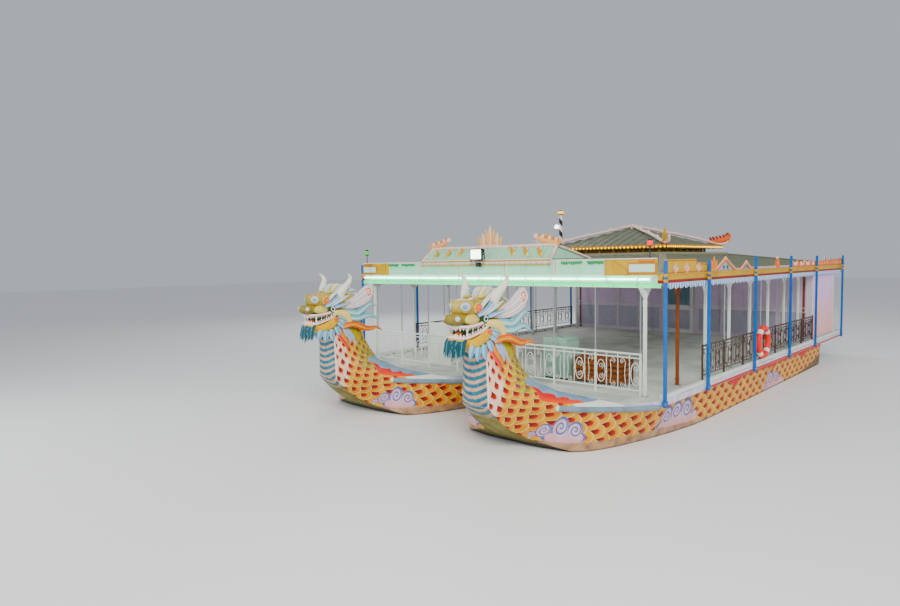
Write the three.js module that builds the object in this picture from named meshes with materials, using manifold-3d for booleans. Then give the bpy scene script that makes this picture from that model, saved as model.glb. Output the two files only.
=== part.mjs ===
// Twin dragon boat: two like hulls side by side under one open cabin, each with a dragon as its bow.
// Millimetres. +X is port, +Y is aft, +Z is up. Z 0 is the plane of the two flat bottoms.
import * as THREE from 'three';
import { mergeVertices } from 'three/addons/utils/BufferGeometryUtils.js';
import Module from 'manifold-3d';

const wasm = await Module();
wasm.setup();

// Driving dimensions
const LENGTH = 15140; // snout tip to the end of the deck
const BOW_REACH = 2990; // snout tip to the front posts
const ZERO_LINE = 500; // flat bottoms to the zero line of all heights, which is 80 above the waterline
const HULL_CENTRE = 1848; // middle plane of each hull, from the boat's middle
const DECK_HALF = 3695;
const POST_SIZE = 50;
const POST_X = DECK_HALF + POST_SIZE / 2; // middle of the side posts
const POST_PLACES = [0, 1770, 4260, 6740, 9040, 11950]; // aft of the front posts
const POST_FOOT = 479;
const POST_TOPS = [2810, 2810, 2870, 2870, 2870, 2870];
const HULL_DECK = 490; // top of the hulls
const DECK_TOP = 600;
const CURB_TOP = 680;
const CURB_WIDTH = 85;
const DECK_END = 12150;
const BEAM_LOW = 2450;
const BEAM_TOP = 2600;
const BEAM_WIDTH = 90;
const CEILING_LOW = 2420;
const COLUMN_X = 3350;
const COLUMN_SIZE = 50;
const PLATE_THICK = 30;
const PYRAMID_MIDDLE = 6200;
const PYRAMID_HALF = 1720;
const PYRAMID_EAVE = 3110;
const PYRAMID_APEX = 3690;
const ROOF_TOP = 2950;
const RAIL_TOP = 1300;
const SHAFT_UP = -270; // propeller shaft
const RUDDER_PLACE = 8950;

const aft = (place) => place + BOW_REACH - LENGTH / 2;
const up = (height) => height + ZERO_LINE;

// Materials
const paint = (color, roughness = 0.5, metalness = 0) =>
  new THREE.MeshStandardMaterial({ color, roughness, metalness });
const MATERIALS = {
  scales: paint(0xe8a21c, 0.45),
  blue: paint(0x2f7fd0, 0.4),
  orange: paint(0xd98a1e, 0.5),
  yellow: paint(0xe0b030, 0.5),
  white: paint(0xf0f0ea, 0.5),
  deck: paint(0xcfcdc6, 0.7),
  roof: paint(0x6f7562, 0.6, 0.2),
  ridge: paint(0xe7c9bd, 0.5),
  iron: paint(0x4a4440, 0.5, 0.5),
  wood: paint(0x6b4630, 0.6),
  locker: paint(0xa9c0b4, 0.5),
  bronze: paint(0xa9803c, 0.35, 0.9),
  boot: paint(0x4c4636, 0.7),
  ring: paint(0xe85a1c, 0.6),
  head: paint(0xb98432, 0.5),
  jaw: paint(0xe6d7a0, 0.5),
  lamp: paint(0xe8fff4, 0.2),
  red: paint(0xd02818, 0.3),
  green: paint(0x18a050, 0.3),
  valance: paint(0xa9bfdc, 0.6),
  panel: paint(0xe9d5e2, 0.6),
};

const boat = new THREE.Group();

function add(name, geometry, material) {
  const mesh = new THREE.Mesh(geometry, material);
  mesh.name = name;
  boat.add(mesh);
  return mesh;
}

// Solids and booleans
function bare(geometry) {
  const copy = geometry.clone();
  copy.deleteAttribute('normal');
  copy.deleteAttribute('uv');
  return mergeVertices(copy, 1e-3);
}

function toManifold(geometry) {
  const merged = bare(geometry);
  const vertProperties = new Float32Array(merged.attributes.position.array);
  const triVerts = new Uint32Array(merged.index.array);
  return new wasm.Manifold(new wasm.Mesh({ numProp: 3, vertProperties, triVerts }));
}

function fromManifold(solid) {
  const mesh = solid.getMesh();
  const geometry = new THREE.BufferGeometry();
  geometry.setAttribute('position', new THREE.BufferAttribute(mesh.vertProperties, 3));
  geometry.setIndex(new THREE.BufferAttribute(mesh.triVerts, 1));
  return geometry;
}

function join(...geometries) {
  return fromManifold(geometries.map(toManifold).reduce((whole, next) => whole.add(next)));
}

function cut(geometry, ...tools) {
  return fromManifold(tools.map(toManifold).reduce((whole, tool) => whole.subtract(tool),
    toManifold(geometry)));
}

// Shapes
function box(x0, x1, y0, y1, z0, z1) {
  const geometry = new THREE.BoxGeometry(x1 - x0, y1 - y0, z1 - z0);
  return geometry.translate((x0 + x1) / 2, (y0 + y1) / 2, (z0 + z1) / 2);
}

function outline(points) {
  return new THREE.Shape(points.map(([u, v]) => new THREE.Vector2(u, v)));
}

// A plan outline of X, Y points, raised from low to high
function slab(points, low, high) {
  const geometry = new THREE.ExtrudeGeometry(outline(points), { depth: high - low, bevelEnabled: false });
  return geometry.translate(0, 0, low);
}

// A side outline of Y, Z points, thick from x0 to x1
function board(points, x0, x1) {
  const geometry = new THREE.ExtrudeGeometry(outline(points), { depth: x1 - x0, bevelEnabled: false });
  const turn = new THREE.Matrix4().makeBasis(
    new THREE.Vector3(0, 1, 0), new THREE.Vector3(0, 0, 1), new THREE.Vector3(1, 0, 0));
  return geometry.applyMatrix4(turn).translate(x0, 0, 0);
}

function bar(points, radius, sides = 8) {
  const path = new THREE.CatmullRomCurve3(points.map((p) => new THREE.Vector3(...p)));
  const section = new THREE.Shape().absarc(0, 0, radius, 0, Math.PI * 2, false);
  const ring = new THREE.Shape(section.getPoints(sides / 4).slice(0, -1));
  return new THREE.ExtrudeGeometry(ring, { steps: (points.length - 1) * 3, extrudePath: path });
}

function straight(from, to, radius, sides = 12) {
  const start = new THREE.Vector3(...from);
  const span = new THREE.Vector3(...to).sub(start);
  const geometry = new THREE.CylinderGeometry(radius, radius, span.length(), sides);
  const turn = new THREE.Quaternion().setFromUnitVectors(
    new THREE.Vector3(0, 1, 0), span.clone().normalize());
  const middle = start.addScaledVector(span, 0.5);
  return geometry.applyQuaternion(turn).translate(middle.x, middle.y, middle.z);
}

function flipFaces(index) {
  for (let i = 0; i < index.length; i += 3) {
    [index[i + 1], index[i + 2]] = [index[i + 2], index[i + 1]];
  }
}

function signedVolume(points, index) {
  const corner = (i) => new THREE.Vector3(...points[index[i]]);
  let volume = 0;
  for (let i = 0; i < index.length; i += 3) {
    volume += corner(i).dot(corner(i + 1).cross(corner(i + 2)));
  }
  return volume;
}

// A closed skin over rings of equal count, with flat fans at its two ends
function loft(rings) {
  const count = rings[0].length;
  const points = rings.flat();
  const index = [];
  for (let r = 0; r < rings.length - 1; r += 1) {
    for (let i = 0; i < count; i += 1) {
      const a = r * count + i;
      const b = r * count + (i + 1) % count;
      index.push(a, b, a + count, b, b + count, a + count);
    }
  }
  const last = (rings.length - 1) * count;
  for (let i = 1; i < count - 1; i += 1) {
    index.push(0, i + 1, i);
    index.push(last, last + i, last + i + 1);
  }
  if (signedVolume(points, index) < 0) flipFaces(index);
  const geometry = new THREE.BufferGeometry();
  geometry.setAttribute('position', new THREE.Float32BufferAttribute(points.flat(), 3));
  geometry.setIndex(index);
  return geometry;
}

// Upright round sections along Y. Columns: place, half width, low, high, sideways shift
function spindle(rows, centre, sides = 12) {
  return loft(rows.map(([place, half, low, high, shift = 0]) => {
    const ring = [];
    for (let i = 0; i < sides; i += 1) {
      const turn = ((i + 0.5) / sides) * Math.PI * 2;
      ring.push([
        centre + shift + half * Math.cos(turn),
        aft(place),
        up((low + high) / 2 + ((high - low) / 2) * Math.sin(turn)),
      ]);
    }
    return ring;
  }));
}

// Level round sections up Z. Columns: height, sideways, place, radius
function horn(rows, centre, sides = 10) {
  return loft(rows.map(([height, sideways, place, radius]) => {
    const ring = [];
    for (let i = 0; i < sides; i += 1) {
      const turn = (i / sides) * Math.PI * 2;
      ring.push([centre + sideways + radius * Math.cos(turn), aft(place) + radius * Math.sin(turn),
        up(height)]);
    }
    return ring;
  }));
}

// Hull sections. Columns: place, bottom, flat half width, bilge height and half width, knuckle height
// and half width, flank height and half width, shoulder height and half width, top height and half width
const BOW_STATIONS = [
  [-2495, 800, 60, 860, 110, 1000, 125, 1150, 122, 1350, 120, 1550, 110],
  [-2465, 725, 120, 760, 185, 900, 190, 1110, 184, 1350, 178, 1550, 165],
  [-2415, 670, 190, 685, 250, 880, 246, 1100, 238, 1350, 232, 1550, 220],
  [-2200, 440, 200, 455, 268, 740, 395, 950, 375, 1250, 285, 1550, 250],
  [-1950, 235, 220, 255, 300, 700, 605, 920, 585, 1220, 335, 1550, 250],
  [-1810, 150, 245, 175, 345, 680, 735, 880, 715, 1170, 355, 1540, 235],
  [-1700, 75, 290, 105, 440, 655, 838, 860, 800, 1120, 370, 1410, 210],
  [-1580, -10, 420, 30, 680, 622, 955, 825, 875, 1020, 405, 1230, 210],
  [-1450, -85, 560, -35, 950, 604, 1080, 790, 950, 945, 480, 990, 320],
  [-1250, -190, 660, -100, 1137, 587, 1240, 730, 1050, 820, 640, 835, 480],
  [-1050, -280, 730, -150, 1241, 569, 1385, 690, 1140, 750, 800, 757, 640],
  [-840, -355, 800, -190, 1312, 551, 1500, 640, 1260, 680, 1050, 685, 900],
  [-620, -415, 890, -212, 1368, 528, 1602, 570, 1480, 590, 1300, 605, 1170],
];
const TRANSOM = 9850;
// The decked stations. Columns: place, bottom, flat half width, bilge height and half width, deck half width
const DECKED_STATIONS = [
  [-600, -420, 900, -214, 1372, 1610],
  [-300, -470, 1000, -245, 1421, 1725],
  [0, -ZERO_LINE, 1050, -270, 1480, 1795],
  [700, -ZERO_LINE, 1100, -280, 1646, 1812],
  [1600, -ZERO_LINE, 1100, -280, 1782, 1812],
  [2600, -ZERO_LINE, 1100, -280, 1800, 1812],
  [7000, -ZERO_LINE, 1100, -280, 1800, 1812],
  [7500, -430, 1080, -280, 1800, 1812],
  [7950, -270, 1000, -280, 1800, 1812],
  [8380, -60, 900, -275, 1795, 1812],
  [8900, -20, 880, -260, 1790, 1812],
  [9400, 0, 860, -190, 1785, 1812],
  [TRANSOM, 40, 840, -60, 1780, 1810],
];
const DECK_STEPS = [1400, 1200, 900];

function deckedRow([place, bottom, flat, bilge, bilgeHalf, deckHalf]) {
  const steps = DECK_STEPS.flatMap((half) => [HULL_DECK, half]);
  return [place, bottom, flat, bilge, bilgeHalf, HULL_DECK - 10, deckHalf, ...steps];
}

function hullRing(row, centre) {
  const [place, bottom, flat, ...rest] = row;
  const half = [[flat, bottom]];
  for (let i = 0; i < rest.length; i += 2) half.push([rest[i + 1], rest[i]]);
  const at = (x, z) => [centre + x, aft(place), up(z)];
  const topHeight = half[half.length - 1][1];
  return [
    at(0, bottom),
    ...half.map(([x, z]) => at(x, z)),
    at(0, topHeight),
    ...half.reverse().map(([x, z]) => at(-x, z)),
  ];
}

const RAIL_PATH = [ // half width, place, height: the knuckle that the rub rail follows
  [940, -1610, 627], [1148, -1380, 597], [1280, -1195, 582], [1400, -1010, 567],
  [1508, -818, 551], [1608, -612, 528], [1725, -300, 505], [1800, -50, 495],
];
const RUB_RADIUS = 45;
const SKEG_THICK = 80;
const SKEG_START = 6700;
const SKEG_END = 8450;
const STERN_TUBE = 60;
const SHAFT_RADIUS = 22;
const STOCK_RADIUS = 24;
const BORE_GAP = 0.8;

// Half of the deck's outline. Columns: sideways, place, way in which the outline grows sideways
const DECK_OUTLINE = [
  [0, -300, 0], [250, -300, -1], [420, -610, -1], [3300, -610, 1], [3500, -430, 1], [3640, -120, 1],
  [DECK_HALF, 40, 1], [DECK_HALF, DECK_END, 1], [0, DECK_END, 0],
];
const SEAT_GAP = 0.3;

function deckOutline(gap) {
  const half = DECK_OUTLINE.map(([x, y, grow]) => [x + grow * gap, y - gap]);
  const mirrored = half.slice(1, -1).reverse().map(([x, y]) => [-x, y]);
  return [...half, ...mirrored].map(([x, y]) => [x, aft(y)]);
}

// The well between the bulwarks, behind the neck
const WELL = [[0, -1180], [330, -1040], [770, -830], [1080, -632], [0, -632]];

function hull(centre) {
  const rings = [...BOW_STATIONS, ...DECKED_STATIONS.map(deckedRow)].map((row) => hullRing(row, centre));
  const skeg = board([
    [aft(SKEG_START), up(-ZERO_LINE)], [aft(SKEG_END), up(-ZERO_LINE)],
    [aft(SKEG_END), up(0)], [aft(SKEG_START), up(0)],
  ], centre - SKEG_THICK / 2, centre + SKEG_THICK / 2);
  const tube = straight([centre, aft(SKEG_END - 500), up(SHAFT_UP)],
    [centre, aft(SKEG_END), up(SHAFT_UP)], STERN_TUBE, 16);
  const rails = [1, -1].map((side) =>
    bar(RAIL_PATH.map(([x, y, z]) => [centre + side * x, aft(y), up(z)]), RUB_RADIUS));
  const well = slab([...WELL, ...WELL.slice(1, -1).reverse().map(([x, y]) => [-x, y])]
    .map(([x, y]) => [centre + x, aft(y)]), up(DECK_TOP), up(1200));
  const shaftBore = straight([centre, aft(SKEG_END - 350), up(SHAFT_UP)],
    [centre, aft(SKEG_END + 10), up(SHAFT_UP)], SHAFT_RADIUS + BORE_GAP, 24);
  const stockBore = straight([centre, aft(RUDDER_PLACE), up(-100)],
    [centre, aft(RUDDER_PLACE), up(300)], STOCK_RADIUS + BORE_GAP, 24);
  const deckRoom = slab(deckOutline(SEAT_GAP), up(HULL_DECK - SEAT_GAP), up(DECK_TOP + 100));
  return cut(join(loft(rings), skeg, tube, ...rails), deckRoom, well, shaftBore, stockBore);
}

const PROP_FRONT = SKEG_END + 12;
const PROP_BACK = PROP_FRONT + 130;
const PROP_RADIUS = 190;
const HUB_RADIUS = 46;
// Blade sections. Columns: radius, chord, pitch angle in degrees
const BLADE = [[30, 90, 58], [80, 130, 45], [130, 140, 34], [172, 100, 27], [PROP_RADIUS, 40, 24]];
const BLADE_COUNT = 3;
const BLADE_THICK = 12;

function blade(turn) {
  const rings = BLADE.map(([radius, chord, pitch]) => {
    const angle = THREE.MathUtils.degToRad(pitch);
    const corners = [[-1, 0], [0, 1], [1, 0], [0, -1]];
    return corners.map(([u, v]) => {
      const along = (u * chord) / 2;
      const thick = (v * BLADE_THICK) / 2;
      const sideways = along * Math.cos(angle) - thick * Math.sin(angle);
      const back = along * Math.sin(angle) + thick * Math.cos(angle);
      return [sideways, back, radius];
    });
  });
  return loft(rings).rotateY(turn);
}

function propeller(centre) {
  const middle = (PROP_FRONT + PROP_BACK) / 2;
  const blades = Array.from({ length: BLADE_COUNT }, (_, i) =>
    blade((i / BLADE_COUNT) * Math.PI * 2).translate(centre, aft(middle), up(SHAFT_UP)));
  const hub = straight([centre, aft(PROP_FRONT), up(SHAFT_UP)],
    [centre, aft(PROP_BACK), up(SHAFT_UP)], HUB_RADIUS, 16);
  const shaft = straight([centre, aft(SKEG_END - 340), up(SHAFT_UP)],
    [centre, aft(PROP_BACK + 25), up(SHAFT_UP)], SHAFT_RADIUS, 24);
  return join(hub, shaft, ...blades);
}

const RUDDER_LEAD = 70;
const RUDDER_CHORD = 260;
const RUDDER_LOW = -440;
const RUDDER_TOP = -110;
const RUDDER_THICK = 36;

function rudder(centre) {
  const lead = aft(RUDDER_PLACE - RUDDER_LEAD);
  const trail = aft(RUDDER_PLACE - RUDDER_LEAD + RUDDER_CHORD);
  const middle = aft(RUDDER_PLACE);
  const half = RUDDER_THICK / 2;
  const foil = slab([
    [centre, lead], [centre + half, middle], [centre + 5, trail], [centre - 5, trail],
    [centre - half, middle],
  ], up(RUDDER_LOW), up(RUDDER_TOP));
  const stock = straight([centre, middle, up(RUDDER_LOW + 60)], [centre, middle, up(280)],
    STOCK_RADIUS, 24);
  return join(foil, stock);
}

// Dragon head. Columns of the spindle tables: place, half width, low, high, sideways shift
const HEAD_SEAT = 1780;
const SEAT_HALF = 236;
const NECK_TOP = 1550;
const SKULL = [
  [-BOW_REACH, 90, 1940, 2150], [-2940, 150, 1905, 2240], [-2840, 190, 1890, 2290],
  [-2600, 215, 1885, 2305], [-2380, 270, 1860, 2330], [-2150, 330, 1780, 2340], [-1950, 320, 1700, 2310],
  [-1780, 240, 1700, 2240], [-1680, 150, 1760, 2160],
];
const HORN = [ // height, sideways, place, radius
  [2180, 250, -2270, 88], [2300, 305, -2265, 78], [2420, 360, -2200, 60], [2530, 405, -2145, 42],
  [2610, 440, -2170, 26], [2650, 452, -2225, 8],
];
const EAR = [[-2230, 60, 2000, 2120, 250], [-2000, 85, 2010, 2260, 310], [-1780, 90, 2080, 2400, 335],
  [-1640, 75, 2160, 2430, 330], [-1560, 40, 2210, 2370, 325]];
const STRANDS = [
  [[-2050, 50, 1960, 2100, 250], [-1850, 55, 1950, 2080, 290], [-1680, 45, 2020, 2110, 300],
    [-1450, 12, 2020, 2060, 310]],
  [[-2050, 50, 1800, 1940, 250], [-1850, 55, 1790, 1910, 290], [-1690, 45, 1810, 1900, 300],
    [-1410, 12, 1730, 1770, 310]],
  [[-2120, 60, 1790, 1920, 262], [-1950, 60, 1690, 1850, 300], [-1700, 50, 1540, 1640, 305],
    [-1450, 40, 1520, 1590, 310], [-1290, 12, 1490, 1530, 315]],
];
const JAW = [
  [-2860, 120, 1650, 1775], [-2790, 185, 1600, 1790], [-2680, 200, 1500, 1800], [-2530, 212, 1470, 1820],
  [-2350, 228, 1500, 1850], [-2100, 230, 1500, 1850], [-1830, 215, 1520, 1830],
];
// The beard's level sections. Columns: height, half width, half depth, place
const BEARD = [[1740, 150, 40, -2815], [1640, 200, 50, -2850], [1520, 170, 45, -2870], [1430, 90, 20, -2880]];

function beard(centre) {
  return loft(BEARD.map(([height, half, depth, place]) => Array.from({ length: 12 }, (_, i) => {
    const turn = (i / 12) * Math.PI * 2;
    return [centre + half * Math.cos(turn), aft(place) + depth * Math.sin(turn), up(height)];
  })));
}

function head(centre) {
  const skull = spindle(SKULL, centre, 16);
  const horns = [1, -1].map((side) => horn(HORN.map(([z, x, y, r]) => [z, side * x, y, r]), centre));
  const curls = [EAR, ...STRANDS].flatMap((rows) => [1, -1].map((side) =>
    spindle(rows.map(([y, half, low, high, x]) => [y, half, low, high, side * x]), centre, 8)));
  const whole = join(skull, ...horns, ...curls);
  const underside = box(centre - SEAT_HALF, centre + SEAT_HALF, aft(-3200), aft(-1600), up(1300),
    up(HEAD_SEAT));
  return cut(whole, underside);
}

function jaw(centre) {
  const whole = join(spindle(JAW, centre, 16), beard(centre));
  const above = box(centre - 400, centre + 400, aft(-3200), aft(-1500), up(HEAD_SEAT), up(2100));
  const neckRoom = box(centre - 400, centre + 400, aft(-2505), aft(-1500), up(1300), up(NECK_TOP));
  return cut(whole, above, neckRoom);
}

const SIDES = [['port', 1], ['starboard', -1]];
for (const [name, side] of SIDES) {
  const centre = side * HULL_CENTRE;
  add(`hull_${name}`, hull(centre), MATERIALS.scales);
  add(`propeller_${name}`, propeller(centre), MATERIALS.bronze);
  add(`rudder_${name}`, rudder(centre), MATERIALS.boot);
  add(`dragon_jaw_${name}`, jaw(centre), MATERIALS.jaw);
  add(`dragon_head_${name}`, head(centre), MATERIALS.head);
}

// Main deck with its raised edge
function mainDeck() {
  const plate = slab(deckOutline(0), up(HULL_DECK), up(DECK_TOP));
  const curbs = SIDES.map(([, side]) => {
    const [inner, outer] = [side * (DECK_HALF - CURB_WIDTH), side * DECK_HALF].sort((a, b) => a - b);
    return box(inner, outer, aft(40), aft(DECK_END), up(DECK_TOP - 10), up(CURB_TOP));
  });
  return join(plate, ...curbs);
}
add('main_deck', mainDeck(), MATERIALS.deck);

// Side posts, outside the deck edge and the eave beams
for (const [name, side] of SIDES) {
  POST_PLACES.forEach((place, i) => {
    const half = POST_SIZE / 2;
    const x = side * POST_X;
    add(`post_${name}_${i + 1}`, box(x - half, x + half, aft(place) - half, aft(place) + half,
      up(POST_FOOT), up(POST_TOPS[i])), MATERIALS.blue);
  });
}

// Eave beams
const BEAM_FRONT = -36;
const BEAM_INNER = DECK_HALF - BEAM_WIDTH;
for (const [name, side] of SIDES) {
  const [x0, x1] = [side * BEAM_INNER, side * DECK_HALF].sort((a, b) => a - b);
  add(`eave_beam_${name}`, box(x0, x1, aft(BEAM_FRONT), aft(DECK_END), up(BEAM_LOW), up(BEAM_TOP)),
    MATERIALS.orange);
}
add('eave_beam_front', box(-BEAM_INNER, BEAM_INNER, aft(BEAM_FRONT), aft(BEAM_FRONT + BEAM_WIDTH),
  up(BEAM_LOW), up(BEAM_TOP)), MATERIALS.orange);
add('eave_beam_rear', box(-BEAM_INNER, BEAM_INNER, aft(DECK_END - BEAM_WIDTH), aft(DECK_END),
  up(BEAM_LOW), up(BEAM_TOP)), MATERIALS.orange);

// Ceiling, and the inner columns under it with their top plates
const CEILING_HALF = DECK_HALF - 35;
add('ceiling', box(-CEILING_HALF, CEILING_HALF, aft(0), aft(DECK_END - 20), up(CEILING_LOW), up(BEAM_LOW)),
  MATERIALS.white);

const COLUMN_COUNT = 8;
const COLUMN_FIRST = 60;
const COLUMN_LAST = 8800;
for (const [name, side] of SIDES) {
  const x = side * COLUMN_X;
  const half = COLUMN_SIZE / 2;
  const plate = box(x - half, x + half, aft(COLUMN_FIRST - 40), aft(COLUMN_LAST + 40),
    up(CEILING_LOW - PLATE_THICK), up(CEILING_LOW));
  const columns = Array.from({ length: COLUMN_COUNT }, (_, i) => {
    const place = aft(COLUMN_FIRST + ((COLUMN_LAST - COLUMN_FIRST) * i) / (COLUMN_COUNT - 1));
    return box(x - half, x + half, place - half, place + half, up(DECK_TOP), up(CEILING_LOW - 10));
  });
  add(`columns_${name}`, join(plate, ...columns), MATERIALS.white);
}

// Main roof: a low hipped shell
function hipped(x, y0, y1, low, topX, topY0, topY1, high) {
  const ring = (half, front, back, height) => [
    [-half, aft(front), up(height)], [half, aft(front), up(height)],
    [half, aft(back), up(height)], [-half, aft(back), up(height)],
  ];
  return loft([ring(x, y0, y1, low), ring(topX, topY0, topY1, high)]);
}
const SHEET = 30;
const PLATEAU = { half: 1750, front: 4200, back: 8200 };
function mainRoof() {
  const front = BEAM_FRONT + 10;
  const back = DECK_END - 10;
  const outer = hipped(DECK_HALF - 10, front, back, BEAM_TOP,
    PLATEAU.half, PLATEAU.front, PLATEAU.back, ROOF_TOP);
  const inner = hipped(BEAM_INNER + 10, front + 80, back - 80, BEAM_TOP - SHEET,
    PLATEAU.half, PLATEAU.front, PLATEAU.back, ROOF_TOP - SHEET);
  return cut(outer, inner);
}
add('main_roof', mainRoof(), MATERIALS.roof);

// Lantern: the low curb between the main roof and the pyramid roof
const LANTERN_HALF = 1400;
add('lantern', box(-LANTERN_HALF, LANTERN_HALF, aft(PYRAMID_MIDDLE - LANTERN_HALF),
  aft(PYRAMID_MIDDLE + LANTERN_HALF), up(ROOF_TOP), up(PYRAMID_EAVE)), MATERIALS.yellow);

// Pyramid roof with a short upright rim, and its ridge caps with upturned ends
const RIM = 40;
function pyramidSolid(gap) {
  const half = PYRAMID_HALF + gap;
  const [m0, m1] = [PYRAMID_MIDDLE - half, PYRAMID_MIDDLE + half];
  const tip = 60 + gap;
  const lid = hipped(half, m0, m1, PYRAMID_EAVE + RIM, tip, PYRAMID_MIDDLE - tip,
    PYRAMID_MIDDLE + tip, PYRAMID_APEX);
  const rim = hipped(half, m0, m1, PYRAMID_EAVE, half, m0, m1, PYRAMID_EAVE + RIM);
  return join(lid, rim).translate(0, 0, gap);
}
add('pyramid_roof', pyramidSolid(0), MATERIALS.roof);

const CAP_RADIUS = 38;
function ridgeCaps() {
  const knob = straight([0, aft(PYRAMID_MIDDLE), up(PYRAMID_APEX - 40)],
    [0, aft(PYRAMID_MIDDLE), up(PYRAMID_APEX + 90)], 75, 12);
  const caps = SIDES.flatMap(([, across]) => SIDES.map(([, along]) => {
    const at = (out, height) => [across * out, aft(PYRAMID_MIDDLE) + along * out, up(height)];
    return bar([
      at(30, PYRAMID_APEX + 50), at(900, PYRAMID_EAVE + RIM + 372), at(PYRAMID_HALF - 60, PYRAMID_EAVE + RIM + 66),
      at(PYRAMID_HALF + 60, PYRAMID_EAVE + RIM + 90), at(PYRAMID_HALF + 110, PYRAMID_EAVE + RIM + 190),
    ], CAP_RADIUS);
  }));
  return cut(join(knob, ...caps), pyramidSolid(SEAT_GAP));
}
add('pyramid_ridges', ridgeCaps(), MATERIALS.ridge);

// Porch roof over the middle of the front
const PORCH_EAVE = 2870;
const PORCH = { half: 1640, front: -60, back: 1270, ridgeHalf: 1590, ridgePlace: 220, ridge: 3120 };
function porchRoof() {
  const outer = hipped(PORCH.half, PORCH.front, PORCH.back, PORCH_EAVE,
    PORCH.ridgeHalf, PORCH.ridgePlace - 20, PORCH.ridgePlace + 20, PORCH.ridge);
  const legs = SIDES.map(([, side]) => {
    const [x0, x1] = [side * (PORCH.half - 160), side * (PORCH.half - 60)].sort((a, b) => a - b);
    return box(x0, x1, aft(PORCH.front + 60), aft(PORCH.back - 100), up(2500), up(PORCH_EAVE + 10));
  });
  return cut(join(outer, ...legs), mainRoofBlock());
}
function mainRoofBlock() {
  const front = BEAM_FRONT + 10;
  const back = DECK_END - 10;
  const block = hipped(DECK_HALF - 10, front, back, BEAM_TOP,
    PLATEAU.half, PLATEAU.front, PLATEAU.back, ROOF_TOP);
  const base = box(-DECK_HALF, DECK_HALF, aft(front - 100), aft(back), up(2300), up(BEAM_TOP));
  return join(block, base).translate(0, 0, 0.3);
}
add('porch_roof', porchRoof(), MATERIALS.roof);

// Front board with its lamp tube and floodlight
const BOARD_TOP = 2850;
const BOARD_THICK = 26;
add('front_board', box(-BEAM_INNER, BEAM_INNER, aft(BEAM_FRONT - BOARD_THICK), aft(BEAM_FRONT),
  up(BEAM_LOW + 110), up(BOARD_TOP)), MATERIALS.yellow);

const LED_PLACE = BEAM_FRONT - BOARD_THICK - 34;
const LED_HEIGHT = 2515;
const LED_HALF = 3560;
function ledTube() {
  const tube = straight([-LED_HALF, aft(LED_PLACE), up(LED_HEIGHT)], [LED_HALF, aft(LED_PLACE), up(LED_HEIGHT)],
    20, 12);
  const clips = [-3300, -1650, 0, 1650, 3300].map((x) =>
    box(x - 15, x + 15, aft(LED_PLACE), aft(BEAM_FRONT), up(LED_HEIGHT - 12), up(LED_HEIGHT + 12)));
  return join(tube, ...clips);
}
add('lamp_tube', ledTube(), MATERIALS.lamp);

function floodlight() {
  const face = BEAM_FRONT - BOARD_THICK;
  const body = box(-150, 150, aft(face - 160), aft(face - 40), up(2870), up(3090));
  const bracket = box(-40, 40, aft(face - 80), aft(face), up(2740), up(2900));
  return join(body, bracket);
}
add('floodlight', floodlight(), MATERIALS.lamp);

// Front band under the beam
add('front_band', box(-CEILING_HALF, CEILING_HALF, aft(BEAM_FRONT + 5), aft(BEAM_FRONT + 25), up(2375),
  up(BEAM_LOW)), MATERIALS.green);

// Parapet over each side eave. Columns: place, height
const PARAPET = [
  [60, 2825], [1270, 2825], [1290, 2770], [1840, 2750], [1900, 2640], [2160, 2640], [2666, 2850],
  [3200, 2640], [3500, 2640], [3800, 2770], [4100, 2640], [5690, 2640], [5740, 2800], [5830, 2855],
  [5920, 2800], [5970, 2640], [6820, 2640], [6920, 2770], [7150, 2680], [7450, 2770], [7800, 2670],
  [8200, 2770], [8600, 2670], [8880, 2760], [8980, 2650], [9120, 2720], [9940, 2740], [10040, 2850],
  [10140, 2740], [10500, 2750], [10600, 2850], [10700, 2750], [11440, 2770], [11540, 2850], [11640, 2775],
  [12000, 2790],
];
for (const [name, side] of SIDES) {
  const [x0, x1] = [side * (DECK_HALF - 8), side * (DECK_HALF - 38)].sort((a, b) => a - b);
  const points = [[60, BEAM_TOP], ...PARAPET, [12000, BEAM_TOP]].map(([y, z]) => [aft(y), up(z)]);
  const whole = board(points.reverse(), x0, x1);
  add(`parapet_${name}`, cut(whole, mainRoofBlock()), MATERIALS.orange);
}

// Scalloped valances under the side eaves
const SCALLOP = 200;
const VALANCE_LOW = 2345;
for (const [name, side] of SIDES) {
  const [x0, x1] = [side * (CEILING_HALF + 4), side * (CEILING_HALF + 16)].sort((a, b) => a - b);
  const points = [[aft(20), up(BEAM_LOW)]];
  const count = Math.floor((DECK_END - 40) / SCALLOP);
  for (let i = 0; i < count; i += 1) {
    const start = 20 + i * SCALLOP;
    points.push([aft(start), up(VALANCE_LOW + 45)], [aft(start + SCALLOP * 0.25), up(VALANCE_LOW + 8)],
      [aft(start + SCALLOP * 0.5), up(VALANCE_LOW)], [aft(start + SCALLOP * 0.75), up(VALANCE_LOW + 8)]);
  }
  points.push([aft(20 + count * SCALLOP), up(VALANCE_LOW + 45)], [aft(20 + count * SCALLOP), up(BEAM_LOW)]);
  add(`valance_${name}`, board(points, x0, x1), MATERIALS.valance);
}

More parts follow.
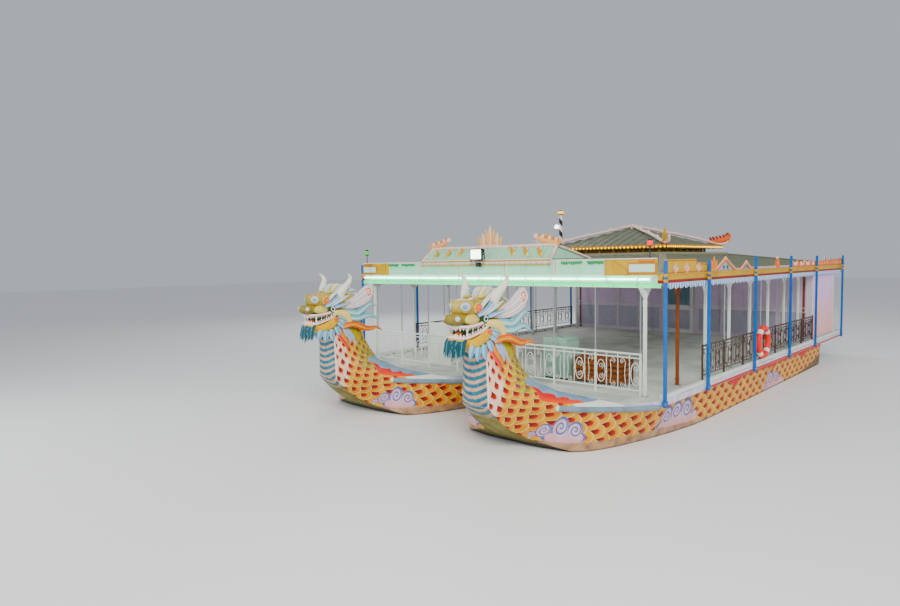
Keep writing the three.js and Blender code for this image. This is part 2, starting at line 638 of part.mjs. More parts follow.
// Railings along X or Y: top rail, low rail, stanchions and balusters
function railing(from, to, foot, spacing, stanchionEvery) {
  const [[x0, y0], [x1, y1]] = [from, to];
  const along = Math.hypot(x1 - x0, y1 - y0);
  const alongX = Math.abs(x1 - x0) > Math.abs(y1 - y0);
  const piece = (start, end, half, low, high) => (alongX
    ? box(x0 + start, x0 + end, y0 - half, y0 + half, up(low), up(high))
    : box(x0 - half, x0 + half, y0 + start, y0 + end, up(low), up(high)));
  const parts = [
    piece(0, along, 20, RAIL_TOP - 36, RAIL_TOP),
    piece(0, along, 12, foot + 70, foot + 94),
  ];
  const count = Math.round(along / spacing);
  for (let i = 0; i <= count; i += 1) {
    const middle = Math.min(Math.max((along * i) / count, 16), along - 16);
    const stanchion = i % stanchionEvery === 0 || i === count;
    const half = stanchion ? 16 : 8;
    parts.push(piece(middle - half, middle + half, half, stanchion ? foot : foot + 80, RAIL_TOP - 10));
  }
  return join(...parts);
}
const SIDE_RAIL_X = DECK_HALF - 42;
for (const [name, side] of SIDES) {
  add(`rail_side_${name}`, railing([side * SIDE_RAIL_X, aft(1650)], [side * SIDE_RAIL_X, aft(9000)],
    CURB_TOP, 210, 5), MATERIALS.iron);
  const [x0, x1] = [side * 760, side * 3290].sort((a, b) => a - b);
  add(`rail_front_${name}`, railing([x0, aft(60)], [x1, aft(60)], DECK_TOP, 210, 4), MATERIALS.white);
}
add('rail_rear', railing([-3560, aft(12080)], [3560, aft(12080)], DECK_TOP, 260, 5), MATERIALS.white);

// Front bench, locker and helm
add('front_bench', box(1700, 2700, aft(520), aft(960), up(DECK_TOP), up(1060)), MATERIALS.wood);
add('locker', box(1050, 1600, aft(480), aft(960), up(DECK_TOP), up(1380)), MATERIALS.locker);
const HELM = { x: -1750, front: 520, back: 860, top: 1500, hub: 1280 };
add('helm_console', box(HELM.x - 350, HELM.x + 350, aft(HELM.front), aft(HELM.back), up(DECK_TOP),
  up(HELM.top)), MATERIALS.white);

const WHEEL_RADIUS = 240;
const WHEEL_GAP = 70;
function helmWheel() {
  const rim = new THREE.LatheGeometry([
    [WHEEL_RADIUS - 14, -14], [WHEEL_RADIUS + 14, -14], [WHEEL_RADIUS + 14, 14], [WHEEL_RADIUS - 14, 14],
    [WHEEL_RADIUS - 14, -14],
  ].map(([r, h]) => new THREE.Vector2(r, h)), 32);
  const spokes = [0, 1, 2].map((i) => {
    const turn = (i * Math.PI) / 3;
    const reach = WHEEL_RADIUS;
    return straight([-reach * Math.cos(turn), 0, -reach * Math.sin(turn)],
      [reach * Math.cos(turn), 0, reach * Math.sin(turn)], 10, 8);
  });
  const hub = straight([0, -WHEEL_GAP + 0.4, 0], [0, 24, 0], 34, 16);
  return join(rim, hub, ...spokes).translate(HELM.x, aft(HELM.back + WHEEL_GAP), up(HELM.hub));
}
add('helm_wheel', helmWheel(), MATERIALS.wood);

// Aft cabin: thin walls round the stern end, with a doorway in the front wall
const CABIN = { half: 3600, front: 9150, back: 11450, wall: 40 };
const DOOR = { x0: -450, x1: 450, top: 2300 };
function aftCabin() {
  const outer = box(-CABIN.half, CABIN.half, aft(CABIN.front), aft(CABIN.back), up(DECK_TOP), up(CEILING_LOW));
  const inner = box(-CABIN.half + CABIN.wall, CABIN.half - CABIN.wall, aft(CABIN.front + CABIN.wall),
    aft(CABIN.back - CABIN.wall), up(DECK_TOP - 10), up(CEILING_LOW + 10));
  const doorway = box(DOOR.x0, DOOR.x1, aft(CABIN.front - 10), aft(CABIN.front + CABIN.wall + 10),
    up(DECK_TOP - 10), up(DOOR.top));
  const windows = SIDES.map(([, side]) => box(side * 1900 - 500, side * 1900 + 500,
    aft(CABIN.back - CABIN.wall - 10), aft(CABIN.back + 10), up(1450), up(2150)));
  return cut(outer, inner, doorway, ...windows);
}
add('aft_cabin', aftCabin(), MATERIALS.panel);

const DOOR_GAP = 6;
const HINGE = { x: DOOR.x0 - 10, place: CABIN.front - 6, radius: 5.7, low: 900, step: 1000, height: 120 };
function aftDoor() {
  const leafFront = CABIN.front + 2;
  const leaf = box(DOOR.x0 + DOOR_GAP, DOOR.x1 - DOOR_GAP, aft(leafFront), aft(leafFront + 34),
    up(DECK_TOP + DOOR_GAP), up(DOOR.top - DOOR_GAP));
  const hinges = [0, 1].flatMap((i) => {
    const low = HINGE.low + i * HINGE.step;
    return [
      straight([HINGE.x, aft(HINGE.place), up(low)], [HINGE.x, aft(HINGE.place), up(low + HINGE.height)],
        HINGE.radius, 12),
      box(HINGE.x, DOOR.x0 + 70, aft(HINGE.place - 3), aft(HINGE.place + 3), up(low), up(low + HINGE.height)),
      box(DOOR.x0 + DOOR_GAP, DOOR.x0 + 70, aft(HINGE.place), aft(leafFront + 5), up(low),
        up(low + HINGE.height)),
    ];
  });
  return join(leaf, ...hinges);
}
add('aft_door', aftDoor(), MATERIALS.white);

// Life rings on the outside of the side rails
const RING = { place: 4745, height: 1050, radius: 300, tube: 60 };
for (const [name, side] of SIDES) {
  const section = Array.from({ length: 9 }, (_, i) => {
    const turn = (i / 8) * Math.PI * 2;
    return new THREE.Vector2(RING.radius + RING.tube * Math.cos(turn), RING.tube * Math.sin(turn));
  });
  const x = side * (SIDE_RAIL_X + 20 + RING.tube + 0.3);
  add(`life_ring_${name}`, new THREE.LatheGeometry(section, 24).rotateZ(Math.PI / 2)
    .translate(x, aft(RING.place), up(RING.height)), MATERIALS.ring);
}

// Mast with its lamp, and the side lamps
function mast() {
  const place = aft(2750);
  const foot = BEAM_TOP + (ROOF_TOP - BEAM_TOP) * ((2750 + 26) / (PLATEAU.front + 26));
  const pole = straight([0, place, up(foot + 12)], [0, place, up(3880)], 40, 12);
  const lamp = straight([0, place, up(3870)], [0, place, up(3980)], 70, 12);
  const plate = box(-90, 90, place - 90, place + 90, up(foot - 40), up(foot + 30));
  return cut(join(pole, lamp, plate), mainRoofBlock());
}
add('mast', mast(), MATERIALS.white);

for (const [name, side, material] of [['port', 1, MATERIALS.red], ['starboard', -1, MATERIALS.green]]) {
  const x = side * 3480;
  const y = aft(BEAM_FRONT - BOARD_THICK / 2);
  const stalk = straight([x, y, up(BOARD_TOP)], [x, y, up(3050)], 10, 8);
  const lamp = straight([x, y, up(3040)], [x, y, up(3160)], 50, 12);
  add(`side_lamp_${name}`, join(stalk, lamp), material);
}

export default boat;
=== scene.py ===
import math
import random

import bmesh
import bpy
import numpy as np
from mathutils import Matrix, Vector


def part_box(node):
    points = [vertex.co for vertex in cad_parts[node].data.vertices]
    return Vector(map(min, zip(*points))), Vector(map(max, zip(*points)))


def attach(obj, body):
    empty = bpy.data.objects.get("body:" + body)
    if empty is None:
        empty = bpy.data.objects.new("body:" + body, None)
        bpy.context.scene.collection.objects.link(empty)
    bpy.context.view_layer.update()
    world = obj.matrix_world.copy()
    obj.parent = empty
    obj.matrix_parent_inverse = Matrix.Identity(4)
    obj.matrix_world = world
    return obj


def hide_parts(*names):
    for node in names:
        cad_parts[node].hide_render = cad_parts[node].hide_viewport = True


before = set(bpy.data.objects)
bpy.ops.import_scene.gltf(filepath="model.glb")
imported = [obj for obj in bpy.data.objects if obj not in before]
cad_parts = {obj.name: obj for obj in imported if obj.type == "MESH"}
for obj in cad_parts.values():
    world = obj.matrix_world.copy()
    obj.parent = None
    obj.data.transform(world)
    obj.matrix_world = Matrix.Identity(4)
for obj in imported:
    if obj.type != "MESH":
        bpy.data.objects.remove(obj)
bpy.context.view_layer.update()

# Driving places, from the frame. Tables below give metres aft of the front posts and above the zero line.
ZERO_LINE = 0.5
WATERLINE = 0.42
SIDES = (("port", 1), ("starboard", -1))
WAYS = (1, -1)
UP = (0, 0, 1)


def middle(node):
    """The middle of a node's box."""
    low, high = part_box(node)
    return (low + high) / 2


FRONT = middle("post_port_1").y
HULL_CENTRE = middle("rudder_port").x
DECK_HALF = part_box("main_deck")[1].x


def aft(place):
    return place + FRONT


def up(height):
    return height + ZERO_LINE


def at(x, place, height):
    """The point x metres to port, aft of the front posts and above the zero line."""
    return np.array([x, aft(place), up(height)])


def mirrored(half):
    """An outline with its mirror image on the other side of the middle."""
    return half + [[-x, y] for x, y in half[::-1] if x > 0]


def circle(count):
    """Angles at equal steps round a circle."""
    return np.arange(count) * 2 * math.pi / count


# Camera at the photograph's viewing angle
CAMERA_PLACE = (8.003, aft(-9.49), up(2.818))
YAW, PITCH, ROLL = (math.radians(angle) for angle in (43.18, 3.61, 0.90))
LENS = 25.26
SENSOR = 36.0
VIEW_REACH = 400


def make_camera():
    data = bpy.data.cameras.new("camera")
    data.sensor_width = SENSOR
    data.lens = LENS
    data.clip_end = VIEW_REACH
    camera = bpy.data.objects.new("camera", data)
    ahead = Vector((-math.sin(YAW) * math.cos(PITCH), math.cos(YAW) * math.cos(PITCH), -math.sin(PITCH)))
    level = Vector((math.cos(YAW), math.sin(YAW), 0))
    below = ahead.cross(level)
    right = level * math.cos(ROLL) + below * math.sin(ROLL)
    down = below * math.cos(ROLL) - level * math.sin(ROLL)
    turn = Matrix((right, -down, -ahead)).transposed()
    camera.matrix_world = Matrix.Translation(CAMERA_PLACE) @ turn.to_4x4()
    bpy.context.scene.collection.objects.link(camera)
    bpy.context.scene.camera = camera


# Materials
SATURATION = 1.5
SPECULAR = 0.3
GRIME = (0.10, 0.085, 0.06, 1.0)
TONE = (0.25, 0.22, 0.18, 1.0)


def rgb(code):
    """A linear colour from an 0xRRGGBB code, made stronger because the render pales strong colours."""
    parts = [(code >> shift & 255) / 255 for shift in (16, 8, 0)]
    linear = [((p + 0.055) / 1.055) ** 2.4 if p > 0.04045 else p / 12.92 for p in parts]
    grey = 0.21 * linear[0] + 0.72 * linear[1] + 0.07 * linear[2]
    return tuple(min(max(grey + (c - grey) * SATURATION, 0.0), 1.0) for c in linear) + (1.0,)


def shade(code, share):
    """The colour of a code, darkened to a share of its strength."""
    return tuple(c * share for c in rgb(code)[:3]) + (1.0,)


class Value:
    """A number inside a material's node tree, with the usual arithmetic."""

    def __init__(self, paint, socket):
        self.paint = paint
        self.socket = socket

    def __add__(self, other):
        return self.paint.math("ADD", self, other)

    def __sub__(self, other):
        return self.paint.math("SUBTRACT", self, other)

    def __rsub__(self, other):
        return self.paint.math("SUBTRACT", other, self)

    def __mul__(self, other):
        return self.paint.math("MULTIPLY", self, other)

    def __truediv__(self, other):
        return self.paint.math("DIVIDE", self, other)

    __radd__ = __add__
    __rmul__ = __mul__


class Paint:
    """A node material that is built up by small methods. A colour is a code, four numbers or a socket."""

    def __init__(self, name, rough=0.5, metal=0.0, glow=None, glow_strength=0.0, coat=0.0, clear=0.0):
        self.material = bpy.data.materials.new(name)
        self.material.use_nodes = True
        self.tree = self.material.node_tree
        self.shader = self.tree.nodes["Principled BSDF"]
        settings = {"Roughness": rough, "Metallic": metal, "Specular IOR Level": SPECULAR,
                    "Coat Weight": coat, "Transmission Weight": clear}
        if glow:
            settings["Emission Color"] = rgb(glow)
            settings["Emission Strength"] = glow_strength
        for key, value in settings.items():
            self.shader.inputs[key].default_value = value
        self.rough_level = rough
        self.known = {}

    def node(self, kind, *values, **settings):
        """A new node with its settings, and with values for its first sockets."""
        made = self.tree.nodes.new(kind)
        for key, value in settings.items():
            setattr(made, key, value)
        for socket, value in zip(made.inputs, values):
            self.put(socket, value)
        return made

    def put(self, socket, value):
        if isinstance(value, Value):
            value = value.socket
        if isinstance(value, bpy.types.NodeSocket):
            self.tree.links.new(value, socket)
        elif socket.type == "RGBA" and isinstance(value, int):
            socket.default_value = rgb(value)
        else:
            socket.default_value = value

    def math(self, operation, *values):
        return Value(self, self.node("ShaderNodeMath", *values, operation=operation).outputs[0])

    def smooth(self, value, low, high):
        """Rises smoothly from 0 to 1 as the value goes from low to high."""
        made = self.node("ShaderNodeMapRange", value, low, high, interpolation_type="SMOOTHSTEP")
        return Value(self, made.outputs[0])

    def line(self, value, low, high, at_low, at_high):
        return Value(self, self.node("ShaderNodeMapRange", value, low, high, at_low, at_high).outputs[0])

    def near(self, value, reach, edge):
        """1 where the value is close to 0, and 0 beyond reach."""
        return self.smooth(self.math("ABSOLUTE", value), reach, edge)

    def curve(self, value, rows):
        """The value's height on a line through rows of place and height."""
        first, last = rows[0][0], rows[-1][0]
        low = min(row[1] for row in rows)
        span = max(row[1] for row in rows) - low
        made = self.node("ShaderNodeFloatCurve")
        points = made.mapping.curves[0].points
        for place, height in rows[1:-1]:
            points.new((place - first) / (last - first), (height - low) / span)
        points[0].location = (0, (rows[0][1] - low) / span)
        points[-1].location = (1, (rows[-1][1] - low) / span)
        for point in points:
            point.handle_type = "VECTOR"
        made.mapping.update()
        self.put(made.inputs["Value"], self.line(value, first, last, 0.0, 1.0))
        return Value(self, made.outputs[0]) * span + low

    def chain(self, operation, values):
        whole = values[0]
        for value in values[1:]:
            whole = self.math(operation, whole, value)
        return whole

    def least(self, *values):
        return self.chain("MINIMUM", values)

    def most(self, *values):
        return self.chain("MAXIMUM", values)

    def split(self, key, kind, output, **settings):
        """The numbers in a coordinate node's output. Each node is made once."""
        if key not in self.known:
            self.known[key] = self.node(kind, **settings).outputs[output]
            parts = self.node("ShaderNodeSeparateXYZ", self.known[key])
            self.known[key + " parts"] = tuple(Value(self, socket) for socket in parts.outputs)
        return self.known[key + " parts"]

    def place(self):
        """X, Y and Z of the point in the piece."""
        return self.split("object", "ShaderNodeTexCoord", "Object")

    def height(self):
        """The point's height above the zero line."""
        return self.place()[2] - ZERO_LINE

    def layer(self, name):
        """The two coordinates of a named UV layer."""
        return self.split(name, "ShaderNodeUVMap", 0, uv_map=name)[:2]

    def noise(self, scale, detail=3.0, stretch=(1, 1, 1)):
        self.place()
        mapping = self.node("ShaderNodeMapping", self.known["object"])
        mapping.inputs["Scale"].default_value = stretch
        made = self.node("ShaderNodeTexNoise", mapping.outputs[0])
        made.inputs["Scale"].default_value = scale
        made.inputs["Detail"].default_value = detail
        return Value(self, made.outputs[0])

    def spots(self, scale, reach):
        """Round spots in loose rows: 1 in a spot's middle, 0 outside it."""
        self.place()
        made = self.node("ShaderNodeTexVoronoi", self.known["object"])
        made.inputs["Scale"].default_value = scale
        made.inputs["Randomness"].default_value = 0.35
        return self.smooth(Value(self, made.outputs[0]), reach, reach * 0.6)

    def mix(self, share, low, high, kind="MIX"):
        """Runs from one colour to the other as the share goes from 0 to 1."""
        made = self.node("ShaderNodeMix", share, data_type="RGBA", blend_type=kind)
        for place, colour in ((6, low), (7, high)):
            self.put(made.inputs[place], colour)
        return made.outputs[2]

    def blend(self, tone, low, high, start=0.35, end=0.7):
        """Runs from one colour to the other as a tone rises from start to end."""
        return self.mix(self.smooth(tone, start, end), low, high)

    def colour(self, value):
        """Sets the colour that lay() puts others over."""
        self.ground = value
        self.put(self.shader.inputs["Base Color"], value)
        return self

    def lay(self, share, colour, kind="MIX"):
        """Lays a colour over the one so far, as far as the share says."""
        return self.colour(self.mix(share, self.ground, colour, kind))

    def rough(self, value):
        self.put(self.shader.inputs["Roughness"], value)
        return self

    def bump(self, height, strength, distance):
        made = self.node("ShaderNodeBump")
        made.inputs["Strength"].default_value = strength
        made.inputs["Distance"].default_value = distance
        self.put(made.inputs["Height"], height)
        self.put(self.shader.inputs["Normal"], made.outputs[0])
        return self


def painted(name, code, rough=0.4, grime=0.25, scale=7.0, **more):
    """Paint that varies in tone, with soft grime in streaks, and roughness that follows it."""
    paint = Paint(name, rough, **more)
    tone = paint.noise(scale, 5)
    fine = paint.noise(scale * 9, 3)
    dirty = paint.smooth(paint.noise(2.2, 4, (2.5, 2.5, 0.35)), 0.52, 0.78) * grime
    paint.colour(code).lay(paint.smooth(tone, 0.3, 0.7) * 0.35, TONE, "SOFT_LIGHT").lay(dirty, GRIME)
    paint.rough(paint.rough_level + (tone - 0.5) * 0.15 + dirty * 0.3)
    return paint.bump(fine * 0.5 + tone, 0.12, 0.004)


def dotted(name, code, dot, scale):
    """Paint with round raised dots, as on the dragons' snouts."""
    paint = Paint(name, 0.42)
    spots = paint.spots(scale, 0.3)
    tone = paint.smooth(paint.noise(9.0, 4), 0.35, 0.7)
    colour = paint.mix(tone * 0.5, code, shade(code, 0.55))
    return paint.colour(paint.mix(spots, colour, dot)).bump(spots + tone * 0.4, 0.5, 0.008)


def shaded(name, below, above, start, end, rough=0.45):
    """Paint that runs from one colour to another between two heights above the zero line."""
    paint = Paint(name, rough)
    height = paint.place()[2]
    tone = paint.noise(12.0, 4)
    colour = paint.mix(paint.smooth(height + (tone - 0.5) * 0.15, up(start), up(end)), below, above)
    return paint.colour(colour).bump(tone, 0.2, 0.006)


def glowing(name, code, strength, rough, scale, dark):
    """A lit surface with slightly darker patches."""
    paint = Paint(name, rough, glow=code, glow_strength=strength)
    return paint.colour(paint.mix(paint.noise(scale, 2), code, shade(code, dark)))


# Mesh building
def unit(vector):
    vector = np.asarray(vector, float)
    return vector / max(np.linalg.norm(vector), 1e-9)


def resample(rows, steps):
    """Rows of numbers on a smooth curve through the given rows, with steps to each stretch."""
    rows = np.asarray(rows, float)
    if steps <= 1 or len(rows) < 3:
        return rows
    padded = np.vstack([2 * rows[0] - rows[1], rows, 2 * rows[-1] - rows[-2]])
    made = []
    for i in range(1, len(padded) - 2):
        p0, p1, p2, p3 = padded[i - 1:i + 3]
        for t in np.arange(steps) / steps:
            made.append(0.5 * (2 * p1 + (p2 - p0) * t + (2 * p0 - 5 * p1 + 4 * p2 - p3) * t * t
                               + (3 * p1 - p0 - 3 * p2 + p3) * t ** 3))
    made.append(rows[-1])
    return np.array(made)


def rect(x0, x1, z0, z1, inset=0.0):
    """The outline of a rectangle, drawn in by an inset."""
    x0, x1, z0, z1 = x0 + inset, x1 - inset, z0 + inset, z1 - inset
    return [(x0, z0), (x1, z0), (x1, z1), (x0, z1)]


def signed_area(outline):
    """Twice an outline's area, above zero where it runs anticlockwise."""
    after = np.roll(outline, -1, 0)
    return np.sum(outline[:, 0] * after[:, 1] - after[:, 0] * outline[:, 1])


def outward_normals(outline):
    """The direction out of an outline at each of its points."""
    tangent = np.roll(outline, -1, 0) - np.roll(outline, 1, 0)
    normal = np.stack([tangent[:, 1], -tangent[:, 0]], 1)
    normal /= np.maximum(np.linalg.norm(normal, axis=1), 1e-9)[:, None]
    return normal * np.sign(signed_area(outline))


class Shape:
    """The points and faces of one piece, gathered from simple closed forms. A paint is given by its name."""

    def __init__(self):
        self.points = []
        self.faces = []
        self.paints = []

    def skin(self, rings, paint, ends=False):
        """A closed skin over rings of equal count; ends joins the last ring to the first."""
        start, count = len(self.points), len(rings[0])
        self.points += [tuple(float(c) for c in point) for ring in rings for point in ring]
        faces = ring_faces(len(rings), count, ends)
        self.faces += [tuple(start + i for i in face) for face in faces]
        self.paints += [paint] * len(faces)

    def block(self, low, high, paint, chamfer=0.004):
        """A box with chamfered edges."""
        low, high = np.minimum(low, high), np.maximum(low, high)
        c = min(chamfer, min(high - low) * 0.4)
        ring = []
        for sx, sy in ((-1, -1), (1, -1), (1, 1), (-1, 1)):
            x, y = (high[0] if sx > 0 else low[0]), (high[1] if sy > 0 else low[1])
            pair = [(x - sx * c, y), (x, y - sy * c)]
            ring += pair if sx * sy > 0 else pair[::-1]
        centre = (low + high) / 2
        rings = []
        for z, inset in ((low[2], c), (low[2] + c, 0), (high[2] - c, 0), (high[2], c)):
            rings.append([(x + math.copysign(inset, centre[0] - x),
                           y + math.copysign(inset, centre[1] - y), z) for x, y in ring])
        self.skin(rings, paint)

    def sweep(self, points, sizes, paint, sides=10, side=None, steps=4, closed=False):
        """An oval section along a smooth path. sizes is a radius or pair, or a list of them by point."""
        points = np.asarray(points, float)
        if not isinstance(sizes, list):
            sizes = [sizes] * len(points)
        sizes = [(s, s) if np.isscalar(s) else s for s in sizes]
        rows = resample(np.hstack([points, np.asarray(sizes, float)]), steps)
        path, sizes = rows[:, :3], np.maximum(rows[:, 3:], 1e-4)
        if closed:
            path, sizes = path[:-1], sizes[:-1]
            along = np.roll(path, -1, 0) - np.roll(path, 1, 0)
        else:
            along = np.gradient(path, axis=0)
        across = np.asarray(side if side is not None else np.cross(along[0], (0.31, 0.2, 0.93)), float)
        rings = []
        for p, t, (w, h) in zip(path, along, sizes):
            t = unit(t)
            across = unit(across - t * across.dot(t))
            rise = np.cross(t, across)
            rings.append([p + across * w * math.cos(a) + rise * h * math.sin(a) for a in circle(sides)])
        self.skin(rings, paint, closed)

    def turned(self, profile, centre, paint, sides=24, axis=UP, ring=False):
        """Pairs of radius and height turned about an axis. A ring stays open at the axis."""
        if profile[0][0] > 0 and not ring:
            profile = [(0, profile[0][1])] + profile
        if profile[-1][0] > 0 and not ring:
            profile = profile + [(0, profile[-1][1])]
        axis = unit(axis)
        across = unit(np.cross(axis, (0.3, 0.9, 0.2)))
        third = np.cross(axis, across)
        rings = []
        for radius, height in profile:
            foot = np.asarray(centre) + axis * height
            radius = max(radius, 1e-4)
            rings.append([foot + (across * math.cos(a) + third * math.sin(a)) * radius
                          for a in circle(sides)])
        self.skin(rings, paint)

    def ball(self, centre, radii, paint, sides=16, rows=10, turn=None):
        """An ellipsoid. radii is one radius, or three along the axes of turn."""
        turn = np.eye(3) if turn is None else np.array(turn)
        rings = []
        for r in range(rows + 1):
            height = -math.cos(math.pi * r / rows)
            radius = max(math.sin(math.pi * r / rows), 1e-3)
            ring = [np.array((radius * math.cos(a), radius * math.sin(a), height)) for a in circle(sides)]
            rings.append([np.asarray(centre) + turn @ (point * radii) for point in ring])
        self.skin(rings, paint)

    def plate(self, outline, to_space, low, high, paint, bevel=0.0):
        """An outline of u, v points made thick from low to high along w. to_space takes u, v and w."""
        outline = np.asarray(outline, float)
        steps = ((outline, low), (outline, high))
        if bevel:
            inner = outline - outward_normals(outline) * bevel
            steps = ((inner, low), (outline, low + bevel), (outline, high - bevel), (inner, high))
        self.skin([[to_space(u, v, w) for u, v in ring] for ring, w in steps], paint)


def ring_faces(rings, count, ends=False):
    """The faces between rings of count points, with a cap on each end ring unless the ends are joined."""
    faces = []
    for r in range(rings if ends else rings - 1):
        a, b = r * count, (r + 1) % rings * count
        faces += [(a + i, a + (i + 1) % count, b + (i + 1) % count, b + i) for i in range(count)]
    if not ends:
        faces += [tuple(range(count)), tuple(range((rings - 1) * count, rings * count))]
    return faces


def face_outwards(mesh):
    """Turns the faces of closed forms outwards."""
    work = bmesh.new()
    work.from_mesh(mesh)
    bmesh.ops.recalc_face_normals(work, faces=work.faces)
    work.to_mesh(mesh)
    work.free()


def new_object(name, mesh):
    made = bpy.data.objects.new(name, mesh)
    bpy.context.scene.collection.objects.link(made)
    return made


def mesh_of(name, shape):
    """A mesh with a shape's points, faces and paints."""
    mesh = bpy.data.meshes.new(name)
    mesh.from_pydata(shape.points, [], shape.faces)
    order = list(dict.fromkeys(shape.paints))
    for paint in order:
        mesh.materials.append(PAINTS[paint].material)
    mesh.polygons.foreach_set("material_index", [order.index(p) for p in shape.paints])
    face_outwards(mesh)
    return mesh


def piece(name, shape, body="boat", replaces=(), crease=40):
    """Makes a shape's object and fastens it to its body."""
    fasten(name, mesh_of(name, shape), body, replaces, crease)


def fasten(name, mesh, body, replaces, crease):
    mesh.polygons.foreach_set("use_smooth", [True] * len(mesh.polygons))
    mesh.set_sharp_from_angle(angle=math.radians(crease))
    made = new_object(name, mesh)
    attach(made, body)
    if replaces:
        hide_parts(*replaces)


PAINTS = {}


# Hull form. Columns: place, bottom, flat half width, then height and half width of the bilge, knuckle,
# flank, shoulder and top
BOW_STATIONS = [
    [-2.495, 0.800, 0.060, 0.860, 0.110, 1.000, 0.125, 1.150, 0.122, 1.350, 0.120, 1.550, 0.110],
    [-2.465, 0.725, 0.120, 0.760, 0.185, 0.900, 0.190, 1.110, 0.184, 1.350, 0.178, 1.550, 0.165],
    [-2.415, 0.670, 0.190, 0.685, 0.250, 0.880, 0.246, 1.100, 0.238, 1.350, 0.232, 1.550, 0.220],
    [-2.200, 0.440, 0.200, 0.455, 0.268, 0.740, 0.395, 0.950, 0.375, 1.250, 0.285, 1.550, 0.250],
    [-1.950, 0.235, 0.220, 0.255, 0.300, 0.700, 0.605, 0.920, 0.585, 1.220, 0.335, 1.550, 0.250],
    [-1.810, 0.150, 0.245, 0.175, 0.345, 0.680, 0.735, 0.880, 0.715, 1.170, 0.355, 1.540, 0.235],
    [-1.700, 0.075, 0.290, 0.105, 0.440, 0.655, 0.838, 0.860, 0.800, 1.120, 0.370, 1.410, 0.210],
    [-1.580, -0.010, 0.420, 0.030, 0.680, 0.622, 0.955, 0.825, 0.875, 1.020, 0.405, 1.230, 0.210],
    [-1.450, -0.085, 0.560, -0.035, 0.950, 0.604, 1.080, 0.790, 0.950, 0.945, 0.480, 0.990, 0.320],
    [-1.250, -0.190, 0.660, -0.100, 1.137, 0.587, 1.240, 0.730, 1.050, 0.820, 0.640, 0.835, 0.480],
    [-1.050, -0.280, 0.730, -0.150, 1.241, 0.569, 1.385, 0.690, 1.140, 0.750, 0.800, 0.757, 0.640],
    [-0.840, -0.355, 0.800, -0.190, 1.312, 0.551, 1.500, 0.640, 1.260, 0.680, 1.050, 0.685, 0.900],
    [-0.620, -0.415, 0.890, -0.212, 1.368, 0.528, 1.602, 0.570, 1.480, 0.590, 1.300, 0.605, 1.170],
]
HULL_DECK = 0.49
DECK_TOP = 0.60
# Columns: place, bottom, flat half width, bilge height and half width, deck half width
DECKED_STATIONS = [
    [-0.600, -0.420, 0.900, -0.214, 1.372, 1.610],
    [-0.300, -0.470, 1.000, -0.245, 1.421, 1.725],
    [0.000, -0.500, 1.050, -0.270, 1.480, 1.795],
    [0.700, -0.500, 1.100, -0.280, 1.646, 1.812],
    [1.600, -0.500, 1.100, -0.280, 1.782, 1.812],
    [2.600, -0.500, 1.100, -0.280, 1.800, 1.812],
    [7.000, -0.500, 1.100, -0.280, 1.800, 1.812],
    [7.500, -0.430, 1.080, -0.280, 1.800, 1.812],
    [7.950, -0.270, 1.000, -0.280, 1.800, 1.812],
    [8.380, -0.060, 0.900, -0.275, 1.795, 1.812],
    [8.900, -0.020, 0.880, -0.260, 1.790, 1.812],
    [9.400, 0.000, 0.860, -0.190, 1.785, 1.812],
    [9.850, 0.040, 0.840, -0.060, 1.780, 1.810],
]
BOW_END = -0.62
HULL_END = DECKED_STATIONS[-1][0]
NECK_FRONT = -2.412
WELL = [[0, -1.180], [0.330, -1.040], [0.770, -0.830], [1.080, -0.632], [0, -0.632]]
RAIL_PATH = [
    [0.940, -1.610, 0.627], [1.148, -1.380, 0.597], [1.280, -1.195, 0.582], [1.400, -1.010, 0.567],
    [1.508, -0.818, 0.551], [1.608, -0.612, 0.528], [1.725, -0.300, 0.505], [1.800, -0.050, 0.495],
]
RUB_RADIUS = 0.045
SKEG = {"start": 6.7, "end": 8.45, "thick": 0.08, "shaft": -0.27, "tube": 0.06}


def slopes(x, y):
    """Slopes for a smooth curve through the points that overshoots none of them."""
    h, d = np.diff(x), np.diff(y) / np.diff(x)
    made = np.zeros(len(x))
    made[0], made[-1] = d[0], d[-1]
    for i in range(1, len(x) - 1):
        if d[i - 1] * d[i] > 0:
            w1, w2 = 2 * h[i] + h[i - 1], h[i] + 2 * h[i - 1]
            made[i] = (w1 + w2) / (w1 / d[i - 1] + w2 / d[i])
    return made


def curve_at(x, y, wanted):
    """Values at the wanted places on the smooth curve through x and y."""
    m = slopes(x, y)
    i = np.clip(np.searchsorted(x, wanted) - 1, 0, len(x) - 2)
    h = x[i + 1] - x[i]
    t = (wanted - x[i]) / h
    return ((1 + 2 * t) * (1 - t) ** 2 * y[i] + t * (1 - t) ** 2 * h * m[i]
            + t * t * (3 - 2 * t) * y[i + 1] + t * t * (t - 1) * h * m[i + 1])


def station_rows():
    decked = []
    for place, bottom, flat, bilge, bilge_half, deck_half in DECKED_STATIONS:
        decked.append([place, bottom, flat, bilge, bilge_half, HULL_DECK - 0.01, deck_half,
                       HULL_DECK, 1.4, HULL_DECK, 1.2, HULL_DECK, 0.9])
    table = np.array(BOW_STATIONS + decked)
    places = np.concatenate([np.linspace(-2.495, -2.40, 9), np.linspace(-2.37, BOW_END, 56),
                             np.linspace(-0.6, 0.7, 16), np.linspace(0.9, 7.0, 26),
                             np.linspace(7.15, HULL_END, 19)])
    columns = [curve_at(table[:, 0], table[:, k], places) for k in range(1, table.shape[1])]
    return np.column_stack([places] + columns)


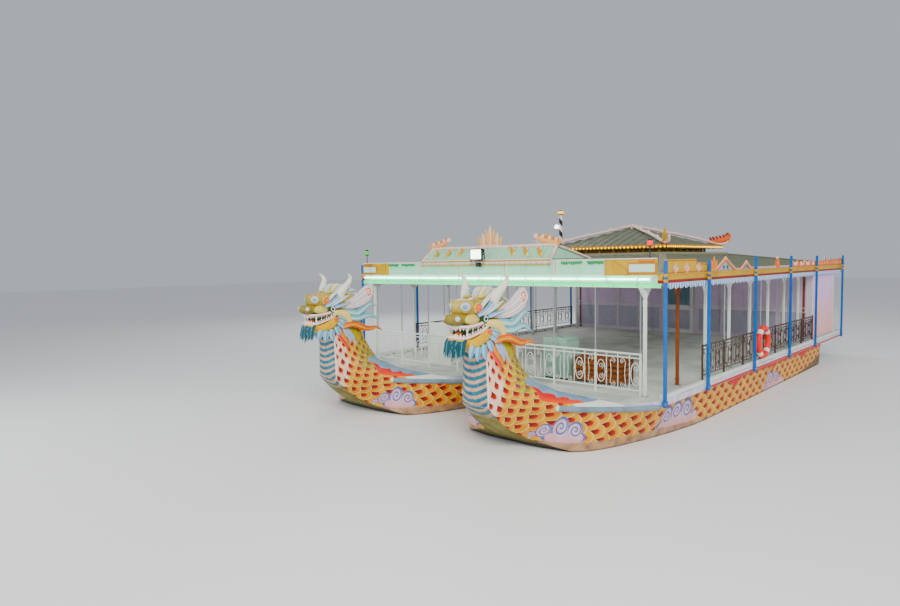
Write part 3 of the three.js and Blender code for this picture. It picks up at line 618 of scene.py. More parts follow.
def half_section(row):
    """Half width, height and zone along one side of a section, from the keel to the top's middle."""
    bottom, flat, bilge, bilge_half, knee, knee_half = row[:6]
    upper = [(row[k + 1], row[k]) for k in range(4, 12, 2)]
    top = upper[-1][1]
    made = [(0, bottom, 0)]
    made += [(flat + (bilge_half - flat) * t, bottom + (bilge - bottom) * t, 1 + t) for t in (0, 0.33, 0.67)]
    made += [(bilge_half + (knee_half - bilge_half) * t, bilge + (knee - bilge) * t, 2 + t)
             for t in np.arange(6) / 6]
    curved = resample(upper, 4)
    made += [(x, z, 3 + 3 * k / (len(curved) - 1)) for k, (x, z) in enumerate(curved)]
    made += [(0, top, 7)]
    return made


# The painted body's middle line on the hull's side, from the head down the neck and aft: place, height
SPINE = [(-2.12, 1.90), (-2.13, 1.55), (-2.14, 1.25), (-2.10, 0.95), (-1.93, 0.70), (-1.60, 0.50),
         (-1.10, 0.35), (-0.40, 0.25), (0.60, 0.20), (3.0, 0.18), (6.0, 0.18), (11.0, 0.18)]


def spine_table():
    """Points of the middle line with the count of scale rows up to each."""
    line = resample(SPINE, 12)
    step = np.linalg.norm(np.diff(line, axis=0), axis=1)
    around = line[1:, 0] - line[1:, 1]
    spacing = np.interp(around, [-3.3, -2.8, -2.1, -0.9, 1.2], [0.098, 0.082, 0.105, 0.15, 0.20])
    width = np.interp(line[:, 0] - line[:, 1], [-3.0, -2.1, -1.2], [0.175, 0.20, 0.25])
    return line, np.concatenate([[0], np.cumsum(step / spacing)]), width


def scale_place(places, heights):
    """Scale rows from the head, and distance across the body in scale widths, for points on the side."""
    line, rows, width = spine_table()
    along = np.gradient(line, axis=0)
    along /= np.linalg.norm(along, axis=1)[:, None]
    made = []
    for s, z in zip(places, heights):
        offset = np.array([s, z]) - line
        i = int(np.argmin((offset ** 2).sum(1)))
        forward = offset[i] @ along[i]
        slope = (rows[min(i + 1, len(rows) - 1)] - rows[max(i - 1, 0)]) / np.linalg.norm(
            line[min(i + 1, len(rows) - 1)] - line[max(i - 1, 0)])
        across = along[i][0] * offset[i][1] - along[i][1] * offset[i][0]
        made.append((rows[i] + forward * slope, across / width[i]))
    return made


def skin_length():
    """Distance along the hull's side for a place, measured round the bow."""
    rows = station_rows()
    half = (rows[:, 4] + rows[:, 6]) / 2
    step = np.hypot(np.diff(rows[:, 0]), np.diff(half))
    lengths = np.concatenate([[0], np.cumsum(step)])
    zero = np.interp(0, rows[:, 0], lengths)
    return rows[:, 0], lengths - zero


def along_skin(place):
    places, lengths = skin_length()
    return float(np.interp(place, places, lengths))


# Painted clouds on the hull's side: the volutes' places, heights and half sizes, then those of the bodies
CLOUDS = [
    (-1.69, 0.175, 0.055, 0.05), (-1.625, 0.255, 0.095, 0.115), (-1.515, 0.32, 0.12, 0.175),
    (-1.375, 0.27, 0.12, 0.14),
    (0.37, 0.27, 0.17, 0.17), (0.68, 0.30, 0.19, 0.165), (1.06, 0.27, 0.21, 0.185),
    (5.20, 0.00, 0.16, 0.11), (5.52, 0.15, 0.24, 0.155), (5.95, 0.12, 0.22, 0.145),
]
CLOUD_BODIES = [(-1.46, 0.145, 0.30, 0.13), (0.74, 0.11, 0.62, 0.16), (1.36, 0.10, 0.12, 0.10),
                (5.85, -0.02, 0.68, 0.15)]
# Place, half width and depth of each flame that hangs from the deck's edge
FLAME_PLACES = [(-0.86, 0.17, 0.14), (3.3, 0.42, 0.17), (5.73, 0.20, 0.08), (8.1, 0.38, 0.13)]
# Place and height along the red line's lower edge
TRIM_EDGE = [(-3.0, 0.60), (1.4, 0.60), (1.6, 0.50), (2.0, 0.50), (5.0, 0.425), (9.8, 0.425)]
# Place and height along the top of the dirty strip above the water; where it rises at the stern it is painted
# shade
STRIP_EDGE = [(-3.0, 0.07), (0.2, 0.07), (2.6, -0.06), (7.6, -0.06), (8.7, 0.02), (9.8, 0.20)]
# Place and height along the lower edge of the painted bulwark, and along the tops of its flames
BULWARK_EDGE = [(-1.87, 0.97), (-1.825, 0.905), (-1.81, 0.77), (-1.76, 0.735), (-1.63, 0.709), (-1.43, 0.68),
                (-1.2, 0.675), (-0.83, 0.663), (-0.62, 0.60)]
FLAME_EDGE = [(-1.87, 0.97), (-1.76, 0.925), (-1.755, 0.865), (-1.60, 0.835), (-1.595, 0.785),
              (-1.42, 0.775), (-1.415, 0.735), (-1.24, 0.708), (-1.19, 0.66)]


def scale_pattern(paint):
    """Overlapping round scales: rim, outline, distance from the core, place in the scale and depth."""
    rows, across = paint.layer("scales")
    rows = rows + (paint.noise(6.0, 2) - 0.5) * 0.22
    across = across + (paint.noise(7.0, 2, (1, 1.3, 1)) - 0.5) * 0.16
    row = paint.math("FLOOR", rows)
    odd = paint.math("FLOORED_MODULO", row, 2.0)
    part = rows - row
    near = paint.math("FRACT", across + odd * 0.5) - 0.5
    reach = paint.math("SQRT", paint.most(1.0 - near * near * 4.0, 0.0))
    own = paint.math("LESS_THAN", part, reach)
    next_near = paint.math("FRACT", across + odd * 0.5 + 0.5) - 0.5
    side = near * own + next_near * (1.0 - own)
    part = part * own + (part - 1.0) * (1.0 - own)
    edge = paint.math("SQRT", paint.most(1.0 - side * side * 4.0, 0.0)) - part
    rim = paint.smooth(edge, 0.20, 0.10)
    line = paint.smooth(edge, 0.055, 0.02)
    down = paint.math("ABSOLUTE", part + 0.16) / 0.52
    core = paint.math("SQRT", side * side * 26.0 + down * down)
    return rim, line, core, part, edge


def lay_scales(paint, s, z, tone):
    """Scales in gold, in pale pink at the throat and in olive on the neck. Gives the depth in each scale."""
    rim, line, core, part, edge = scale_pattern(paint)
    paint.colour(paint.blend(tone, 0xD8AC06, 0xC49206))
    paint.lay(paint.smooth(edge, 0.9, 1.7) * 0.5, 0xA67206)
    pale_edge = paint.line(z, 0.55, 0.95, -2.225, -2.185)
    pale = paint.smooth(s + (tone - 0.5) * 0.06 - pale_edge, 0.035, -0.035) * paint.smooth(z, 0.36, 0.46)
    olive_edge = paint.line(z, 1.0, 1.3, -2.04, -1.95)
    olive = paint.smooth(s - olive_edge, -0.05, 0.06) * paint.smooth(z, 0.80, 0.92)
    paint.lay(pale, paint.blend(tone, 0xF2DDD2, 0xE7BDB0))
    paint.lay(olive, paint.blend(tone, 0xB9A63C, 0x8E8A34))
    halo = paint.mix(pale, 0xC67A06, 0xDA9C60)
    paint.lay(paint.smooth(core, 1.75, 0.8) * (0.75 - olive * 0.4), halo)
    heart = paint.mix(paint.smooth(part, -0.45, 0.2), 0x5C1206, 0x9C3406)
    paint.lay(paint.smooth(core, 1.08, 0.86), paint.mix(olive, heart, 0x77504A))
    paint.lay(rim * 0.5, 0xF4DC8C)
    paint.lay(line * 0.85, paint.mix(olive, 0xFBEFD8, 0xC9CBB4))
    return edge


def oval(paint, u, z, place, height, half_u, half_z):
    """Distances from an oval's middle, and from it along both axes, with its edge at 1."""
    du = (u - along_skin(place)) / half_u
    dz = (z - height) / half_z
    return paint.math("SQRT", du * du + dz * dz), du, dz


def volute_line(paint, radius, du, dz):
    """The line that winds round a cloud's volute."""
    turn = paint.math("ARCTAN2", dz, du) / (2 * math.pi)
    winding = paint.math("FRACT", radius * 2.1 - turn)
    return paint.near(winding - 0.5, 0.21, 0.14) * paint.smooth(radius, 0.98, 0.90)


def lay_clouds(paint, z, tone):
    """Grey lilac clouds with winding lines. Gives their share."""
    u, _ = paint.layer("skin")
    volutes = [oval(paint, u, z, *row) for row in CLOUDS]
    lines = [volute_line(paint, *row) for row in volutes]
    bodies = [oval(paint, u, z, *row) for row in CLOUD_BODIES]
    nearest = paint.least(*[row[0] for row in volutes + bodies])
    share = paint.smooth(nearest, 1.02, 0.98)
    cloud = paint.blend(tone, 0xD2C2D6, 0xCFAEB8, 0.3)
    paint.lay(share, paint.mix(paint.smooth(z, 0.24, 0.06) * 0.6, cloud, 0xD6A492))
    paint.lay(paint.most(*lines) * share, 0x5E6890)
    paint.lay(paint.near(nearest - 0.95, 0.10, 0.06) * share * paint.smooth(z, 0.05, 0.12), 0x5C6696)
    return share


def lay_trim(paint, s, z, blotch):
    """The red line at the deck's edge with its flames, and a green line under it."""
    low = paint.curve(s, TRIM_EDGE)
    for place, half, depth in FLAME_PLACES:
        low = low - paint.most(1.0 - paint.math("ABSOLUTE", (s - place) / half), 0.0) * depth
    ragged = low + (paint.math("PINGPONG", s, 0.09) - 0.045) * 0.5
    green = paint.near(z - ragged + 0.012, 0.014, 0.006) * paint.smooth(s, 1.6, 2.2)
    paint.lay(green * 0.5, 0x6E7C48)
    red = paint.blend(blotch, 0xCC3408, 0xA41C08, 0.3)
    paint.lay(paint.smooth(z - ragged, -0.006, 0.006) * paint.smooth(s, -1.1, -1.0), red)


def lay_water_marks(paint, s, z, tone, blotch):
    """The dirty strip above the water, which darkens aft into painted shade, and near black painted shade at
    the water below it. Gives the share of the painted shade at the water.
    """
    below = paint.smooth(z, -0.04, -0.09)
    # The strip is dirty paint forward; aft it darkens, and at the stern it rises, as painted shade under the
    # hull's end.
    strip_top = paint.curve(s, STRIP_EDGE) + (blotch - 0.5) * 0.03
    dirt_and_shade = paint.mix(paint.smooth(s, 2.0, 8.0), paint.blend(tone, 0xB49C88, 0x84705C), 0x4A3E30)
    paint.lay(paint.smooth(z - strip_top, 0.02, -0.02) * 0.85, dirt_and_shade)
    # Near black at the water's edge: painted shade.
    paint.lay(below, 0x2E2C20)
    return below


def belly_stripes(paint, x, z, tone, blotch):
    """The belly's beige and teal bands that hang a little in the middle, and the count of bands."""
    chin = paint.math("ABSOLUTE", x) - HULL_CENTRE
    smile = (z - chin * chin * 1.5 + (tone - 0.5) * 0.02) / 0.113
    stripe = paint.math("FRACT", smile)
    band = paint.smooth(stripe, 0.46, 0.50) * paint.smooth(stripe, 1.0, 0.97)
    teal = paint.blend(blotch, 0x4E7E90, 0x34586A, 0.3)
    beige = paint.blend(blotch, 0xCEB4A2, 0xB49A8A, 0.3)
    belly = paint.mix(band, beige, teal)
    belly = paint.mix(paint.near(stripe - 0.48, 0.05, 0.015) * 0.7, belly, 0x24404C)
    return paint.mix(paint.smooth(z, 0.66, 0.44) * 0.6, belly, 0x7E7A56), smile


def lay_belly(paint, x, s, z, tone, blotch):
    """The bands on the neck's front with their white corner lines. Gives their share and count."""
    belly, smile = belly_stripes(paint, x, z, tone, blotch)
    share = paint.smooth(s, NECK_FRONT + 0.006, NECK_FRONT - 0.006)
    paint.lay(share, belly)
    paint.lay(paint.near(s - NECK_FRONT - 0.006, 0.014, 0.007) * paint.smooth(z, 0.6, 0.7), 0xF1ECE6)
    return share, smile


def lay_bulwark(paint, s, z, tone, blotch):
    """The grey bulwark with its flames and white edges. Gives their share."""
    _, zone = paint.layer("skin")
    above = z - paint.curve(s, BULWARK_EDGE)
    fire = paint.smooth(z + (blotch - 0.5) * 0.05 - paint.curve(s, FLAME_EDGE), 0.006, -0.006)
    fire = fire * paint.smooth(s, -1.19, -1.22)
    grey = paint.blend(tone, 0x8FA3B4, 0x76889A, 0.3)
    flame = paint.mix(paint.smooth(above, 0.0, 0.10), 0xD86006, 0xB42406)
    share = paint.smooth(above, -0.004, 0.004) * paint.smooth(s, -1.872, -1.862)
    share = share * paint.smooth(z, 1.05, 1.04) * paint.smooth(zone, 2.98, 3.0)
    ledge = paint.smooth(above, 0.004, -0.004) * paint.smooth(s, -1.46, -1.36)
    ledge = ledge * paint.smooth(zone, 3.0, 3.02)
    gunwale = paint.smooth(zone, 4.88, 4.92) * paint.smooth(s, -1.54, -1.52)
    white = paint.most(ledge, gunwale)
    paint.lay(share, paint.mix(fire, grey, flame))
    paint.lay(white, 0xEAEDE6)
    return paint.most(share, white)


def hull_paint():
    """The dragon's painted skin, laid on layer by layer."""
    paint = Paint("dragon_hide", 0.5)
    x, y, height = paint.place()
    s, z = y - aft(0), height - ZERO_LINE
    tone, blotch = paint.noise(5.0, 4), paint.noise(16.0, 4)
    edge = lay_scales(paint, s, z, tone)
    clouds = lay_clouds(paint, z, tone)
    lay_trim(paint, s, z, blotch)
    below = lay_water_marks(paint, s, z, tone, blotch)
    belly, smile = lay_belly(paint, x, s, z, tone, blotch)
    bulwark = lay_bulwark(paint, s, z, tone, blotch)
    paint.lay(paint.smooth(paint.noise(2.0, 4, (2.0, 2.0, 0.5)), 0.55, 0.8) * 0.18, 0x5A4A34)
    paint.rough(0.48 + (tone - 0.5) * 0.2 + below * 0.2)
    relief = paint.smooth(edge, 0.0, 0.25) * (1.0 - clouds) * (1.0 - belly) * (1.0 - bulwark)
    banded = paint.math("PINGPONG", smile * 2.0, 0.5) * belly * 2.0
    return paint.bump(relief + banded + paint.noise(45.0, 3) * 0.12, 0.5, 0.006)


def hull_bottom():
    """Olive paint with painted shade that darkens it towards the water, and the belly's bands at its upper end.
    """
    paint = Paint("hull_bottom", 0.7)
    x, z = paint.place()[0], paint.height()
    tone = paint.noise(4.0, 5)
    belly, _ = belly_stripes(paint, x, z, tone, paint.noise(16.0, 4))
    paint.colour(paint.blend(tone, 0x8E8862, 0x6E6848, 0.3))
    paint.lay(paint.smooth(paint.noise(3.0, 4, (3.0, 3.0, 0.3)), 0.5, 0.75) * 0.5, 0x4E4A34)
    # Painted shade: darker towards the water.
    paint.lay(paint.smooth(z + (tone - 0.5) * 0.1, 0.12, -0.04), 0x2B2A20)
    paint.lay(paint.smooth(z + (tone - 0.5) * 0.03, 0.46, 0.49), belly)
    return paint.rough(0.6 + tone * 0.2).bump(tone, 0.25, 0.006)


def transom_paint():
    """Dull pinkish paint with painted shade that darkens it at the water."""
    paint = Paint("transom_paint", 0.55)
    tone = paint.noise(3.0, 5)
    paint.colour(paint.blend(tone, 0xC2A08E, 0x9C7E6C))
    # Painted shade: darker towards the water.
    paint.lay(paint.smooth(paint.height() + (tone - 0.5) * 0.1, 0.10, -0.04), 0x2E2C20)
    return paint.bump(tone, 0.15, 0.004)


def hull_paints():
    PAINTS["hide"] = hull_paint()
    PAINTS["transom"] = transom_paint()
    PAINTS["bottom"] = hull_bottom()
    PAINTS["white"] = painted("white_paint", 0xE9ECE6, 0.35, 0.2)
    PAINTS["rub_rail"] = painted("rub_rail_paint", 0x8796A0, 0.35, 0.5, 9.0)
    PAINTS["deck"] = painted("deck_paint", 0xD9DBD4, 0.6, 0.4, 3.0)


def textured_mesh(name, rings, zones, paint_of_face):
    """A closed skin with the hull's two coordinate layers, from rings of points and their zones."""
    count = len(rings[0])
    points = [p for ring in rings for p in ring]
    faces = ring_faces(len(rings), count)
    mesh = bpy.data.meshes.new(name)
    mesh.from_pydata(points, [], faces)
    flat = np.array(points)
    places = flat[:, 1] - aft(0)
    skin_uv = np.column_stack([np.interp(places, *skin_length()), [z for row in zones for z in row]])
    scale_uv = np.array(scale_place(places, flat[:, 2] - ZERO_LINE))
    corner = np.zeros(len(mesh.loops), int)
    mesh.loops.foreach_get("vertex_index", corner)
    for layer, values in (("skin", skin_uv), ("scales", scale_uv)):
        made = mesh.uv_layers.new(name=layer)
        made.data.foreach_set("uv", values[corner].astype(np.float32).ravel())
    mesh.polygons.foreach_set("material_index", [paint_of_face(points, zones, count, f) for f in faces])
    return mesh


def cutter(name, outline, low, high):
    shape = Shape()
    shape.plate(outline, lambda u, v, w: (u, v, w), low, high, "deck")
    return new_object(name, mesh_of(name, shape))


DECK_OUTLINE = [[0, -0.300], [0.250, -0.300], [0.420, -0.610], [3.300, -0.610], [3.500, -0.430],
                [3.640, -0.120], [DECK_HALF, 0.040], [DECK_HALF, 12.150], [0, 12.150]]
HULL_SKIN_PAINTS = ("hide", "bottom", "deck", "transom")


def skin_paint(points, zones, count, face):
    """The number of a hull face's paint: hide, bottom or, at the stern, transom."""
    if min(points[i][1] for i in face) > aft(HULL_END) - 0.01:
        return 3
    zone = [zones[i // count][i % count] for i in face]
    ahead = sum(points[i][1] for i in face) / len(face) < aft(NECK_FRONT)
    return 0 if ahead or sum(zone) / len(zone) > 2 else 1


def cut_away(whole, tools):
    """The mesh of an object with other objects cut out of it. All of the objects are removed."""
    for tool in tools:
        cut = whole.modifiers.new(tool.name, "BOOLEAN")
        cut.operation = "DIFFERENCE"
        cut.object = tool
        cut.solver = "EXACT"
        cut.material_mode = "TRANSFER"
    mesh = bpy.data.meshes.new_from_object(whole.evaluated_get(bpy.context.evaluated_depsgraph_get()))
    for item in (whole, *tools):
        bpy.data.objects.remove(item)
    return mesh


def hull_skin(side_name, side):
    """A hull's painted skin, cut out for the deck and the well."""
    centre = side * HULL_CENTRE
    name = f"hull_skin_{side_name}"
    rings, zones = [], []
    for row in station_rows():
        half = half_section(row[1:])
        both = half + [(-x, z, zone) for x, z, zone in half[-2:0:-1]]
        rings.append([(centre + x, aft(row[0]), up(z)) for x, z, zone in both])
        zones.append([zone for x, z, zone in both])
    mesh = textured_mesh(name, rings, zones, skin_paint)
    for key in HULL_SKIN_PAINTS:
        mesh.materials.append(PAINTS[key].material)
    face_outwards(mesh)
    whole = new_object(name, mesh)
    room = cutter("deck_room", [[x, aft(y)] for x, y in mirrored(DECK_OUTLINE)], up(HULL_DECK), up(0.8))
    well = cutter("well_room", [[centre + x, aft(y)] for x, y in mirrored(WELL)], up(DECK_TOP), up(1.3))
    dressed = cut_away(whole, (room, well))
    dressed.name = name
    fasten(name, dressed, "boat", [f"hull_{side_name}"], 28)


def hull_fittings(name, side):
    """The skeg with its shaft tube, and the rub rails with their round ends."""
    centre = side * HULL_CENTRE
    start, end, thick, tube = (SKEG[key] for key in ("start", "end", "thick", "tube"))
    shape = Shape()
    shape.plate(rect(start, end, -0.5, 0.0), lambda u, v, w: (centre + w, aft(u), up(v)), -thick / 2,
                thick / 2, "bottom", 0.01)
    profile = [(tube * 0.8, -0.5), (tube, -0.45), (tube, -0.02), (tube - 0.012, 0)]
    shape.turned(profile, (centre, aft(end), up(SKEG["shaft"])), "bottom", axis=(0, 1, 0))
    piece(f"skeg_{name}", shape, replaces=[f"hull_{name}"])
    rails = Shape()
    for way in WAYS:
        path = [(centre + way * x, aft(y), up(z)) for x, y, z in RAIL_PATH]
        rails.sweep(path, RUB_RADIUS * 0.98, "rub_rail", 14, steps=5)
        rails.ball(path[0], RUB_RADIUS, "white", 14, 8)
    piece(f"rub_rails_{name}", rails, replaces=[f"hull_{name}"])


# Dragon heads. All points are sideways from the head's middle, place and height
class Head:
    """Places the points of one dragon's head."""

    def __init__(self, side):
        self.centre = side * HULL_CENTRE

    def at(self, sideways, place, height):
        return np.array([self.centre + sideways, aft(place), up(height)])

    def path(self, rows, way=1):
        return [self.at(way * row[0], row[1], row[2]) for row in rows]


# Columns: place, half width, low, high, squareness
SNOUT = [[-2.820, 0.050, 2.120, 2.200, 2.0], [-2.800, 0.110, 2.080, 2.255, 2.3],
         [-2.740, 0.160, 2.045, 2.285, 2.7], [-2.660, 0.185, 2.020, 2.295, 3.0],
         [-2.560, 0.200, 1.990, 2.295, 3.0], [-2.440, 0.225, 1.950, 2.305, 2.8],
         [-2.310, 0.265, 1.900, 2.320, 2.6], [-2.160, 0.300, 1.830, 2.330, 2.5],
         [-1.980, 0.305, 1.770, 2.310, 2.4], [-1.820, 0.270, 1.720, 2.240, 2.3],
         [-1.720, 0.200, 1.740, 2.160, 2.2], [-1.665, 0.110, 1.790, 2.050, 2.0]]
NOSE = [[-2.945, 0.040, 1.965, 2.030, 2.0], [-2.925, 0.090, 1.935, 2.065, 2.3],
        [-2.860, 0.140, 1.915, 2.090, 2.6], [-2.760, 0.175, 1.905, 2.090, 2.8],
        [-2.600, 0.190, 1.900, 2.070, 2.8], [-2.420, 0.200, 1.900, 2.060, 2.6]]
THROAT = [[-2.440, 0.120, 1.560, 1.930, 2.4], [-2.400, 0.200, 1.540, 1.950, 2.6],
          [-2.250, 0.238, 1.500, 1.980, 2.8], [-2.050, 0.240, 1.500, 1.980, 2.8],
          [-1.900, 0.232, 1.510, 1.960, 2.6], [-1.800, 0.190, 1.530, 1.900, 2.4]]
MOUTH = [[-2.740, 0.120, 1.765, 1.890, 2.6], [-2.700, 0.160, 1.760, 1.900, 2.8],
         [-2.550, 0.180, 1.780, 1.915, 2.8], [-2.400, 0.195, 1.830, 1.930, 2.6]]
CHIN = [[-2.845, 0.100, 1.660, 1.735, 2.4], [-2.810, 0.165, 1.630, 1.748, 2.6],
        [-2.700, 0.190, 1.585, 1.762, 2.8], [-2.550, 0.205, 1.545, 1.790, 2.8],
        [-2.400, 0.215, 1.540, 1.850, 2.8], [-2.320, 0.200, 1.560, 1.860, 2.6]]
# Sideways, place and height along half of each lip, from the middle of its front
UPPER_LIP = [(0.0, -2.835, 1.905), (0.095, -2.832, 1.905), (0.160, -2.818, 1.905), (0.192, -2.775, 1.905),
             (0.206, -2.660, 1.912), (0.222, -2.520, 1.935), (0.236, -2.400, 1.965)]
LOWER_LIP = [(0.0, -2.828, 1.740), (0.095, -2.825, 1.740), (0.158, -2.808, 1.741), (0.188, -2.765, 1.748),
             (0.202, -2.660, 1.772), (0.218, -2.520, 1.812), (0.232, -2.415, 1.860)]
CHEEK = [(0.222, -2.43, 1.930), (0.268, -2.33, 1.925), (0.290, -2.20, 1.890), (0.298, -2.115, 1.800),
         (0.290, -2.110, 1.700), (0.268, -2.180, 1.640)]
CHEEK_SIZES = [(0.03, 0.035), (0.045, 0.06), (0.052, 0.074), (0.05, 0.068), (0.042, 0.05), (0.02, 0.022)]
JOWL = [(0.190, -2.755, 1.655), (0.212, -2.64, 1.665), (0.226, -2.51, 1.700), (0.238, -2.40, 1.765),
        (0.240, -2.345, 1.815)]
JOWL_SIZES = [(0.02, 0.04), (0.032, 0.066), (0.038, 0.078), (0.04, 0.074), (0.034, 0.052)]
MOUTH_CORNER = [(0.236, -2.400, 1.965), (0.246, -2.380, 1.920), (0.238, -2.405, 1.865)]
TONGUE = [(0, -2.42, 1.80), (0, -2.58, 1.815), (0, -2.72, 1.800), (0, -2.815, 1.790)]
TONGUE_SIZES = [(0.1, 0.03), (0.09, 0.028), (0.07, 0.022), (0.02, 0.01)]
# Width, thickness, paint and points of each strand that flies back from the cheek
STRANDS = [
    (0.150, 0.085, "strand", [(0.235, -2.22, 1.950), (0.300, -2.09, 1.925), (0.325, -1.94, 1.900),
                              (0.330, -1.80, 1.970), (0.326, -1.66, 2.045), (0.320, -1.56, 2.045),
                              (0.312, -1.440, 1.985)]),
    (0.145, 0.080, "strand", [(0.240, -2.20, 1.830), (0.305, -2.08, 1.810), (0.325, -1.92, 1.800),
                              (0.325, -1.79, 1.825), (0.320, -1.64, 1.845), (0.315, -1.52, 1.800),
                              (0.310, -1.380, 1.725)]),
    (0.150, 0.090, "ember", [(0.245, -2.26, 1.640), (0.300, -2.14, 1.690), (0.325, -2.00, 1.690),
                             (0.328, -1.87, 1.640), (0.324, -1.74, 1.590), (0.318, -1.60, 1.580),
                             (0.312, -1.46, 1.590), (0.306, -1.290, 1.505)]),
]
# Width, paint and points
BROWS = [
    (0.085, "brow", [(0.225, -2.59, 2.050), (0.262, -2.48, 2.110), (0.285, -2.36, 2.200),
                     (0.300, -2.22, 2.300), (0.310, -2.07, 2.390)]),
    (0.080, "brow_pale", [(0.240, -2.50, 2.065), (0.275, -2.40, 2.110), (0.300, -2.27, 2.170),
                          (0.315, -2.10, 2.250)]),
    (0.075, "brow", [(0.255, -2.40, 2.030), (0.285, -2.32, 2.050), (0.312, -2.20, 2.080),
                     (0.322, -2.06, 2.125)]),
    (0.070, "brow_pale", [(0.205, -2.52, 2.140), (0.230, -2.42, 2.250), (0.250, -2.31, 2.345),
                          (0.262, -2.20, 2.440)]),
]
RUFF = [
    (0.130, "ruff", [(0.195, -2.66, 1.640), (0.212, -2.72, 1.540), (0.205, -2.745, 1.435)]),
    (0.130, "ruff", [(0.210, -2.56, 1.600), (0.228, -2.60, 1.500), (0.222, -2.600, 1.385)]),
    (0.130, "ruff", [(0.225, -2.46, 1.620), (0.245, -2.47, 1.510), (0.240, -2.440, 1.390)]),
    (0.120, "ruff", [(0.235, -2.37, 1.670), (0.258, -2.34, 1.580), (0.256, -2.280, 1.460)]),
    (0.120, "ruff", [(0.240, -2.33, 1.760), (0.268, -2.25, 1.700), (0.270, -2.150, 1.620)]),
    (0.110, "ruff", [(0.240, -2.34, 1.830), (0.275, -2.24, 1.790), (0.290, -2.130, 1.740)]),
]
MANE = [
    (0.085, "mane_red", [(0.222, -2.36, 1.600), (0.262, -2.300, 1.460), (0.290, -2.220, 1.340),
                         (0.318, -2.150, 1.210)]),
    (0.075, "mane_gold", [(0.240, -2.30, 1.610), (0.270, -2.235, 1.480), (0.292, -2.170, 1.380),
                          (0.312, -2.115, 1.260)]),
    (0.090, "mane_pale", [(0.245, -2.23, 1.640), (0.270, -2.160, 1.520), (0.292, -2.105, 1.420),
                          (0.305, -2.085, 1.320)]),
    (0.080, "mane_pale", [(0.245, -2.14, 1.640), (0.265, -2.075, 1.520), (0.285, -2.005, 1.410),
                          (0.312, -1.950, 1.270)]),
    (0.075, "mane_olive", [(0.240, -2.05, 1.630), (0.258, -1.990, 1.520), (0.272, -1.925, 1.420),
                           (0.296, -1.880, 1.300)]),
    (0.070, "mane_olive", [(0.225, -1.96, 1.620), (0.245, -1.900, 1.520), (0.255, -1.840, 1.430),
                           (0.270, -1.800, 1.350)]),
]
# Sideways, place and height along a horn, with its radius
HORN = [(0.240, -2.270, 2.20, 0.075), (0.300, -2.265, 2.32, 0.070), (0.358, -2.205, 2.43, 0.055),
        (0.403, -2.150, 2.53, 0.042), (0.434, -2.165, 2.60, 0.027), (0.450, -2.225, 2.65, 0.008)]
HORN_RINGS = range(3, 18, 3)
# Sideways, place, low edge and high edge of the ear, which ends in a scroll
EAR = [(0.235, -2.25, 2.000, 2.090), (0.275, -2.10, 1.985, 2.160), (0.310, -1.95, 1.990, 2.230),
       (0.330, -1.82, 2.030, 2.330), (0.335, -1.71, 2.085, 2.410), (0.335, -1.63, 2.140, 2.425)]
EAR_FOLDS = 5
EAR_SCROLL = (0.338, -1.695, 2.300)
TEETH = 22
EYE_TEETH = (7, 15)
BEARD_LOCKS = 17
BEARD_SIZES = [(0.02, 0.016), (0.02, 0.018), (0.018, 0.016), (0.012, 0.011), 0.002]
HAIR = ("beard_dark", "beard_dark", "beard_light", "beard_dark")
BACK_LOCKS = 7


def loft(shape, head, rows, paint, count=32, steps=5):
    """A skin over rounded rings that stand across the head."""
    rings = []
    for place, half, low, high, square in resample(rows, steps):
        rise, level, power = (high - low) / 2, (high + low) / 2, 2 / square
        ring = []
        for turn in circle(count):
            c, s = math.cos(turn), math.sin(turn)
            ring.append(head.at(math.copysign(abs(c) ** power, c) * half, place,
                                level + math.copysign(abs(s) ** power, s) * rise))
        rings.append(ring)
    shape.skin(rings, paint)


def lock(shape, points, width, thick, paints, strands=3, side=(0, -1, 0)):
    """A carved lock of hair: a flat tapering form with raised strands along it."""
    rows = resample(points, 2)
    shares = np.linspace(0, 1, len(rows))
    taper = [max(math.sin(math.pi * (0.16 + 0.80 * t)) ** 0.8, 0.1) * (1 - 0.35 * t) for t in shares]
    taper[-1] = 0.05
    outward = unit(side)
    rises = [unit(np.cross(t, outward)) for t in np.gradient(rows, axis=0)]
    sizes = [(thick * 0.42 * t, width * 0.5 * t) for t in taper]
    shape.sweep(rows, sizes, paints[0], 12, side=outward, steps=3)
    sizes = [(thick * 0.34 * t, width * 0.56 / strands * t) for t in taper]
    for k in range(strands):
        offset = ((k + 0.5) / strands - 0.5) * 0.86
        path = [p + r * width * offset * t + outward * thick * 0.26 * t
                for p, r, t in zip(rows, rises, taper)]
        shape.sweep(path, sizes, paints[1 + k % (len(paints) - 1)], 8, side=outward, steps=3)


def two_tone(tint):
    """A tint twice and its darker tone, as the paints of a lock."""
    return [tint, tint, tint + "_dark"]


def leaf(shape, points, width, thick, paint, rib=None, side=(1, 0, 0)):
    """A pointed leaf with a raised rib along its middle."""
    rows = resample(points, 3)
    taper = [0.05 + 0.95 * math.sin(math.pi * (0.22 + 0.78 * t)) ** 0.75 if t < 0.99 else 0.04
             for t in np.linspace(0, 1, len(rows))]
    sizes = [(thick * 0.5 * max(t, 0.3), width * 0.5 * t) for t in taper]
    shape.sweep(rows, sizes, paint, 10, side=side, steps=2)
    if rib:
        path = [p + unit(side) * thick * 0.40 * t for p, t in zip(rows, taper)]
        sizes = [(thick * 0.25, width * 0.10 * t + 0.002) for t in taper]
        shape.sweep(path, sizes, rib, 6, side=side, steps=2)


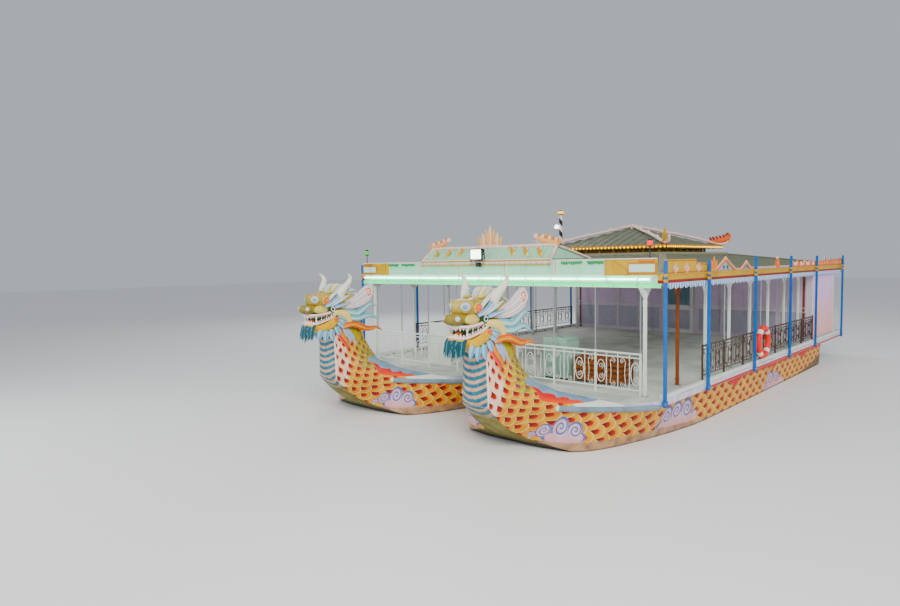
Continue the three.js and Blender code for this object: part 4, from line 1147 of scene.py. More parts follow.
def spiral(centre, across, rise, start, turns, outer, inner, steps=10):
    """Points that wind inwards round a centre, from the angle start."""
    made = []
    count = int(abs(turns) * steps)
    for i in range(count + 1):
        t = i / count
        radius = outer + (inner - outer) * t
        angle = start + turns * 2 * math.pi * t
        made.append(np.asarray(centre) + radius * (math.cos(angle) * np.asarray(across)
                                                   + math.sin(angle) * np.asarray(rise)))
    return made


def cone(shape, base, tip, radius, paint, bend):
    """A pointed tooth that bends forwards."""
    half = (base + tip) / 2 + np.array([0, -bend, 0])
    shape.sweep([base, half, tip], [radius, radius * 0.72, 0.001], paint, 8, steps=3)


def rosette(shape, centre, radius, outward, ring, petal, heart):
    """A round carved flower with petals round a domed middle."""
    outward = unit(outward)
    across = unit(np.cross(outward, UP))
    rise = np.cross(across, outward)
    turn = np.column_stack([across, rise, outward])
    shape.ball(centre, (radius, radius, radius * 0.35), ring, 18, 8, turn)
    for angle in circle(7):
        place = np.asarray(centre) + radius * 0.62 * (across * math.cos(angle) + rise * math.sin(angle))
        radii = (radius * 0.26, radius * 0.26, radius * 0.2)
        shape.ball(place + outward * radius * 0.26, radii, petal, 10, 6, turn)
    radii = (radius * 0.3, radius * 0.3, radius * 0.22)
    shape.ball(np.asarray(centre) + outward * radius * 0.34, radii, heart, 12, 6, turn)


def ear(shape, head, way):
    """A broad ear of ridged folds that curl into a scroll at its end."""
    edges = resample(EAR, 4)
    outward = np.array([way, 0.0, 0.0])
    for k in range(EAR_FOLDS):
        share = (k + 0.5) / EAR_FOLDS
        path = [head.at(way * x, s, low + (high - low) * share) for x, s, low, high in edges]
        sizes = [(0.046, (high - low) / EAR_FOLDS * 0.66) for x, s, low, high in edges]
        shape.sweep(path, sizes, "ear" if k % 2 else "ear_rose", 10, side=outward, steps=1)
    centre = head.path([EAR_SCROLL], way)[0]
    for paint, outer, inner, thick, shift in (("ear", 0.118, 0.030, 0.036, 0.0),
                                              ("spiral", 0.080, 0.012, 0.022, 0.018)):
        path = spiral(centre + outward * shift, (0, 1, 0), UP, -1.6, 1.6, outer, inner)
        sizes = [(thick * 1.35 * (1 - 0.4 * t), thick * (1 - 0.5 * t)) for t in np.linspace(0, 1, len(path))]
        shape.sweep(path, sizes, paint, 10, side=outward, steps=1)
    shape.ball(centre, (0.04, 0.085, 0.085), "ear_rose", 16, 8)


def whole_lip(half):
    """A lip from corner to corner, from its half."""
    return [(-x, s, z) for x, s, z in half[::-1]] + half[1:]


def lip_and_gum(shape, head, rows, radius, drop, gum_radius):
    """A round lip round the mouth, with a gum inside it."""
    gum = [(x * 0.97, s + 0.01, z + drop) for x, s, z in rows]
    for half, size, paint in ((rows, radius, "lip"), (gum, gum_radius, "gum")):
        shape.sweep(head.path(whole_lip(half)), (size, size * 1.15), paint, 12, side=UP, steps=3)


def teeth(name, head):
    """A row of pointed teeth on each lip, with long eye teeth at the front corners."""
    shape = Shape()
    for rows, down, length in ((UPPER_LIP, 1, 0.060), (LOWER_LIP, -1, 0.052)):
        line = resample(whole_lip(rows), 6)
        step = np.concatenate([[0], np.cumsum(np.linalg.norm(np.diff(line, axis=0), axis=1))])
        for k in range(1, TEETH):
            x, s, z = (np.interp(step[-1] * k / TEETH, step, line[:, i]) for i in range(3))
            long = 1.7 if k in EYE_TEETH else 0.95 + 0.3 * (k % 2)
            inward = -0.012 * np.sign(x)
            base = head.at(x + inward, s + 0.012, z - down * 0.008)
            tip = head.at(x + inward * 2.2, s + 0.018, z - down * length * long)
            cone(shape, base, tip, 0.021 if long < 1.5 else 0.026, "tooth", 0.006)
    piece(f"teeth_{name}", shape)


def nostril(shape, head, way):
    """A raised round nostril on the snout's front corner."""
    face = unit((way * 0.62, -0.78, 0))
    across = np.cross(UP, face)
    centre = head.at(way * 0.135, -2.755, 2.190)
    turn = np.column_stack([across, UP, face])
    shape.ball(centre, (0.078, 0.068, 0.034), "nostril", 20, 12, turn)
    shape.ball(centre + face * 0.026, (0.042, 0.036, 0.016), "nostril_dark", 16, 8, turn)
    rim_line = spiral(centre, across, UP, 0, 1.0, 0.082, 0.082, 20)
    shape.sweep(rim_line, (0.018, 0.014), "snout", 8, side=face, steps=1)


def eye(shape, head, way, out):
    shape.ball(head.at(way * 0.232, -2.44, 2.0), (0.042, 0.056, 0.05), "eye_white", 20, 12)
    shape.ball(head.at(way * 0.258, -2.45, 2.0), (0.024, 0.028, 0.028), "pupil", 16, 10)
    lid = spiral(head.at(way * 0.246, -2.44, 2.0), (0, 1, 0), UP, 0, 1.0, 0.06, 0.06, 20)
    shape.sweep(lid, (0.018, 0.012), "lid", 8, side=out, steps=1)


def half_face(shape, head, way):
    """One side of the face: nose rolls, nostril, rosette, eye, cheek and warts."""
    out = (way, -0.15, 0)
    shape.ball(head.at(way * 0.08, -2.865, 2.005), (0.078, 0.085, 0.08), "snout", 18, 12)
    shape.ball(head.at(way * 0.118, -2.905, 2.02), (0.04, 0.04, 0.042), "nostril", 14, 8)
    shape.ball(head.at(way * 0.152, -2.64, 2.0), (0.078, 0.165, 0.08), "lobe", 20, 12)
    nostril(shape, head, way)
    rosette(shape, head.at(way * 0.205, -2.56, 2.16), 0.084, (way, 0, 0), "lobe", "petal", "spiral")
    eye(shape, head, way, out)
    shape.sweep(head.path(CHEEK, way), CHEEK_SIZES, "cheek", 16, side=out, steps=6)
    for k in range(5):
        t = k / 4
        wart = head.at(way * (0.150 - 0.05 * t), -2.44 + 0.13 * t * 2, 2.315 + 0.012 * t)
        shape.ball(wart, (0.03, 0.036, 0.028), "lobe", 12, 8)


def crest(shape, head):
    """Leaves that stand in a row along the top of the head."""
    for k in range(6):
        place = -2.40 + 0.13 * k
        top = np.interp(place, [row[0] for row in SNOUT], [row[3] for row in SNOUT])
        rows = [(0, place, top - 0.03), (0, place + 0.06, top + 0.09 - 0.012 * k),
                (0, place + 0.19, top + 0.145 - 0.03 * k)]
        leaf(shape, head.path(rows), 0.12, 0.06, "horn" if k % 2 else "brow_pale", "cheek")


def skull(name, head):
    shape = Shape()
    for rows, paint in ((SNOUT, "snout"), (NOSE, "nose"), (THROAT, "throat")):
        loft(shape, head, rows, paint)
    for way in WAYS:
        half_face(shape, head, way)
    lip_and_gum(shape, head, UPPER_LIP, 0.021, -0.024, 0.011)
    crest(shape, head)
    piece(f"head_{name}", shape, replaces=[f"dragon_head_{name}"])


def jaw(name, head):
    shape = Shape()
    loft(shape, head, CHIN, "chin")
    loft(shape, head, MOUTH, "mouth")
    lip_and_gum(shape, head, LOWER_LIP, 0.02, 0.022, 0.01)
    shape.sweep(head.path(TONGUE), TONGUE_SIZES, "petal", 14, side=(1, 0, 0), steps=4)
    for way in WAYS:
        side = (way, 0, 0)
        shape.sweep(head.path(JOWL, way), JOWL_SIZES, "chin", 16, side=side, steps=5)
        curl = spiral(head.at(way * 0.272, -2.365, 1.800), (0, 1, 0), UP, 2.6, 1.25, 0.046, 0.010)
        shape.sweep(curl, (0.014, 0.011), "petal", 8, side=side, steps=1)
        shape.sweep(head.path(MOUTH_CORNER, way), [0.022, 0.024, 0.02], "lip", 10, side=side)
    piece(f"jaw_{name}", shape, replaces=[f"dragon_jaw_{name}"])


def beard(name, head):
    """Locks that hang from the chin, longest in the middle."""
    shape = Shape()
    maker = random.Random(11)
    for k in range(BEARD_LOCKS):
        x = -0.185 + 0.37 * k / (BEARD_LOCKS - 1)
        length = 0.30 - 0.9 * abs(x) ** 1.6 + maker.uniform(-0.02, 0.03)
        bow = maker.uniform(-0.02, 0.02)
        points = [(x * 0.95, -2.822 + abs(x) * 0.16, 1.715), (x, -2.862 + abs(x) * 0.15, 1.66),
                  (x + bow, -2.880 + abs(x) * 0.15, 1.60),
                  (x * 1.05 - bow, -2.885 + abs(x) * 0.12, 1.715 - length * 0.72),
                  (x * 1.08, -2.905 + abs(x) * 0.12, 1.715 - length)]
        shape.sweep(head.path(points), BEARD_SIZES, HAIR[k % 4], 8, side=(1, 0, 0), steps=4)
    piece(f"beard_{name}", shape)


def horns(name, head):
    shape = Shape()
    for way in WAYS:
        shape.sweep(head.path(HORN, way), [row[3] for row in HORN], "horn", 16, side=(1, 0, 0), steps=6)
        rows = resample(HORN, 6)
        for k in HORN_RINGS:
            x, s, z, r = rows[k]
            along = (rows[k + 1] - rows[k])[:3] * (way, 1, 1)
            ring = [(r * 0.8, -0.008), (r + 0.006, -0.006), (r + 0.007, 0.004), (r * 0.8, 0.008)]
            shape.turned(ring, head.at(way * x, s, z), "horn", 16, ring=True, axis=unit(along))
    piece(f"horns_{name}", shape)


def strands(name, head):
    """What flies back from each cheek: the ear, strands, brows and ruff."""
    shape = Shape()
    for way in WAYS:
        side = (way, 0, 0)
        ear(shape, head, way)
        for width, thick, tint, rows in STRANDS:
            shades = [tint, tint + "_dark", tint, tint + "_light"]
            lock(shape, head.path(rows, way), width, thick, shades, 4, side)
        for leaves, thick, rib in ((BROWS, 0.06, "ear"), (RUFF, 0.055, "ruff_rib")):
            for width, tint, rows in leaves:
                leaf(shape, head.path(rows, way), width, thick, tint, rib, side)
    piece(f"strands_{name}", shape)


def mane(name, head):
    """Locks on the neck's sides and back, and over the back of the head."""
    shape = Shape()
    for way in WAYS:
        for width, tint, rows in MANE:
            lock(shape, head.path(rows, way), width, 0.050, two_tone(tint), 3, (way, 0, 0.35))
    for k in range(BACK_LOCKS):
        x = -0.20 + 0.40 * k / (BACK_LOCKS - 1)
        rows = [(x * 0.9, -1.86, 1.66), (x, -1.80, 1.56), (x * 1.1, -1.745, 1.46), (x * 1.1, -1.715, 1.37)]
        tint = "mane_olive" if k % 2 else "mane_gold"
        lock(shape, head.path(rows), 0.075, 0.05, two_tone(tint), 3, (0, 1, 0.4))
    for k in range(BACK_LOCKS):
        x = -0.21 + 0.07 * k
        bulge = x * x
        rows = [(x * 0.9, -1.96, 2.310 - bulge), (x, -1.83, 2.250 - 2 * bulge),
                (x, -1.685 - 2 * bulge, 2.10), (x, -1.650 - 1.7 * bulge, 1.93),
                (x * 1.02, -1.668 - 1.2 * bulge, 1.76), (x * 1.05, -1.70 - bulge, 1.61)]
        tint = "strand" if k % 2 else "mane_pale"
        lock(shape, head.path(rows), 0.095, 0.060, two_tone(tint), 3, (0, 1, 0.2))
    piece(f"mane_{name}", shape)


def dragon_head(name, side):
    head = Head(side)
    for part in (skull, jaw, teeth, beard, horns, strands, mane):
        part(name, head)


def snout_paint():
    """Olive paint with painted light that makes it paler above, with stains and orange dots."""
    paint = Paint("dragon_snout", 0.38, coat=0.2)
    tone = paint.noise(9.0, 4)
    dots = paint.spots(26.0, 0.26)
    z = paint.place()[2]
    # Paler towards the top: painted light.
    paint.colour(paint.mix(paint.smooth(z + (tone - 0.5) * 0.12, up(1.95), up(2.25)), 0x7C6830, 0xBCAC74))
    paint.lay(paint.smooth(paint.noise(4.0, 3), 0.5, 0.65) * 0.6, 0x7E7A38)
    return paint.lay(dots * 0.75, 0xB85A1E).bump(tone + dots, 0.4, 0.006)


HEAD_COLOURS = {
    "lip": 0xEEE4E2, "gum": 0xC9837C, "tooth": 0xF4F1E4, "horn": 0xF1EEE0, "nostril": 0xCBD3E2,
    "nostril_dark": 0x8FA3BC, "petal": 0xE8713A, "spiral": 0xE58A3C, "eye_white": 0xF6F5EE,
    "pupil": 0x14130F, "lid": 0x2E5E4C, "cheek": 0xEBD9A4, "brow": 0x84ACC8, "brow_pale": 0xD0DEE6,
    "ear": 0xECE8E8, "ear_rose": 0xE0D0D4, "strand": 0xB4D6D4, "strand_dark": 0x86B4C0,
    "strand_light": 0xD8E8E4, "ember": 0xE09440, "ember_dark": 0xC8702C, "ember_light": 0xECB868,
    "ruff": 0xAACADA, "ruff_rib": 0x749CB4, "mane_red": 0xE0766A, "mane_red_dark": 0xB8402E,
    "mane_gold": 0xE7AE48, "mane_gold_dark": 0xC27A2A, "mane_pale": 0xC6CEE2,
    "mane_pale_dark": 0x8C9CC0, "mane_olive": 0xC7BE5C, "mane_olive_dark": 0x8A8438,
    "beard_dark": 0x2C4E54, "beard_light": 0x5A8496,
}


def head_paints():
    PAINTS["snout"] = snout_paint()
    # The nose runs from dark green up to a tan painted highlight on its top.
    PAINTS["nose"] = shaded("dragon_nose", 0x4A5E42, 0x8E8250, 1.90, 2.05)
    PAINTS["throat"] = shaded("dragon_throat", 0x5E8FA6, 0xA9C6CC, 1.5, 1.9)
    PAINTS["mouth"] = shaded("mouth_dark", 0x16301F, 0x274E35, 1.75, 1.92, 0.3)
    PAINTS["lobe"] = dotted("dragon_lobe", 0xDCD094, 0xD07844, 34.0)
    PAINTS["chin"] = dotted("dragon_chin", 0xE4C070, 0xC85428, 30.0)
    for key, code in HEAD_COLOURS.items():
        PAINTS[key] = painted("dragon_" + key, code, 0.42, 0.12, 14.0)


# Upper works
ROOF_LOW, ROOF_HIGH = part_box("main_roof")
PLATEAU = {"half": 1.75, "front": 4.20, "back": 8.20, "height": ROOF_HIGH.z - ZERO_LINE}
EAVE_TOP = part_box("eave_beam_port")[1].z - ZERO_LINE
EAVE_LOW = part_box("eave_beam_port")[0].z - ZERO_LINE
DECK_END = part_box("main_deck")[1].y - FRONT
PYRAMID = {"middle": middle("pyramid_roof").y - FRONT, "half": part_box("pyramid_roof")[1].x,
           "eave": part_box("pyramid_roof")[0].z - ZERO_LINE, "apex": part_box("pyramid_roof")[1].z - ZERO_LINE,
           "rim": 0.04}
LANTERN_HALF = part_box("lantern")[1].x
PORCH = {"half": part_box("porch_roof")[1].x, "front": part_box("porch_roof")[0].y - FRONT,
         "back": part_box("porch_roof")[1].y - FRONT, "ridge_half": 1.59, "ridge_place": 0.22,
         "ridge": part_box("porch_roof")[1].z - ZERO_LINE, "eave": 2.87}
BOARD = {"half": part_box("front_board")[1].x, "face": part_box("front_board")[0].y - FRONT,
         "low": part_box("front_board")[0].z - ZERO_LINE, "top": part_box("front_board")[1].z - ZERO_LINE}
WAVE_PITCH = 0.19
WAVE_DEPTH = 0.022


def hip_slope(shape, eave, top, paint, pitch=WAVE_PITCH, depth=WAVE_DEPTH, thick=0.012):
    """Corrugated sheet between an eave and a top edge, with its waves straight down the slope."""
    a, b, c, d = (np.asarray(p, float) for p in (*eave, *top))
    along = unit((b - a) * (1, 1, 0))
    length, start, end = (b - a) @ along, (c - a) @ along, (d - a) @ along
    climb = c - a - along * start
    drop = np.array([0, 0, thick])
    steps = max(int(length / pitch), 1) * 6
    rings = []
    for i in range(steps + 1):
        u = length * i / steps
        from_start = u / start if start > 1e-6 else 1.0
        from_end = (length - u) / (length - end) if end < length else 1.0
        low = a + along * u + np.array([0, 0, depth * 0.5 * math.cos(i * math.pi / 3)])
        high = low + climb * max(min(1.0, from_start, from_end), 0.002)
        rings.append([low, high, high - drop, low - drop])
    shape.skin(rings, paint)


def four_slopes(shape, eave, tops, paint, **more):
    """Four slopes between the corners of an eave and those of a top edge."""
    for i in range(4):
        j = (i + 1) % 4
        hip_slope(shape, (eave[i], eave[j]), (tops[i], tops[j]), paint, **more)


def corners(half, front, back, height):
    return [at(x, place, height) for x, place in rect(-half, half, front, back)]


def main_roof():
    shape = Shape()
    eave = corners(ROOF_HIGH.x, ROOF_LOW.y - FRONT, ROOF_HIGH.y - FRONT, EAVE_TOP)
    tops = corners(PLATEAU["half"], PLATEAU["front"], PLATEAU["back"], PLATEAU["height"] - 0.012)
    four_slopes(shape, eave, tops, "roof")
    hip_slope(shape, (tops[0], tops[3]), (tops[1], tops[2]), "roof")
    for low, high in zip(eave, tops):
        shape.sweep([low, (low + high) / 2, high], (0.075, 0.022), "roof_cap", 10, side=(1, 1, 0))
    for i in range(4):
        shape.sweep([tops[i], tops[(i + 1) % 4]], (0.06, 0.018), "roof_cap", 10, side=UP)
    piece("main_roof_sheets", shape, replaces=["main_roof"], crease=35)


def four_walls(half, centre, outward=1):
    """For each wall of a square tower, the way from u along it, v up and w off it to a point."""
    def wall(across, along):
        def spot(u, v, w):
            out = half + outward * w
            return at(across * out, centre + u, v) if along else at(u, centre + across * out, v)
        return spot
    return [wall(across, along) for across in WAYS for along in (0, 1)]


def lantern():
    """Louvred walls between the main roof and the pyramid."""
    shape = Shape()
    low, high = PLATEAU["height"], PYRAMID["eave"]
    half, centre = LANTERN_HALF, PYRAMID["middle"]
    for spot in four_walls(half, centre, -1):
        for z in (low, high - 0.03):
            shape.plate(rect(-half, half, z, z + 0.03), spot, 0, 0.05, "yellow", 0.004)
        for k in range(8):
            u = -half + (2 * half - 0.05) * k / 7
            shape.plate(rect(u, u + 0.05, low + 0.02, high - 0.02), spot, 0.002, 0.05, "yellow", 0.004)
        for k in range(3):
            v = low + 0.042 + 0.026 * k
            louvre = rect(-half + 0.02, half - 0.02, v, v + 0.016)
            shape.plate(louvre, spot, 0.012, 0.04, "orange", 0.003)
    inner = half - 0.06
    # A near-black block inside the louvres: painted shade in the lantern's hollow.
    shape.block(at(-inner, centre - inner, low), at(inner, centre + inner, high - 0.01), "dark")
    piece("lantern_louvres", shape, replaces=["lantern"])


def flame(shape, base, rise, lean, width, paint, rib, side, curl=0.0):
    """A tongue of flame that stands on its base and leans along lean."""
    base, lean = np.asarray(base, float), np.asarray(lean, float)
    tall = np.array([0, 0, 1.0]) * rise
    points = [base, base + tall * 0.35 + lean * 0.10, base + tall * 0.72 + lean * (0.45 - curl),
              base + tall + lean]
    leaf(shape, points, width, width * 0.35, paint, rib, side)


def scroll(shape, centre, across, rise, radius, turns, thick, paint, start=0.0, depth=None):
    """A flat spiral bar that winds inwards."""
    across, rise = unit(across), unit(rise)
    path = spiral(centre, across, rise, start, turns, radius, radius * 0.25, 12)
    depth = thick if depth is None else depth
    sizes = [(depth * 0.5, thick * 0.5 * (1 - 0.35 * t)) for t in np.linspace(0, 1, len(path))]
    shape.sweep(path, sizes, paint, 8, side=np.cross(across, rise), steps=1)
    shape.ball(path[-1], thick * 0.62, paint, 8, 6)


TRIM_DROPS = 34
PYRAMID_TIP = 0.06


def pyramid_roof():
    shape = Shape()
    half, centre, eave, rim_height = (PYRAMID[key] for key in ("half", "middle", "eave", "rim"))
    out = half - 0.01
    four_slopes(shape, corners(out, centre - half + 0.01, centre + half - 0.01, eave + rim_height),
                corners(PYRAMID_TIP, centre - PYRAMID_TIP, centre + PYRAMID_TIP, PYRAMID["apex"] - 0.012),
                "roof", pitch=0.215, depth=0.02)
    # A near-black plate under the slopes at the eave: painted shade under the roof.
    shape.block(at(-half + 0.03, centre - half + 0.03, eave),
                at(half - 0.03, centre + half - 0.03, eave + 0.02), "dark")
    piece("pyramid_sheets", shape, replaces=["pyramid_roof"], crease=35)

    trim, bulbs = Shape(), Shape()
    for spot in four_walls(half - 0.012, centre):
        pyramid_edge(trim, bulbs, spot, half, eave, eave + rim_height)
    piece("pyramid_trim", trim, crease=30)
    piece("string_lights", bulbs)


def pyramid_edge(trim, bulbs, spot, half, eave, top):
    """A scalloped edge with a bead and a string of small lamps along one side."""
    outline = [(-half, top + 0.02)]
    for k in range(TRIM_DROPS):
        for t in (0.0, 0.2, 0.5, 0.8):
            u = -half + 2 * half * (k + t) / TRIM_DROPS
            outline.append((u, eave + 0.012 - 0.030 * math.sin(math.pi * t)))
    outline += [(half, eave + 0.012), (half, top + 0.02)]
    trim.plate(outline, spot, 0.0, 0.012, "trim")
    trim.sweep([spot(-half, top + 0.016, 0.010), spot(half, top + 0.016, 0.010)], 0.012, "orange", 8)
    for k in range(TRIM_DROPS):
        u = -half + 2 * half * (k + 0.5) / TRIM_DROPS
        bulbs.ball(spot(u, eave + 0.02, 0.022), (0.011, 0.011, 0.014), "bulb", 6, 4)


# Lean, rise and width of the three flames on each front corner of the pyramid
CORNER_FLAMES = ((-0.10, 0.26, 0.13), (0.02, 0.36, 0.17), (0.12, 0.22, 0.12))
TAIL_SIZES = [(0.03, 0.045), (0.048, 0.066), (0.05, 0.07), (0.042, 0.062), (0.02, 0.03)]
KNOB = [(0.085, -0.045), (0.090, -0.020), (0.060, 0.000), (0.052, 0.020), (0.075, 0.045), (0.070, 0.068),
        (0.040, 0.085), (0.012, 0.098), (0.0, 0.1)]


def ridge_cap(shape, corner, half, top, side, outward):
    """The round cap down one ridge, with knobs on it and a scroll at its foot."""
    apex = PYRAMID["apex"]
    path = [(0.03, apex + 0.045), (0.5, apex - 0.100), (1.0, top + 0.300), (half - 0.25, top + 0.130),
            (half - 0.05, top + 0.065), (half + 0.055, top + 0.085), (half + 0.105, top + 0.160)]
    shape.sweep([corner(*row) for row in path], [(0.048, 0.036)] * 5 + [(0.044, 0.034), (0.028, 0.024)],
                "ridge", 12, side=side, steps=4)
    for out, height in ((0.42, apex - 0.068), (0.84, top + 0.352), (1.26, top + 0.213)):
        shape.ball(corner(out, height + 0.01), (0.06, 0.06, 0.05), "ridge", 12, 6)
    scroll(shape, corner(half + 0.075, top + 0.205), outward, UP, 0.065, 1.2, 0.032, "ridge", -1.2)


def corner_flames(shape, root, side, outward):
    for lean, rise, width in CORNER_FLAMES:
        foot = root + outward * lean * 0.4
        flame(shape, foot, rise, outward * lean, width, "gold", "orange", side, 0.1)
    shape.ball(root + (0, 0, 0.02), (0.075, 0.075, 0.05), "orange", 14, 8)


def ridge_tail(shape, corner, half, top, side, outward):
    """A finned tail that rises from a rear corner into a scroll."""
    rows = [(-0.27, 0.100), (-0.16, 0.125), (-0.03, 0.160), (0.09, 0.205), (0.145, 0.260)]
    tail = [corner(half + out, top + height) for out, height in rows]
    shape.sweep(tail, TAIL_SIZES, "tail", 12, side=side, steps=5)
    scroll(shape, tail[-1] - outward * 0.045, outward, UP, 0.062, 1.3, 0.04, "tail", 0.3, 0.05)
    for spot in resample(tail, 4)[2:-1:2]:
        fin = [spot + (0, 0, 0.05), spot + (0, 0, 0.1) - outward * 0.02,
               spot + (0, 0, 0.135) - outward * 0.07]
        leaf(shape, fin, 0.07, 0.036, "tail_dark", None, side)
        fin = [spot - (0, 0, 0.04), spot - (0, 0, 0.075) + outward * 0.02,
               spot - (0, 0, 0.095) + outward * 0.06]
        leaf(shape, fin, 0.055, 0.03, "gold", None, side)


def pyramid_ridges():
    shape = Shape()
    half, centre, top = PYRAMID["half"], PYRAMID["middle"], PYRAMID["eave"] + PYRAMID["rim"]
    for across in WAYS:
        for along in WAYS:
            def corner(out, height):
                return at(across * out, centre + along * out, height)
            side, outward = unit((across, -along, 0)), unit((across, along, 0))
            ridge_cap(shape, corner, half, top, side, outward)
            if along < 0:
                corner_flames(shape, corner(half - 0.11, top + 0.065), side, outward)
            else:
                ridge_tail(shape, corner, half, top, side, outward)
    shape.turned(KNOB, at(0, centre, PYRAMID["apex"] - 0.01), "ridge")
    piece("ridge_caps", shape, replaces=["pyramid_ridges"])


BEADS = 27
# Place along the ridge from its end, height over it, and size, of the dragon that lies on the porch's ridge
RIDGE_DRAGON = [(0.03, 0.02, (0.03, 0.03)), (-0.14, 0.055, (0.04, 0.046)), (-0.32, 0.095, (0.04, 0.046)),
                (-0.46, 0.160, (0.026, 0.03))]


def porch_gable(shape, way):
    """The gable with its edge caps and the leg under it, on one side."""
    half, front, back, eave = PORCH["half"], PORCH["front"], PORCH["back"], PORCH["eave"]
    ridge_place, ridge = PORCH["ridge_place"], PORCH["ridge"]
    gable = [(front + 0.01, eave), (back - 0.01, eave), (ridge_place, ridge - 0.02)]

    def leaning(u, v, w):
        return at(way * (half - 0.03 - w - 0.05 * (v - eave) / (ridge - eave)), u, v)

    shape.plate(gable, leaning, 0, 0.02, "porch")
    low_end = way * (half - 0.02)
    foot, peak = (low_end, front, eave), (way * (half - 0.02 - 0.05), ridge_place, ridge)
    for start, end in ((foot, peak), (peak, (low_end, back, eave))):
        centre = (way * (half - 0.045), (start[1] + end[1]) / 2, (start[2] + end[2]) / 2)
        shape.sweep([at(*start), at(*centre), at(*end)], (0.03, 0.026), "ridge", 10, side=(1, 0, 0))
    leg_front, leg_back = front + 0.07, back - 0.10
    leg = [(leg_front, EAVE_TOP), (leg_back, EAVE_TOP + 0.10), (leg_back, eave), (leg_front, eave)]
    shape.plate(leg, lambda u, v, w: at(way * (half - 0.16 + w), u, v), 0, 0.1, "porch", 0.005)


def porch_roof():
    shape = Shape()
    half, front, back, eave = PORCH["half"], PORCH["front"], PORCH["back"], PORCH["eave"]
    ridge_half, ridge_place, ridge = PORCH["ridge_half"], PORCH["ridge_place"], PORCH["ridge"]
    top = [at(-ridge_half, ridge_place, ridge - 0.01), at(ridge_half, ridge_place, ridge - 0.01)]
    hip_slope(shape, (at(-half, front, eave), at(half, front, eave)), top, "porch", pitch=0.1, depth=0.03)
    hip_slope(shape, (at(half, back, eave), at(-half, back, eave)), top[::-1], "porch", pitch=0.1,
              depth=0.02)
    for way in WAYS:
        porch_gable(shape, way)
    shape.block(at(-half, front - 0.035, 2.76), at(half, front + 0.012, eave + 0.01), "white", 0.006)
    for z in (2.775, 2.850):
        shape.sweep([at(-half, front - 0.038, z), at(half, front - 0.038, z)], (0.01, 0.012), "trim", 8)
    for k in range(BEADS):
        x = -half + 0.05 + (2 * half - 0.10) * k / (BEADS - 1)
        shape.ball(at(x, front - 0.037, 2.812), (0.042, 0.01, 0.022), "ridge", 12, 6)
    line = [(-ridge_half, 0.01), (0, -0.005), (ridge_half, 0.01)]
    shape.sweep([at(x, ridge_place, ridge + lift) for x, lift in line], (0.034, 0.03), "ridge", 12,
                side=(0, 1, 0))
    piece("porch_sheets", shape, replaces=["porch_roof"], crease=35)


def ridge_dragon(shape, way):
    """A small dragon along one half of the porch's ridge, with its fins and curled tail."""
    ridge_half, ridge_place, ridge = PORCH["ridge_half"], PORCH["ridge_place"], PORCH["ridge"]

    def spot(inset, lift):
        return at(way * (ridge_half + inset), ridge_place, ridge + lift)

    body = [spot(inset, lift) for inset, lift, size in RIDGE_DRAGON]
    sizes = [size for inset, lift, size in RIDGE_DRAGON]
    shape.sweep(body, sizes, "gold_rose", 12, side=(0, 1, 0), steps=5)
    shape.ball(spot(-0.48, 0.175), (0.052, 0.045, 0.05), "ridge", 14, 8)
    for k in range(6):
        t = k / 5
        root = at(way * (ridge_half - 0.02 - 0.38 * t), ridge_place, ridge + 0.050 + 0.080 * t)
        fin = [root, root + (-way * 0.015, 0, 0.05), root + (way * 0.03, 0, 0.085)]
        leaf(shape, fin, 0.06, 0.036, "orange" if k % 2 else "ridge", None, (0, 1, 0))
    scroll(shape, spot(0.02, 0.075), (way, 0, 0), UP, 0.055, 1.2, 0.03, "gold_rose", -1.4, 0.05)


def porch_ornament(shape, way, k, x):
    """A drooping leaf with a scroll over it, on the porch's front slope."""
    front, eave, ridge = PORCH["front"], PORCH["eave"], PORCH["ridge"]
    share = 0.70 - 0.06 * k
    root = at(way * x, front + (PORCH["ridge_place"] - front) * share, eave + (ridge - eave) * share)
    points = [root + (0, -0.035, 0.02), root + (way * 0.05, -0.060, -0.03),
              root + (way * 0.07, -0.085, -0.09), root + (way * 0.13, -0.105, -0.13)]
    leaf(shape, points, 0.085, 0.04, "gold", "orange", (0, -1, 0.7))
    scroll(shape, root + (0, -0.045, 0.045), (way, 0, 0), (0, -0.6, 0.8), 0.045, 1.1, 0.022, "gold_rose",
           0.4, 0.03)


def porch_carvings():
    """The dragons on the porch's ridge, the ornaments on its slope and the crest in the middle."""
    shape = Shape()
    ridge_place, ridge = PORCH["ridge_place"], PORCH["ridge"]
    for way in WAYS:
        ridge_dragon(shape, way)
        for k, x in enumerate((0.62, 0.95, 1.28)):
            porch_ornament(shape, way, k, x)
    for k in range(7):
        x = -0.24 + 0.08 * k
        paint = "ridge" if k % 2 else "gold_rose"
        foot = at(x, ridge_place, ridge + 0.01)
        flame(shape, foot, 0.42 - 0.9 * abs(x), (x * 0.25, 0, 0), 0.085, paint, "gold", (0, -1, 0))
    shape.block(at(-0.3, ridge_place - 0.045, ridge - 0.02), at(0.3, ridge_place + 0.045, ridge + 0.045),
                "ridge", 0.012)
    piece("porch_carvings", shape)


# Facade: the frame of the board, its inner panels, the gussets and the blank plates
PLATE = (3.135, 3.577, 2.628, 2.757)
GUSSET = [(2.832, 2.590), (3.105, 2.590), (3.105, 2.655), (2.832, 2.845)]
PANEL_ENDS = (-2.70, -1.72, -0.58, 0.58, 1.72, 2.70)
HUNG_LEAVES = ((1.86, 2.24), (2.38, 2.66))


